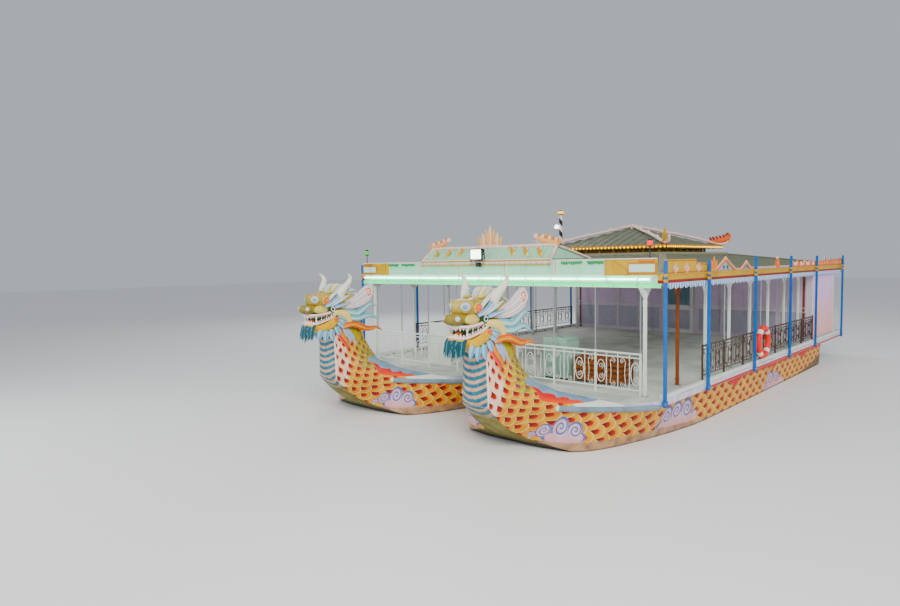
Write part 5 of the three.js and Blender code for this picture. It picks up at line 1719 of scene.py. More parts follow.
def rim(shape, outline, to_space, width, low, high, paint):
    """A raised frame along the inside of a closed outline."""
    outline = np.asarray(outline, float)
    turn = 1 if signed_area(outline) > 0 else -1
    rings = []
    for i, point in enumerate(outline):
        a = unit(point - outline[i - 1])
        b = unit(outline[(i + 1) % len(outline)] - point)
        inward_a, inward_b = (np.array([-d[1], d[0]]) * turn for d in (a, b))
        inward = unit(inward_a + inward_b)
        inner = point + inward * width / max(inward @ inward_a, 0.3)
        near, far = (point + (inner - point) * share for share in (0.25, 0.75))
        rings.append([to_space(*point, low), to_space(*near, high), to_space(*far, high),
                      to_space(*inner, low)])
    shape.skin(rings, paint, ends=True)


def facade_end(shape, way):
    """The gusset, the blank plate with its bolts, and the hung leaves at one end of the board."""
    face, top = BOARD["face"], BOARD["top"]
    x0, x1, z0, z1 = PLATE

    def spot(u, v, w):
        return at(way * u, face - w, v)

    shape.plate(GUSSET, spot, 0.0, 0.014, "trim", 0.003)
    rim(shape, GUSSET, spot, 0.02, 0.006, 0.026, "yellow")
    shape.plate(rect(*PLATE), spot, 0.004, 0.016, "plate", 0.003)
    rim(shape, rect(*PLATE, -0.02), spot, 0.022, 0.0, 0.022, "orange")
    for x in (x0 + 0.03, x1 - 0.03):
        for z in (z0 + 0.02, z1 - 0.02):
            shape.ball(spot(x, z, 0.016), (0.006, 0.004, 0.006), "steel", 8, 4)
    shape.block(at(way * 3.3, face - 0.012, top - 0.06), at(way * 3.56, face + 0.02, top), "orange", 0.004)
    maker = random.Random(5)
    for x0, x1 in HUNG_LEAVES:
        for k in range(9):
            x = x0 + (x1 - x0) * k / 8
            drop = 0.035 + maker.uniform(0, 0.025)
            points = [spot(x, top - 0.035, 0.014), spot(x + 0.012, top - 0.035 - drop * 0.6, 0.02),
                      spot(x + maker.uniform(-0.02, 0.03), top - 0.035 - drop, 0.016)]
            leaf(shape, points, 0.042, 0.014, "leaf_green", None, (0, -1, 0))


def facade():
    shape = Shape()
    half, face, low, top = BOARD["half"], BOARD["face"], BOARD["low"], BOARD["top"]

    def spot(u, v, w):
        return at(u, face - w, v)

    shape.block(at(-half, face + 0.004, low), at(half, face + 0.026, top - 0.004), "yellow", 0.003)
    for x0, x1 in zip(PANEL_ENDS, PANEL_ENDS[1:]):
        panel = rect(x0 + 0.03, x1 - 0.03, low + 0.03, top - 0.035)
        shape.plate(panel, spot, -0.004, 0.004, "mint", 0.003)
        frame_outline = rect(x0 + 0.012, x1 - 0.012, low + 0.012, top - 0.016)
        rim(shape, frame_outline, spot, 0.022, -0.002, 0.012, "white")
    for z in (low + 0.006, top - 0.008):
        shape.sweep([at(-half, face - 0.004, z), at(half, face - 0.004, z)], 0.01, "white", 8)
    for way in WAYS:
        facade_end(shape, way)
    piece("facade", shape, replaces=["front_board"])


TUBE_CLIPS = 13
BAND_PANELS = 18
FLOOD_FINS = 11


def lamp_tube():
    """The long lamp tube with its end caps, its rings and their clips."""
    low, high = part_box("lamp_tube")
    centre = at(0, (low.y + 0.020) - FRONT, (low.z + high.z) / 2 - ZERO_LINE)
    half = high.x
    shape = Shape()
    body = [(0.0, -half + 0.03), (0.0165, -half + 0.032), (0.0175, -half + 0.05), (0.0175, half - 0.05),
            (0.0165, half - 0.032), (0.0, half - 0.03)]
    shape.turned(body, centre, "led", 16, axis=(1, 0, 0))
    cap = [(0.0, half), (0.017, half - 0.004), (0.02, half - 0.012), (0.02, half - 0.05),
           (0.0, half - 0.052)]
    for way in WAYS:
        shape.turned(cap, centre, "white", 16, axis=(way, 0, 0))
    clip = [(0.018, -0.01), (0.0195, -0.008), (0.0195, 0.008), (0.018, 0.01)]
    for k in range(TUBE_CLIPS):
        x = -3.30 + 0.55 * k
        shape.turned(clip, centre + (x, 0, 0), "steel", 16, ring=True, axis=(1, 0, 0))
        shape.block(centre + (x - 0.01, 0.012, -0.01), centre + (x + 0.01, 0.06, 0.01), "white", 0.002)
    piece("led_tube", shape, replaces=["lamp_tube"])


def light_band():
    """The green band under the tube, in panels between two white beads."""
    low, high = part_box("front_band")
    shape = Shape()
    for k in range(BAND_PANELS):
        x0, x1 = (low.x + (high.x - low.x) * n / BAND_PANELS for n in (k, k + 1))
        shape.block((x0 + 0.006, low.y, low.z + 0.008), (x1 - 0.006, high.y - 0.004, high.z - 0.006),
                    "band", 0.006)
    y = middle("front_band").y
    for z in (low.z + 0.004, high.z - 0.004):
        shape.sweep([(low.x, y, z), (high.x, y, z)], (0.008, 0.006), "white", 8, side=(0, 1, 0))
    piece("light_band", shape, replaces=["front_band"])


def floodlight():
    """A finned floodlight in its bracket."""
    low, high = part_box("floodlight")
    shape = Shape()
    face, foot = low.y, high.z - 0.22
    shape.block((low.x, face + 0.012, foot), (high.x, face + 0.085, high.z), "graphite", 0.014)
    for k in range(FLOOD_FINS):
        x = low.x + 0.020 + (high.x - low.x - 0.040) * k / (FLOOD_FINS - 1)
        shape.block((x - 0.004, face + 0.08, foot + 0.012), (x + 0.004, face + 0.118, high.z - 0.012),
                    "graphite", 0.002)

    def spot(u, v, w):
        return (u, face + 0.012 - w, v)

    rim(shape, rect(low.x, high.x, foot, high.z), spot, 0.024, -0.002, 0.01, "graphite")
    shape.plate(rect(low.x, high.x, foot, high.z, 0.02), spot, 0.0, 0.004, "flood", 0.001)
    for x in (low.x - 0.008, high.x + 0.008):
        shape.block((x - 0.004, face + 0.03, low.z + 0.09), (x + 0.004, face + 0.062, high.z - 0.08),
                    "steel", 0.002)
        shape.turned([(0.018, -0.012), (0.018, 0.01), (0.0, 0.012)], (x, face + 0.046, high.z - 0.11),
                     "graphite", 14, axis=(1, 0, 0))
    shape.block((low.x - 0.012, face + 0.03, low.z + 0.084), (high.x + 0.012, face + 0.062, low.z + 0.094),
                "steel", 0.002)
    shape.block((-0.035, face + 0.04, low.z), (0.035, high.y, low.z + 0.092), "graphite", 0.006)
    piece("flood_lamp", shape, replaces=["floodlight"])


# Eaves and parapets. Places and heights along the side, and w outwards from the parapet's inner face
PARAPET_X = DECK_HALF - 0.038
BAY_1 = [(0.06, 2.60), (1.84, 2.60), (1.84, 2.750), (1.290, 2.768), (1.272, 2.825), (0.06, 2.825)]
BAY_1_RIM = [(0.07, 2.605), (1.83, 2.605), (1.83, 2.742), (1.282, 2.76), (1.264, 2.817), (0.07, 2.817)]
DIAMONDS = (0.43, 0.88, 1.36)
# Half length, half height, width and paint of a diamond's frames
DIAMOND_FRAMES = ((0.125, 0.092, 0.020, "rose"), (0.080, 0.058, 0.014, "white"),
                  (0.038, 0.028, 0.028, "rose"))
GABLES = [[(2.15, 2.600), (2.666, 2.850), (3.21, 2.600)], [(3.49, 2.600), (3.80, 2.768), (4.12, 2.600)]]
# Inset of the foot, drop of the peak, way out, size and paint of a gable's edges
GABLE_EDGES = ((0.0, 0.012, 0.018, (0.016, 0.02), "rose"), (0.11, 0.068, 0.022, (0.01, 0.012), "orange"))
GABLE_FLAMES = ((-0.05, 0.17, 0.085), (0.01, 0.23, 0.11), (0.09, 0.16, 0.085))
PILLAR = {"place": 5.83, "half": 0.125, "top": 2.80}
BAY_5 = [(9.12, 2.60), (12.0, 2.60), (12.0, 2.785), (11.1, 2.765), (9.9, 2.738), (9.12, 2.720)]
BAY_5_RIM = [(9.13, 2.606), (11.99, 2.606), (11.99, 2.776), (11.1, 2.756), (9.9, 2.73), (9.13, 2.712)]
SPIKES = (10.04, 10.60, 11.54)


def fascia(name, side):
    """The eave's boards along one side: a painted board with beads and a dark lower edge."""
    shape = Shape()
    outer, inner = DECK_HALF, DECK_HALF - 0.09
    low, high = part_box(f"eave_beam_{name}")
    profile = [(inner, EAVE_LOW), (outer - 0.016, EAVE_LOW), (outer - 0.006, EAVE_LOW + 0.006),
               (outer - 0.004, EAVE_LOW + 0.040), (outer - 0.012, EAVE_LOW + 0.048),
               (outer - 0.012, EAVE_LOW + 0.116), (outer - 0.004, EAVE_LOW + 0.122),
               (outer, EAVE_LOW + 0.134), (outer - 0.006, EAVE_TOP), (inner, EAVE_TOP)]
    places = np.linspace(low.y - FRONT, high.y - FRONT, 9)
    shape.skin([[at(side * x, place, z) for x, z in profile] for place in places], "fascia")
    piece(f"fascia_{name}", shape, replaces=[f"eave_beam_{name}"], crease=30)


def valance(name):
    """A scalloped trim in small folds under the eave."""
    low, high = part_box(f"valance_{name}")
    x, top, scallop = (low.x + high.x) / 2, high.z, 0.2
    count = round((high.y - low.y) / scallop)
    rings = []
    for i in range(count * 12 + 1):
        t = i / 12
        y = low.y + scallop * t
        bottom = low.z + 0.045 * (1 - math.sin(math.pi * (t - math.floor(t)))) ** 1.4
        half_way = (top + bottom) / 2
        fold = x + 0.004 * math.cos(4 * math.pi * t)
        rings.append([(x - 0.002, y, top), (x + 0.002, y, top), (fold + 0.0025, y, half_way),
                      (fold + 0.004, y, bottom + 0.006), (fold, y, bottom),
                      (fold - 0.004, y, bottom + 0.006), (fold - 0.0025, y, half_way)])
    shape = Shape()
    shape.skin(rings, "valance")
    shape.sweep([(x, low.y, top - 0.008), (x, high.y, top - 0.008)], (0.008, 0.009), "white", 8)
    piece(f"scallops_{name}", shape, replaces=[f"valance_{name}"], crease=60)


def front_bay(boards, carved, spot):
    """A yellow board with a raised edge and three framed diamonds."""
    boards.plate(BAY_1, spot, 0.0, 0.028, "yellow", 0.004)
    rim(boards, BAY_1_RIM, spot, 0.022, 0.024, 0.038, "orange")
    level = 2.675
    for centre in DIAMONDS:
        for half_u, half_v, width, paint in DIAMOND_FRAMES:
            outline = [(centre - half_u, level), (centre, level - half_v), (centre + half_u, level),
                       (centre, level + half_v)]
            rim(carved, outline, spot, width, 0.024, 0.04, paint)
    boards.plate(rect(1.84, 2.2, 2.6, 2.64), spot, 0.0, 0.028, "yellow", 0.003)


def gable_bay(boards, carved, spot, outward):
    """Two grey gables with rose and orange edges, scrolls in them and flames in front."""
    for (front, low), (centre, peak), (back, _) in GABLES:
        boards.plate([(front + 0.05, low), (back - 0.05, low), (centre, peak - 0.035)], spot, 0.002, 0.016,
                     "gable_grey", 0.002)
        for foot, way in ((front, 1), (back, -1)):
            for inset, drop, out, size, paint in GABLE_EDGES:
                start, end = spot(foot + way * inset, low + 0.012, out), spot(centre, peak - drop, out)
                boards.sweep([start, (start + end) / 2, end], size, paint, 8, side=outward)
        carved.ball(spot(centre, peak - 0.015, 0.02), (0.022, 0.036, 0.034), "rose", 12, 8)
        for way in WAYS:
            place = centre + way * 0.085 * (peak - low) / 0.25
            scroll(carved, spot(place, low + 0.065, 0.022), (0, way, 0), UP, 0.042, 1.25, 0.018,
                   "gable_blue", -1.2, 0.02)
    boards.plate(rect(3.2, 3.5, 2.6, 2.636), spot, 0.0, 0.024, "rose", 0.003)
    boards.plate(rect(4.1, 6.82, 2.6, 2.64), spot, 0.0, 0.026, "gable_grey", 0.004)
    boards.sweep([spot(4.1, 2.64, 0.013), spot(6.82, 2.64, 0.013)], (0.016, 0.01), "rose", 8, side=outward)
    for k, (lean, rise, width) in enumerate(GABLE_FLAMES):
        flame(carved, spot(2.02 + 0.07 * k, 2.63, 0.018), rise, (0, lean, 0), width, "flame_orange", "gold",
              outward)


def pillar(boards, carved, spot, outward):
    """A waisted pillar with three small flames on top and a gold scroll."""
    centre, half, top = PILLAR["place"], PILLAR["half"], PILLAR["top"]
    outline = [(centre - half, 2.6), (centre + half, 2.6), (centre + half * 0.55, top - 0.03),
               (centre + half * 0.7, top), (centre - half * 0.7, top), (centre - half * 0.55, top - 0.03)]
    boards.plate(outline, spot, 0.0, 0.036, "flame_orange", 0.005)
    for k, lean in enumerate((-0.07, 0.0, 0.07)):
        flame(carved, spot(centre + lean * 0.5, top - 0.01, 0.018), 0.055 + 0.025 * (k == 1),
              (0, lean * 0.6, 0), 0.06, "white", "flame_orange", outward)
    scroll(carved, spot(centre, 2.7, 0.036), (0, 1, 0), UP, 0.05, 1.4, 0.018, "gold", 0.5, 0.018)


def flame_bay(boards, carved, spot, outward):
    """A low board with a row of flames, and a scroll at every third of them."""
    boards.plate(rect(6.82, 8.98, 2.6, 2.655), spot, 0.0, 0.026, "flame_orange", 0.004)
    for k in range(12):
        u = 6.92 + 0.18 * k
        lean = -0.08 if k % 2 else 0.06
        flame(carved, spot(u, 2.635, 0.016), 0.135 - 0.03 * (k % 3), (0, lean, 0), 0.11,
              ("rose", "flame_orange", "ridge")[k % 3], "white" if k % 3 else "orange", outward)
        if k % 3 == 1:
            scroll(carved, spot(u + 0.09, 2.665, 0.022), (0, 1, 0), UP, 0.04, 1.2, 0.018, "white", 0.4,
                   0.018)


def rear_bay(boards, carved, spot, outward):
    """A coral board with rose scrolls and dark and white spikes."""
    boards.plate(BAY_5, spot, 0.0, 0.028, "coral", 0.004)
    rim(boards, BAY_5_RIM, spot, 0.02, 0.024, 0.038, "orange")
    for k in range(9):
        scroll(carved, spot(9.35 + 0.31 * k, 2.672, 0.03), (0, 1 if k % 2 else -1, 0), UP, 0.046, 1.3,
               0.018, "rose", 0.4, 0.018)
    for u in SPIKES:
        flame(carved, spot(u, 2.74, 0.016), 0.11, (0, 0.01, 0), 0.055, "white", "dark", outward)
        flame(carved, spot(u + 0.07, 2.74, 0.016), 0.07, (0, 0.03, 0), 0.045, "dark", None, outward)
    for place in (9.10, 12.02):
        flame(carved, spot(place, 2.7, 0.016), 0.1, (0, 0.02, 0), 0.06, "rose", "orange", outward)


def parapet(name, side):
    boards, carved = Shape(), Shape()
    outward = np.array([side, 0.0, 0.0])

    def spot(u, v, w):
        return at(side * (PARAPET_X + w), u, v)

    front_bay(boards, carved, spot)
    for bay in (gable_bay, pillar, flame_bay, rear_bay):
        bay(boards, carved, spot, outward)
    piece(f"parapet_boards_{name}", boards, replaces=[f"parapet_{name}"], crease=30)
    piece(f"parapet_carvings_{name}", carved)


def posts(name, side):
    """Square posts with a bevel, a cap, bolted brackets at the deck and a yellow clamp at the eave."""
    shape = Shape()
    nodes = [f"post_{name}_{k + 1}" for k in range(6)]
    for node in nodes:
        low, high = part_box(node)
        x, y, half = (low.x + high.x) / 2, (low.y + high.y) / 2, (high.x - low.x) / 2

        def collar(foot, top, more, paint, bevel):
            shape.block((x - half - more, y - half - more, foot), (x + half + more, y + half + more, top),
                        paint, bevel)

        collar(low.z, high.z - 0.02, 0, "post", 0.005)
        cap = ((half - 0.006, high.z - 0.022), (half - 0.001, high.z - 0.016),
               (half - 0.001, high.z - 0.010), (0.004, high.z))
        shape.skin([[(x + sx * r, y + sy * r, z) for sx, sy in rect(-1, 1, -1, 1)] for r, z in cap], "post")
        shape.block((x - half - 0.001, y - half - 0.04, up(0.505)), (x + half, y + half + 0.04, up(0.585)),
                    "post", 0.003)
        for clamp in (EAVE_LOW + 0.015, EAVE_TOP - 0.050):
            collar(up(clamp), up(clamp + 0.045), 0.003, "yellow", 0.003)
        for way in WAYS:
            bolt = (x + side * half, y + way * (half + 0.022), up(0.545))
            shape.turned([(0.011, -0.004), (0.011, 0.006), (0.007, 0.009)], bolt, "steel", 6,
                         axis=(side, 0, 0))
    piece(f"posts_{name}", shape, replaces=nodes)


def upper_paints():
    plain = {"yellow": (0xCDB020, 0.4), "orange": (0xC88A1C, 0.4), "trim": (0xC8AC38, 0.45),
             # The dark paint is painted shade in the lantern's hollow, under the pyramid's eave, in the
             # scuppers and under the locker; on the rear spikes it is their own colour.
             "ridge": (0xEBD6D0, 0.4), "roof_cap": (0x8D8E7C, 0.5), "dark": (0x2A2A26, 0.6),
             "gold": (0xDFBE40, 0.35), "gold_rose": (0xE7B98C, 0.4), "tail": (0xD97A1E, 0.42),
             # On the front eave beam, mint is painted light from the lamp tube; on the facade's panels it is
             # their own colour.
             "tail_dark": (0x8E3E12, 0.45), "plate": (0xD8F0E2, 0.35), "mint": (0xBDEBD2, 0.35),
             "leaf_green": (0x3E9A66, 0.45), "steel": (0xB9BDC0, 0.3), "graphite": (0x3A3F42, 0.4),
             "rose": (0xE9B59C, 0.42), "gable_grey": (0xB9B9BE, 0.45), "gable_blue": (0x5D6F94, 0.45),
             "flame_orange": (0xE27A24, 0.42), "coral": (0xDD8A66, 0.45), "post": (0x2C6CAA, 0.3)}
    metals = {"steel": 0.85, "gold": 0.3, "graphite": 0.3}
    for key, (code, rough) in plain.items():
        PAINTS[key] = painted(key + "_paint", code, rough, 0.28, 6.0, metal=metals.get(key, 0.0))
    PAINTS["roof"] = painted("roof_sheet_paint", 0x6F7464, 0.5, 0.55, 3.0, metal=0.15)
    PAINTS["porch"] = painted("porch_sheet_paint", 0xB7D8C2, 0.45, 0.35, 5.0)
    PAINTS["fascia"] = fascia_paint()
    PAINTS["valance"] = valance_paint()
    glows = {"led": (0xC8FFE6, 9.0), "flood": (0xF4FFF4, 7.0), "bulb": (0xFFD98A, 5.0),
             "band": (0x6FE3A4, 0.9)}
    for key, (code, strength) in glows.items():
        PAINTS[key] = glowing(key + "_glow", code, strength, 0.3, 20.0, 0.8)


def fascia_paint():
    """Orange-yellow paint with a dark red lower edge, worn in streaks."""
    paint = Paint("fascia_paint", 0.42)
    z = paint.height()
    tone = paint.noise(5.0, 5, (1, 0.4, 1))
    colour = paint.blend(tone, 0xCCAE1C, 0xB4921A)
    colour = paint.mix(paint.smooth(z + (tone - 0.5) * 0.03, 2.575, 2.592) * 0.6, colour, 0xC89430)
    red = paint.blend(tone, 0x8C2A1C, 0x5E2018)
    colour = paint.mix(paint.smooth(z + (tone - 0.5) * 0.02, 2.502, 2.492), colour, red)
    streak = paint.smooth(paint.noise(3.0, 4, (1, 3, 0.3)), 0.55, 0.8) * 0.4
    return paint.colour(paint.mix(streak, colour, 0x5A3E20)).bump(tone, 0.15, 0.004)


def valance_paint():
    """Blue and white stripes, two to each scallop."""
    paint = Paint("valance_paint", 0.6)
    y = paint.place()[1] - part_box("valance_port")[0].y
    stripe = paint.smooth(paint.math("PINGPONG", y, 0.05), 0.022, 0.028)
    tone = paint.noise(6.0, 4)
    blue = paint.mix(tone, 0x4F86CC, 0x7FA6DC)
    white = paint.mix(tone, 0xEEF1F6, 0xD5DCEA)
    return paint.colour(paint.mix(stripe, blue, white)).bump(tone, 0.1, 0.003)


# Deck, railings and inside fittings
CURB_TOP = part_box("main_deck")[1].z - ZERO_LINE
CURB_WIDTH = 0.085
SCUPPERS = 24
DECK_STRIPS = 7


def flat(u, v, w):
    """Leaves a point as it is, for an outline seen from above."""
    return u, v, w


def deck():
    shape = Shape()
    outline = np.array([[x, aft(y)] for x, y in mirrored(DECK_OUTLINE)])
    shape.plate(outline, flat, up(HULL_DECK), up(DECK_TOP), "deck_sheet", 0.006)
    outward = outward_normals(outline)
    edge = outline + outward * 0.004
    inner = outline - outward * 0.012
    rings = [[(*e, up(HULL_DECK + 0.012)), (*e, up(DECK_TOP - 0.012)), (*i, up(DECK_TOP - 0.004)),
              (*i, up(HULL_DECK + 0.004))] for e, i in zip(edge, inner)]
    shape.skin(rings, "edge_band", ends=True)
    for side in WAYS:
        inside = DECK_HALF - CURB_WIDTH
        shape.block(at(side * inside, 0.04, DECK_TOP - 0.004), at(side * DECK_HALF, DECK_END, CURB_TOP),
                    "white", 0.01)
        for k in range(SCUPPERS):
            place = 0.30 + 0.50 * k
            # Near-black blocks at the scuppers: painted shade in their openings.
            shape.block(at(side * (inside - 0.003), place, DECK_TOP + 0.004),
                        at(side * (inside + 0.01), place + 0.07, DECK_TOP + 0.03), "dark", 0.002)
    for k in range(DECK_STRIPS):
        place = -0.52 + 0.07 * k
        shape.sweep([at(-3.2, place, DECK_TOP + 0.001), at(3.2, place, DECK_TOP + 0.001)], (0.006, 0.003),
                    "deck_strip", 6)
    piece("deck_floor", shape, replaces=["main_deck"], crease=30)


def railing_curls(shape, spot, ahead, paint, base, top, length, intervals):
    """In each gap a pair of curls, and in two of every five an oval with curls in it."""
    half_way = (base + top) / 2
    for k in range(intervals):
        centre = length * (k + 0.5) / intervals
        if k % 5 in (1, 3):
            oval = [spot(centre + 0.082 * math.cos(a), half_way + 0.19 * math.sin(a))
                    for a in np.arange(17) * math.pi / 8]
            shape.sweep(oval, 0.007, paint, 6, steps=1, closed=True)
            for way in WAYS:
                scroll(shape, spot(centre, half_way + way * 0.085), ahead, (0, 0, way), 0.050, 1.25, 0.010,
                       paint, -1.2, 0.010)
            continue
        way = 1 if k % 2 else -1
        for height, turn in ((top - 0.145, 1), (base + 0.145, -1)):
            scroll(shape, spot(centre + way * 0.012, height), ahead * way, (0, 0, turn), 0.048, 1.25, 0.010,
                   paint, -1.2, 0.010)
        link = [spot(centre - way * 0.036, top - 0.15), spot(centre - way * 0.02, half_way),
                spot(centre - way * 0.036, base + 0.15)]
        shape.sweep(link, 0.0055, paint, 6)


def railing(node, axis, paint, intervals, every, foot, curls, poles=()):
    """A railing inside its node's box: rails, stanchions, balusters and, in each gap, a pair of curls."""
    low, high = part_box(node)
    cross = 1 - axis
    line = (low[cross] + high[cross]) / 2
    length = high[axis] - low[axis]
    base, top = up(foot), high.z
    ahead, sideways = np.eye(3)[axis], np.eye(3)[cross]

    def spot(along, height):
        point = np.zeros(3)
        point[axis], point[cross], point[2] = low[axis] + along, line, height
        return point

    shape = Shape()
    rail = [spot(0, top - 0.018), spot(length / 2, top - 0.018), spot(length, top - 0.018)]
    shape.sweep(rail, (0.019, 0.0175), paint, 12, side=sideways, steps=2)
    for height in (base + 0.082, top - 0.085):
        shape.sweep([spot(0, height), spot(length, height)], (0.009, 0.011), paint, 8, side=sideways)
    for k in range(intervals + 1):
        along = min(max(length * k / intervals, 0.016), length - 0.016)
        if k % every == 0 or k == intervals:
            shape.block(spot(along, base) - (0.015, 0.015, 0), spot(along, top - 0.012) + (0.015, 0.015, 0),
                        paint, 0.003)
            shape.block(spot(along, base) - (0.019, 0.019, 0),
                        spot(along, base + 0.010) + (0.019, 0.019, 0), paint, 0.002)
            shape.ball(spot(along, top + 0.004), (0.018, 0.018, 0.008), paint, 10, 6)
        else:
            shape.sweep([spot(along, base + 0.08), spot(along, top - 0.03)], 0.0075, paint, 8)
            shape.ball(spot(along, (base + top) / 2 - 0.01), (0.013, 0.013, 0.020), paint, 8, 6)
    if curls:
        railing_curls(shape, spot, ahead, paint, base, top, length, intervals)
    for along in poles:
        flange = spot(along, up(EAVE_LOW - 0.032))
        shape.sweep([spot(along, top - 0.01), flange], 0.013, "steel", 10)
        shape.turned([(0.026, 0.0), (0.026, 0.006), (0.014, 0.01)], flange, "steel", 14, axis=(0, 0, -1))
    return shape


def railings(name):
    low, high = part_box(f"rail_side_{name}")
    length = high.y - low.y
    poles = [length * k / 7 for k in (1, 3, 5)]
    shape = railing(f"rail_side_{name}", 1, "iron", 35, 5, CURB_TOP, True, poles)
    piece(f"side_railing_{name}", shape, replaces=[f"rail_side_{name}"])
    low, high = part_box(f"rail_front_{name}")
    width = high.x - low.x
    ends = [0.016, width / 3, width * 2 / 3, width - 0.016]
    shape = railing(f"rail_front_{name}", 0, "white", 12, 4, DECK_TOP, True, ends)
    piece(f"front_railing_{name}", shape, replaces=[f"rail_front_{name}"])


BRACKET = [(0.0, 0.0), (0.20, 0.0), (0.20, -0.015), (0.015, -0.20), (0.0, -0.20)]


def columns(name, side):
    """Square columns with foot plates and collars under a top plate. One of those to port is brown."""
    low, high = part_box(f"columns_{name}")
    half = (high.x - low.x) / 2
    x = (low.x + high.x) / 2
    shape = Shape()
    shape.block((low.x - 0.01, low.y, high.z - 0.03), (high.x + 0.01, high.y, high.z), "white", 0.005)
    first, last = low.y + 0.04, high.y - 0.04
    for k in range(8):
        y = first + (last - first) * k / 7
        paint = "brown" if side > 0 and k == 1 else "white"

        def collar(foot, top, more, paint, bevel):
            shape.block((x - half - more, y - half - more, foot), (x + half + more, y + half + more, top),
                        paint, bevel)

        def gusset(u, v, w):
            return x + w, y + way * (half - 0.004 + u), high.z - 0.028 + v

        collar(low.z, high.z - 0.02, 0, paint, 0.005)
        collar(low.z, low.z + 0.012, 0.025, "steel", 0.003)
        for height in (low.z + 0.10, high.z - 0.12):
            collar(height, height + 0.030, 0.004, paint, 0.003)
        reach = half + 0.013
        for dx, dy in ((1, 1), (1, -1), (-1, 1), (-1, -1)):
            bolt = (x + dx * reach, y + dy * reach, low.z + 0.011)
            shape.turned([(0.008, 0), (0.008, 0.006)], bolt, "steel", 6)
        for way in WAYS:
            shape.plate(BRACKET, gusset, -0.010, 0.010, paint, 0.002)
    piece(f"inner_columns_{name}", shape, replaces=[f"columns_{name}"])


def ceiling():
    """White panels between battens, with round lamps set in them."""
    low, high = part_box("ceiling")
    shape, lamps = Shape(), Shape()
    shape.block((low.x, low.y, low.z + 0.006), (high.x, high.y, high.z), "ceiling", 0.003)
    for k in range(11):
        y = low.y + (high.y - low.y - 0.04) * k / 10
        shape.block((low.x + 0.01, y, low.z - 0.012), (high.x - 0.01, y + 0.04, low.z + 0.008), "ceiling",
                    0.004)
    for x in (-2.4, 0.0, 2.4):
        shape.block((x - 0.02, low.y + 0.01, low.z - 0.006), (x + 0.02, high.y - 0.01, low.z + 0.008),
                    "ceiling", 0.004)
    for row in range(8):
        for x in (-2.9, -1.2, 1.2, 2.9):
            lamp = (x, low.y + (high.y - low.y - 3.2) * (row + 0.5) / 8, low.z - 0.004)
            lamps.turned([(0.07, -0.008), (0.08, -0.002), (0.08, 0.012)], lamp, "ceiling_lamp", 20)
            shape.turned([(0.08, -0.01), (0.094, -0.006), (0.096, 0.01), (0.08, 0.01)], lamp, "white", 20,
                         ring=True)
    piece("ceiling_panels", shape, replaces=["ceiling"])
    piece("ceiling_lamps", lamps)


BENCH_BOARDS = 4


def bench():
    low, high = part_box("front_bench")
    shape = Shape()
    for x in (low.x + 0.02, (low.x + high.x) / 2, high.x - 0.02):
        for y in (low.y + 0.03, high.y - 0.03):
            shape.block((x - 0.02, y - 0.02, low.z), (x + 0.02, y + 0.02, high.z - 0.03), "wood_dark",
                        0.004)
    for k in range(BENCH_BOARDS):
        z = low.z + 0.050 + 0.095 * k
        for y in (low.y, high.y - 0.022):
            shape.block((low.x, y, z), (high.x, y + 0.022, z + 0.082), "wood", 0.005)
        for x in (low.x, high.x - 0.022):
            shape.block((x, low.y + 0.024, z), (x + 0.022, high.y - 0.024, z + 0.082), "wood", 0.005)
    width = (high.y - low.y) / BENCH_BOARDS
    for k in range(BENCH_BOARDS):
        shape.block((low.x, low.y + k * width + 0.003, high.z - 0.03),
                    (high.x, low.y + (k + 1) * width - 0.003, high.z), "wood", 0.006)
    for x in (low.x + 0.10, high.x - 0.10):
        for k in range(BENCH_BOARDS):
            shape.ball((x, low.y + (k + 0.5) * width, high.z), (0.007, 0.007, 0.003), "steel", 8, 4)
    piece("bench_boards", shape, replaces=["front_bench"])


def locker():
    """A ribbed chest with a lid, a near-black plinth that is painted shade under it, and two hinges."""
    low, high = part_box("locker")
    box_low, box_high = np.array(low) + (0.012, 0.012, 0.03), np.array(high) - (0.012, 0.012, 0.045)
    foot, top = box_low[2] + 0.03, box_high[2] - 0.03
    shape = Shape()
    shape.block(box_low, box_high, "locker", 0.006)
    shape.block((low.x, low.y, high.z - 0.045), (high.x, high.y, high.z), "locker", 0.012)
    # The plinth is near black: painted shade under the chest.
    shape.block((low.x + 0.03, low.y + 0.03, low.z), (high.x - 0.03, high.y - 0.03, low.z + 0.032), "dark",
                0.004)
    for k in range(11):
        x = box_low[0] + 0.030 + (box_high[0] - box_low[0] - 0.06) * k / 10
        for y in (box_low[1], box_high[1]):
            shape.block((x - 0.012, y - 0.011, foot), (x + 0.012, y + 0.011, top), "locker", 0.006)
    for k in range(10):
        y = box_low[1] + 0.030 + (box_high[1] - box_low[1] - 0.06) * k / 9
        for x in (box_low[0], box_high[0]):
            shape.block((x - 0.011, y - 0.011, foot), (x + 0.011, y + 0.011, top), "locker", 0.006)
    for x in (low.x + 0.12, high.x - 0.12):
        shape.block((x - 0.022, high.y - 0.008, high.z - 0.1), (x + 0.022, high.y, high.z - 0.02), "steel",
                    0.003)
    piece("locker_ribbed", shape, replaces=["locker"])


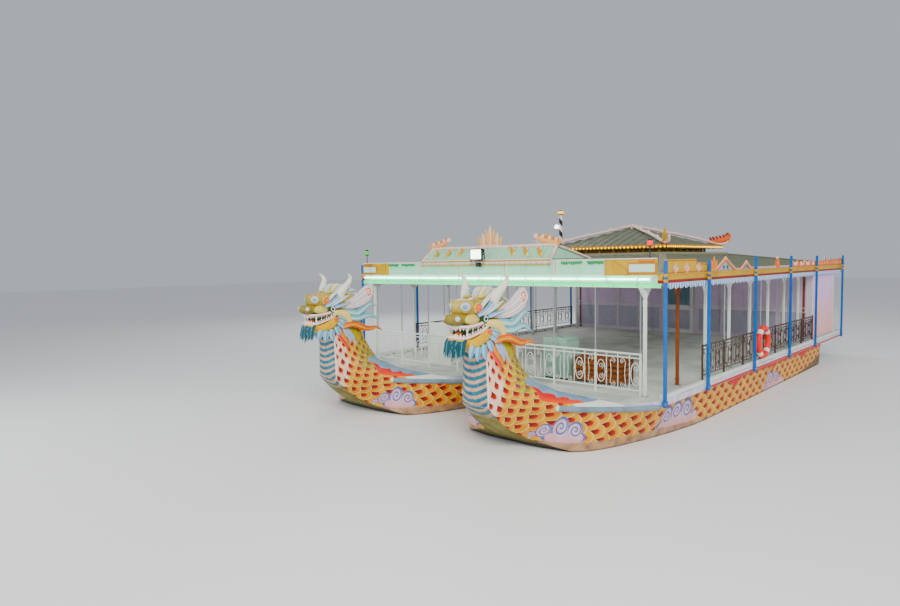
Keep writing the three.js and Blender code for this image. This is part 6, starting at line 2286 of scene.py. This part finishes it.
def console():
    """A desk with two doors, four dials and two levers."""
    low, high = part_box("helm_console")
    shape = Shape()
    front, back, top = low.y, high.y, high.z
    desk = [(front, low.z), (back, low.z), (back, top - 0.20), (back - 0.045, top - 0.15),
            (front + 0.075, top - 0.030), (front + 0.045, top), (front, top)]

    def aft_face(u, v, w):
        return u, back + w, v

    shape.plate(desk, lambda u, v, w: (w, u, v), low.x, high.x, "white", 0.008)
    middle_x = middle("helm_console").x
    for x0, x1 in ((low.x + 0.04, low.x + 0.33), (high.x - 0.33, high.x - 0.04)):
        rim(shape, rect(x0, x1, low.z + 0.06, top - 0.3), aft_face, 0.012, -0.004, 0.006, "steel")
        grip_x = x0 + 0.26 if x0 < middle_x else x0 + 0.03
        shape.ball((grip_x, back + 0.006, top - 0.42), (0.01, 0.01, 0.018), "steel", 10, 6)
    slope = unit((0, front + 0.075 - (back - 0.045), 0.12))
    normal = np.cross(slope, (-1, 0, 0))
    centre_y, centre_z = (front + back + 0.03) / 2, top - 0.090
    for x, radius in ((-0.26, 0.034), (-0.13, 0.046), (0.0, 0.046), (0.13, 0.034)):
        spot = np.array([middle_x + x, centre_y, centre_z])
        case = [(radius + 0.008, -0.01), (radius + 0.008, 0.006), (radius, 0.01), (radius - 0.006, 0.004)]
        shape.turned(case, spot, "graphite", axis=normal)
        shape.turned([(radius - 0.008, 0.002), (radius - 0.01, 0.006)], spot, "dial", 20, axis=normal)
    for x in (0.215, 0.275):
        foot = np.array([middle_x + x, centre_y, centre_z])
        shape.block(foot - (0.02, 0.045, 0.012), foot + (0.02, 0.045, 0.008), "graphite", 0.004)
        shape.sweep([foot, foot + (0, 0.006, 0.045), foot + (0, -0.012, 0.078)], [0.006, 0.005, 0.005],
                    "steel", 8)
        shape.ball(foot + (0, -0.014, 0.084), (0.015, 0.015, 0.013), "red_knob", 12, 8)
    piece("console", shape, replaces=["helm_console"])


WHEEL_RADIUS = 0.240
SPOKE = [(0.0, 0.028), (0.008, 0.030), (0.010, 0.060), (0.007, 0.080), (0.0105, 0.125), (0.007, 0.170),
         (0.009, 0.200), (0.007, 0.232), (0.0, 0.234)]


def helm_wheel():
    """A varnished wheel with six turned spokes on a brass hub."""
    low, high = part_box("helm_wheel")
    centre = np.array([(low.x + high.x) / 2, high.y - 0.024, (low.z + high.z) / 2])
    shape = Shape()
    ring = [centre + (WHEEL_RADIUS * math.cos(a), 0, WHEEL_RADIUS * math.sin(a))
            for a in np.arange(33) * 2 * math.pi / 32]
    shape.sweep(ring, (0.0135, 0.0135), "varnish", 12, side=(0, 1, 0), steps=1, closed=True)
    for k in range(6):
        turn = k * math.pi / 3
        shape.turned(SPOKE, centre, "varnish", 12, axis=np.array([math.cos(turn), 0, math.sin(turn)]))
    face = low.y - centre[1]
    hub = [(0.0, face), (0.020, face), (0.022, -0.040), (0.033, -0.022), (0.034, 0.010), (0.028, 0.020),
           (0.010, 0.024), (0.0, 0.024)]
    shape.turned(hub, centre, "brass", axis=(0, 1, 0))
    piece("steering_wheel", shape, "helm", replaces=["helm_wheel"])


# Aft cabin. Its openings are those of the part's walls
CABIN_WALL = 0.04
DOOR_HALF, DOOR_TOP = 0.45, 2.30
WINDOW, WINDOW_HALF, SILL, LINTEL = 1.90, 0.50, 1.45, 2.15


def framed(shape, spot, u0, u1, v0, v1, paint, frame_paint, inset=0.03):
    """An inset panel with a moulded frame round it."""
    shape.plate(rect(u0 + inset, u1 - inset, v0 + inset, v1 - inset), spot, -0.002, 0.003, paint, 0.002)
    rim(shape, rect(u0, u1, v0, v1), spot, inset, -0.002, 0.01, frame_paint)


def cabin_walls(shape, low, high):
    """The four walls round the openings of the door and the two windows."""
    foot, top, head, sill, lintel = low.z, high.z, up(DOOR_TOP), up(SILL), up(LINTEL)
    inner_front, inner_back = low.y + CABIN_WALL, high.y - CABIN_WALL
    for x0, x1 in ((low.x, -DOOR_HALF), (DOOR_HALF, high.x)):
        shape.block((x0, low.y, foot), (x1, inner_front, top), "panel", 0.004)
    shape.block((-DOOR_HALF - 0.002, low.y, head), (DOOR_HALF + 0.002, inner_front, top), "panel", 0.003)
    for x in (low.x, high.x - CABIN_WALL):
        shape.block((x, inner_front - 0.002, foot), (x + CABIN_WALL, inner_back + 0.002, top), "panel",
                    0.003)
    shape.block((low.x, inner_back, foot), (high.x, high.y, sill), "panel", 0.004)
    shape.block((low.x, inner_back, lintel), (high.x, high.y, top), "panel", 0.004)
    for x0, x1 in ((low.x, -WINDOW - WINDOW_HALF), (WINDOW_HALF - WINDOW, WINDOW - WINDOW_HALF),
                   (WINDOW + WINDOW_HALF, high.x)):
        shape.block((x0, inner_back, sill - 0.003), (x1, high.y, lintel + 0.003), "panel", 0.003)


def cabin_side(shape, low, high, way, back_face):
    """The panels in front, the bare panel on the side and the window aft, on one side."""
    foot, top, sill, lintel = low.z, high.z, up(SILL), up(LINTEL)

    def front_face(u, v, w):
        return u, low.y - w, v

    def side_face(u, v, w):
        return way * (high.x + w), u, v

    for k in range(4):
        near, far = 0.58 + 0.74 * k, 0.58 + 0.74 * k + 0.68
        u0, u1 = sorted((way * near, way * far))
        framed(shape, front_face, u0, u1, foot + 0.08, foot + 0.78, "panel_grey", "panel")
        framed(shape, front_face, u0, u1, foot + 0.86, top - 0.08, "panel_lilac", "panel")
    framed(shape, side_face, low.y + 0.03, high.y - 0.03, foot + 0.08, top - 0.03, "banner", "white", 0.022)
    rim(shape, rect(low.y + 0.08, high.y - 0.08, foot + 0.13, top - 0.08), side_face, 0.012, 0.0, 0.005,
        "rose")
    centre = way * WINDOW
    x0, x1 = centre - WINDOW_HALF, centre + WINDOW_HALF
    rim(shape, rect(x0, x1, sill, lintel), back_face, 0.045, -0.03, 0.012, "white")
    shape.block((x0 + 0.03, high.y - 0.026, sill + 0.03), (x1 - 0.03, high.y - 0.016, lintel - 0.03),
                "glass", 0.002)
    shape.block((centre - 0.014, high.y - 0.032, sill + 0.02),
                (centre + 0.014, high.y - 0.002, lintel - 0.02), "white", 0.003)
    framed(shape, back_face, x0, x1, foot + 0.1, sill - 0.08, "panel_grey", "panel")


def cabin():
    low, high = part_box("aft_cabin")
    foot, top, head = low.z, high.z, up(DOOR_TOP)
    shape = Shape()

    def back_face(u, v, w):
        return u, high.y + w, v

    cabin_walls(shape, low, high)
    for way in WAYS:
        cabin_side(shape, low, high, way, back_face)
    framed(shape, back_face, -1.2, 1.2, foot + 0.1, top - 0.1, "panel_lilac", "panel")
    inner_front = low.y + CABIN_WALL
    frame_low, frame_high = inner_front - 0.006, inner_front + 0.010
    for x0, x1 in ((-DOOR_HALF - 0.055, -DOOR_HALF - 0.020), (DOOR_HALF + 0.002, DOOR_HALF + 0.055)):
        shape.block((x0, frame_low, foot), (x1, frame_high, head + 0.05), "white", 0.004)
    shape.block((-DOOR_HALF - 0.05, frame_low, head + 0.002), (DOOR_HALF + 0.05, frame_high, head + 0.05),
                "white", 0.004)
    for x in (-3.4, 3.4):
        shape.block((x - 0.03, low.y - 0.012, foot), (x + 0.03, low.y + 0.01, top), "brown", 0.005)
    piece("cabin_walls", shape, replaces=["aft_cabin"])


def cabin_door():
    """A framed door with a glass panel, on two hinges, with a lever handle."""
    low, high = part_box("aft_door")
    front, back = low.y + 0.0137, high.y
    left, right = 0.006 - DOOR_HALF, DOOR_HALF - 0.006
    shape = Shape()

    def front_face(u, v, w):
        return u, front - w * 0.6, v

    def back_face(u, v, w):
        return u, back + w * 0.2, v

    shape.block((left, front, low.z), (right, back, high.z), "white", 0.004)
    for face in (front_face, back_face):
        for foot, top, paint in ((low.z + 0.1, low.z + 0.72, "panel_grey"),
                                 (low.z + 0.82, high.z - 0.1, "glass")):
            framed(shape, face, left + 0.08, DOOR_HALF - 0.09, foot, top, paint, "panel")
    for height in (up(0.90), up(1.90)):
        hinge = (-0.46, low.y + 0.0057, height)
        shape.turned([(0.0, 0.0), (0.0055, 0.001), (0.0055, 0.119), (0.0, 0.12)], hinge, "steel", 14)
        shape.block((-0.459, low.y + 0.003, height + 0.002), (left + 0.075, low.y + 0.0085, height + 0.118),
                    "steel", 0.001)
    grip = np.array([DOOR_HALF - 0.075, front, up(1.45)])
    shape.block(grip + (-0.02, -0.004, -0.085), grip + (0.02, 0.002, 0.065), "steel", 0.002)
    shape.turned([(0.011, 0.0), (0.01, 0.012)], grip, "steel", 14, axis=(0, -1, 0))
    lever = [grip + (0, -0.0115, 0), grip + (-0.05, -0.0125, 0.002), grip + (-0.105, -0.011, -0.002)]
    shape.sweep(lever, (0.009, 0.0045), "steel", 10, side=UP)
    piece("cabin_door", shape, "aft_door", replaces=["aft_door"])


# Life rings, lamps and mast
def life_ring(name, side):
    low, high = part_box(f"life_ring_{name}")
    centre = np.array((low + high) / 2)
    tube = (high.x - low.x) / 2
    radius = (high.z - low.z) / 2 - tube
    shape = Shape()

    def arc(start, end, count):
        return [centre + (0, radius * math.cos(a), radius * math.sin(a))
                for a in np.linspace(start, end, count)]

    shape.sweep(arc(0, 2 * math.pi, 41), (tube * 0.96, tube * 0.96), "ring", 18, side=(1, 0, 0), steps=1,
                closed=True)
    sizes = [(tube * share, tube * share) for share in (0.97, 0.995, 0.995, 0.995, 0.995, 0.995, 0.97)]
    for k in range(4):
        turn = math.pi / 4 + k * math.pi / 2
        shape.sweep(arc(turn - 0.16, turn + 0.16, 7), sizes, "ring_white", 18, side=(1, 0, 0), steps=1)
    inner, over = centre[0] - side * tube, centre[2] + radius
    for way in WAYS:
        y = centre[1] + way * 0.13
        hook = [(inner - side * 0.004, y, over - 0.03), (inner + side * 0.02, y, over - tube - 0.012),
                (inner + side * tube, y, over - tube - 0.020),
                (inner + side * (2 * tube), y, over - tube + 0.02)]
        shape.sweep(hook, 0.006, "steel", 8)
    piece(f"life_ring_shell_{name}", shape, replaces=[f"life_ring_{name}"])


def side_lamp(name, side):
    """A caged lamp on a stem, red to port and green to starboard."""
    low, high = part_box(f"side_lamp_{name}")
    x, y = (low.x + high.x) / 2, (low.y + high.y) / 2
    glass = "red_glass" if side > 0 else "green_glass"
    shape = Shape()
    stem = high.z - low.z - 0.13
    shape.turned([(0.024, 0.0), (0.024, 0.006), (0.009, 0.014), (0.009, stem), (0.0, stem + 0.001)],
                 (x, y, low.z), "graphite", 14)
    base = (x, y, high.z - 0.135)
    shape.turned([(0.034, 0.0), (0.046, 0.01), (0.046, 0.022)], base, "graphite", 20)
    shape.turned([(0.04, 0.018), (0.044, 0.03), (0.044, 0.095), (0.038, 0.105)], base, glass)
    shape.turned([(0.046, 0.1), (0.046, 0.112), (0.03, 0.128), (0.01, 0.134), (0.0, 0.135)], base,
                 "graphite", 20)
    for k in range(6):
        a = k * math.pi / 3
        post = np.array([x + 0.046 * math.cos(a), y + 0.046 * math.sin(a), base[2]])
        shape.sweep([post + (0, 0, 0.018), post + (0, 0, 0.104)], 0.0025, "steel", 6)
    piece(f"side_lamp_lens_{name}", shape,
          replaces=[f"side_lamp_{name}"])


def mast():
    """A banded pole on a bolted foot, with a yellow lamp on top and a white one on an arm."""
    low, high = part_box("mast")
    x, y = (low.x + high.x) / 2, (low.y + high.y) / 2
    shape = Shape()
    foot, top = low.z + 0.020, high.z - 0.115
    shape.block((low.x, low.y, low.z + 0.014), (high.x, high.y, foot + 0.04), "steel", 0.004)
    shape.turned([(0.068, 0.0), (0.068, 0.015), (0.046, 0.05)], (x, y, foot + 0.035), "steel", 20)
    rings = []
    for k in range(60):
        z = foot + 0.05 + (high.z - 0.115 - foot - 0.05) * k / 59
        rings.append([(x + 0.039 * math.cos(a), y + 0.039 * math.sin(a), z) for a in circle(16)])
    shape.skin(rings, "spiral_pole")
    for k in range(4):
        a = k * math.pi / 2 + 0.785
        bolt = (x + 0.072 * math.cos(a), y + 0.072 * math.sin(a), foot + 0.038)
        shape.turned([(0.01, 0), (0.01, 0.01)], bolt, "steel", 6)
    shape.turned([(0.05, 0.0), (0.062, 0.012), (0.062, 0.02)], (x, y, top), "graphite")
    shape.turned([(0.052, 0.016), (0.066, 0.04), (0.066, 0.07), (0.05, 0.092)], (x, y, top), "yellow_glass")
    shape.turned([(0.06, 0.088), (0.05, 0.1), (0.018, 0.11), (0.0, 0.115)], (x, y, top), "graphite")
    level = up(3.60)
    arm = np.array([x - 0.075, y - 0.055, level])
    shape.sweep([(x, y, level - 0.06), (x - 0.045, y - 0.033, level - 0.055),
                 (arm[0], arm[1], level - 0.03)], 0.009, "steel", 10)
    shape.ball(arm, 0.052, "white_glass", 20, 12)
    shape.turned([(0.0, -0.058), (0.026, -0.056), (0.03, -0.036), (0.0, -0.034)], arm, "graphite", 16)
    piece("mast_pole", shape, replaces=["mast"])


# Propellers and rudders. Blade rows: radius, chord, pitch angle and skew
BLADE = [(0.030, 0.070, 62, 0.000), (0.055, 0.100, 53, 0.004), (0.085, 0.128, 44, 0.010),
         (0.120, 0.142, 36, 0.016), (0.150, 0.128, 30, 0.022), (0.172, 0.098, 27, 0.028),
         (0.184, 0.062, 25, 0.032), (0.189, 0.022, 24, 0.034)]
# Height over the rudder's foot or under its top, inset and share of the thickness
RUDDER_FOOT = ((0, 0.020, 0.55), (0.012, 0.004, 0.9), (0.03, 0, 1))
RUDDER_TOP = ((0.03, 0, 1), (0.010, 0.006, 0.9), (0, 0.016, 0.6))


def blade_ring(radius, chord, pitch, skew, half_way):
    """The section of a blade at one radius, in an upright plane: across, aft and up."""
    angle, thick = math.radians(pitch), 0.012 * (1 - 0.55 * radius / 0.19)
    ring = []
    for a in circle(14):
        u = 0.5 * chord * math.cos(a)
        camber = 0.05 * chord * (1 - math.cos(a) ** 2)
        v = 0.5 * thick * math.sin(a) * (1.15 + 0.45 * math.cos(a)) + camber
        sideways = (u + skew) * math.cos(angle) - v * math.sin(angle)
        back = u * math.sin(angle) + v * math.cos(angle)
        across, rise = sideways, radius
        if radius > 0.05:
            swing = sideways / radius
            across, rise = radius * math.sin(swing), radius * math.cos(swing)
        ring.append((across, half_way + back * 0.86, rise))
    return ring


def propeller(name, side):
    """Three skewed blades with an aerofoil section on a hub with a cone."""
    shaft_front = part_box(f"propeller_{name}")[0].y
    centre_x, centre_z = side * HULL_CENTRE, up(SKEG["shaft"])
    hub_front, hub_back = aft(SKEG["end"] + 0.012), aft(SKEG["end"] + 0.142)
    shape = Shape()
    rows = [blade_ring(*row, (hub_front + hub_back) / 2) for row in resample(BLADE, 3)]
    for k in range(3):
        turn = 2 * math.pi * k / 3
        cos, sin = math.cos(turn), math.sin(turn)
        shape.skin([[(centre_x + x * cos + z * sin, y, centre_z - x * sin + z * cos) for x, y, z in ring]
                    for ring in rows], "bronze")
    length = hub_back - hub_front
    hub = [(0.0, 0.0), (0.038, 0.0), (0.045, 0.012), (0.046, length * 0.55), (0.040, length - 0.008),
           (0.034, length), (0.0, length)]
    nut = [(0.03, 0.0), (0.03, 0.006), (0.024, 0.016), (0.01, 0.024), (0.0, 0.025)]
    shaft = [(0.022, 0), (0.022, hub_front - shaft_front + 0.002)]
    for profile, start, paint, sides in ((hub, hub_front, "bronze", 28), (nut, hub_back, "bronze", 6),
                                         (shaft, shaft_front, "steel", 20)):
        shape.turned(profile, (centre_x, start, centre_z), paint, sides, axis=(0, 1, 0))
    piece(f"screw_{name}", shape, f"propeller_{name}", replaces=[f"propeller_{name}"])


def rudder(name, side):
    low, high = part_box(f"rudder_{name}")
    x, lead, chord, half = side * HULL_CENTRE, low.y, high.y - low.y, 0.018
    stock = lead + 0.070
    top, foot = up(-0.11), low.z
    rows = [(foot + lift, inset, thin) for lift, inset, thin in RUDDER_FOOT]
    rows += [(top - drop, inset, thin) for drop, inset, thin in RUDDER_TOP]
    rings = []
    for z, inset, thin in rows:
        ring = []
        for a in circle(24):
            share = (1 - math.cos(a)) / 2
            y = lead + inset + (chord - 2 * inset) * share
            thick = half * thin * 1.02 * math.sqrt(max(share, 0)) * (1 - share) ** 0.7 * 2.05 + 0.003
            on_edge = abs(math.sin(a)) < 1e-6
            way = 0 if on_edge else math.copysign(1, math.sin(a))
            ring.append((x + way * min(thick, half), y, z))
        rings.append(ring)
    shape = Shape()
    shape.skin(rings, "bottom")
    stem = high.z - foot
    shape.turned([(0.0, 0.06), (0.0235, 0.062), (0.0235, stem - 0.002), (0.0, stem)], (x, stock, foot),
                 "steel")
    shape.turned([(0.034, 0.0), (0.034, 0.022), (0.027, 0.03)], (x, stock, top - 0.004), "bottom", 20)
    for z in (foot + 0.10, foot + 0.22):
        for way in WAYS:
            shape.block((x + way * 0.012, stock - 0.02, z - 0.01),
                        (x + way * 0.0215, stock + 0.11, z + 0.01), "bottom", 0.003)
    piece(f"rudder_blade_{name}", shape, f"rudder_{name}", replaces=[f"rudder_{name}"])


def lower_paints():
    plain = {"iron": (0x4A3E3A, 0.45), "wood_dark": (0x4E3222, 0.5), "brown": (0x7A4A34, 0.45),
             "ceiling": (0xEDEFEA, 0.5), "locker": (0xA6BDB2, 0.45), "panel": (0xDDD3DE, 0.45),
             "panel_grey": (0xB9B6C4, 0.45), "panel_lilac": (0xD9C6DC, 0.45), "ring": (0xDE4E0E, 0.45),
             "ring_white": (0xF2F0EA, 0.45), "brass": (0xC99A4A, 0.3), "dial": (0xE9E7DA, 0.25),
             "red_knob": (0xB32418, 0.3), "deck_strip": (0x9DA19C, 0.7)}
    for key, (code, rough) in plain.items():
        PAINTS[key] = painted(key + "_paint", code, rough, 0.3, 7.0, metal=0.9 if key == "brass" else 0.0)
    PAINTS["wood"] = wood_paint("bench_wood", 0x8A5636, 0x5E3620, (1.2, 14, 14))
    PAINTS["varnish"] = wood_paint("varnished_wood", 0x8E5026, 0x54290F, (9, 9, 9), 0.25)
    PAINTS["deck_sheet"] = deck_paint()
    PAINTS["edge_band"] = edge_paint()
    PAINTS["bronze"] = bronze_paint()
    PAINTS["banner"] = banner_paint()
    PAINTS["spiral_pole"] = spiral_paint()
    glass = Paint("window_glass", 0.06, clear=0.35)
    PAINTS["glass"] = glass.colour(glass.mix(glass.noise(2.0, 2), 0x8FA6B4, 0x6E8694))
    glows = {"red_glass": (0xFF1408, 1.3), "green_glass": (0x1FB060, 1.6), "yellow_glass": (0xFFC020, 2.0),
             "white_glass": (0xF4F8FF, 5.0), "ceiling_lamp": (0xFFF6E4, 4.0)}
    for key, (code, strength) in glows.items():
        PAINTS[key] = glowing(key, code, strength, 0.2, 30.0, 0.75)


def wood_paint(name, light, dark, stretch, rough=0.5):
    paint = Paint(name, rough)
    grain = paint.noise(3.0, 6, stretch)
    tone = paint.noise(1.5, 2)
    paint.colour(paint.blend(grain, light, dark))
    return paint.lay(paint.smooth(tone, 0.4, 0.7) * 0.3, 0x3A2416).bump(grain, 0.2, 0.003)


def deck_paint():
    """Pale deck paint with fine grit, sheet seams and trodden patches."""
    paint = Paint("deck_sheet_paint", 0.6)
    x, y, _ = paint.place()
    tone, grit = paint.noise(1.3, 5), paint.noise(120.0, 2)
    seam = paint.most(paint.smooth(paint.math("PINGPONG", x, 0.61), 0.006, 0.002),
                      paint.smooth(paint.math("PINGPONG", y, 1.22), 0.006, 0.002))
    paint.colour(paint.blend(tone, 0xD6D8D3, 0xB5B6AE)).lay(seam * 0.6, 0x7E7C72)
    paint.lay(paint.smooth(grit, 0.55, 0.75) * 0.15, 0x6A6A62)
    return paint.bump(grit * 0.6 - seam, 0.25, 0.003)


def edge_paint():
    """The deck's edge: lilac white in front, and aft of the second post with a red lower line."""
    paint = Paint("deck_edge_paint", 0.45)
    _, y, z = paint.place()
    s, height = y - aft(0), z - ZERO_LINE
    tone = paint.noise(6.0, 4)
    paint.colour(paint.blend(tone, 0xDCDDE8, 0xC2BCD2))
    lower = paint.smooth(height + (tone - 0.5) * 0.02, 0.545, 0.537) * paint.smooth(s, 1.4, 1.9)
    paint.lay(lower, paint.mix(tone, 0xC8442A, 0x9A2E1E))
    streak = paint.smooth(paint.noise(3.0, 4, (1, 3, 0.4)), 0.55, 0.8) * 0.4
    return paint.lay(streak, 0x6E6658).bump(tone, 0.15, 0.003)


def bronze_paint():
    """Cast bronze with green and brown stains."""
    paint = Paint("cast_bronze", 0.35, metal=0.9)
    tone, stain = paint.noise(14.0, 5), paint.noise(30.0, 4)
    paint.colour(paint.blend(tone, 0xB98A46, 0x7E5A2A, 0.3))
    paint.lay(paint.smooth(stain, 0.58, 0.75) * 0.6, 0x4E6E56)
    return paint.rough(0.3 + stain * 0.3).bump(tone, 0.15, 0.003)


def banner_paint():
    """A bare panel whose rose lilac ground fades upwards, with faint upright folds shown as paler streaks of
    painted highlight.
    """
    paint = Paint("banner_panel_paint", 0.5)
    height = paint.place()[2] - ZERO_LINE
    tone = paint.noise(2.5, 3, (1, 3, 0.4))
    paint.colour(paint.mix(paint.smooth(height + (tone - 0.5) * 0.4, 0.7, 2.4), 0xE9B9B4, 0xDCC2E6))
    # Paler upright streaks: painted highlights on the folds.
    return paint.lay(paint.smooth(tone, 0.45, 0.75) * 0.35, 0xF2E4EE).bump(tone, 0.15, 0.004)


def spiral_paint():
    """Black and white bands that wind up the mast."""
    paint = Paint("spiral_bands", 0.35)
    x, y, z = paint.place()
    turn = paint.math("ARCTAN2", y - middle("mast").y, x - middle("mast").x) / (2 * math.pi)
    wind = paint.math("FRACT", z / 0.26 + turn)
    band = paint.near(wind - 0.5, 0.24, 0.26)
    tone = paint.noise(10.0, 3)
    white = paint.mix(tone, 0xF2F2EC, 0xD8D8D0)
    return paint.colour(paint.mix(band, white, 0x1B1C1E)).bump(tone, 0.08, 0.002)


# Studio
FLOOR_REACH = 90.0
SKY, SKY_POWER = (0.80, 0.85, 0.92, 1.0), 0.60
# Name, place, target, size, power and colour
LIGHTS = (("key", (10, -16, 12), (0, 1, 1.5), 6.0, 2500, (1.0, 0.97, 0.92)),
          ("fill", (16, 4, 9), (1, 1, 1.5), 9.0, 900, (0.94, 0.97, 1.0)),
          ("rim", (-14, 10, 12), (0, 0, 2), 8.0, 1100, (1.0, 0.98, 0.95)),
          ("bow", (-6, -16, 6), (0, -5, 1), 6.0, 600, (0.97, 0.98, 1.0)))


def make_studio():
    """A pale floor, an even sky and four large lights."""
    mesh = bpy.data.meshes.new("floor")
    outline = rect(-FLOOR_REACH, FLOOR_REACH, -FLOOR_REACH, FLOOR_REACH)
    mesh.from_pydata([(x, y, WATERLINE) for x, y in outline], [], [(0, 1, 2, 3)])
    floor = bpy.data.objects.new("floor", mesh)
    bpy.context.scene.collection.objects.link(floor)
    paint = Paint("floor_paint", 0.6)
    paint.colour(paint.mix(paint.noise(0.3, 2) * 0.3, 0xF3F3F2, 0xEAEAE9))
    mesh.materials.append(paint.material)
    world = bpy.data.worlds.new("studio")
    world.use_nodes = True
    sky = world.node_tree.nodes["Background"]
    sky.inputs[0].default_value = SKY
    sky.inputs[1].default_value = SKY_POWER
    bpy.context.scene.world = world
    for name, place, target, size, power, colour in LIGHTS:
        data = bpy.data.lights.new(name, "AREA")
        data.energy = power
        data.size = size
        data.color = colour
        light = bpy.data.objects.new(name, data)
        light.location = place
        light.rotation_mode = "QUATERNION"
        light.rotation_quaternion = (Vector(target) - Vector(place)).to_track_quat("-Z", "Y")
        bpy.context.scene.collection.objects.link(light)


def coat(name, paint):
    """Gives a CAD node a material."""
    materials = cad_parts[name].data.materials
    materials.clear()
    materials.append(PAINTS[paint].material)


make_camera()
make_studio()
hull_paints()
head_paints()
upper_paints()
lower_paints()
# Pale mint on the front eave beam is painted light from the lamp tube in front of it.
coat("eave_beam_front", "mint")
coat("eave_beam_rear", "orange")
deck()
piece("rear_railing", railing("rail_rear", 0, "white", 27, 5, DECK_TOP, False),
      replaces=["rail_rear"])
ceiling()
bench()
locker()
console()
helm_wheel()
cabin()
cabin_door()
mast()
main_roof()
lantern()
pyramid_roof()
pyramid_ridges()
porch_roof()
porch_carvings()
facade()
lamp_tube()
light_band()
floodlight()
for side_name, way in SIDES:
    hull_skin(side_name, way)
    hull_fittings(side_name, way)
    dragon_head(side_name, way)
    fascia(side_name, way)
    valance(side_name)
    parapet(side_name, way)
    posts(side_name, way)
    railings(side_name)
    columns(side_name, way)
    life_ring(side_name, way)
    side_lamp(side_name, way)
    propeller(side_name, way)
    rudder(side_name, way)
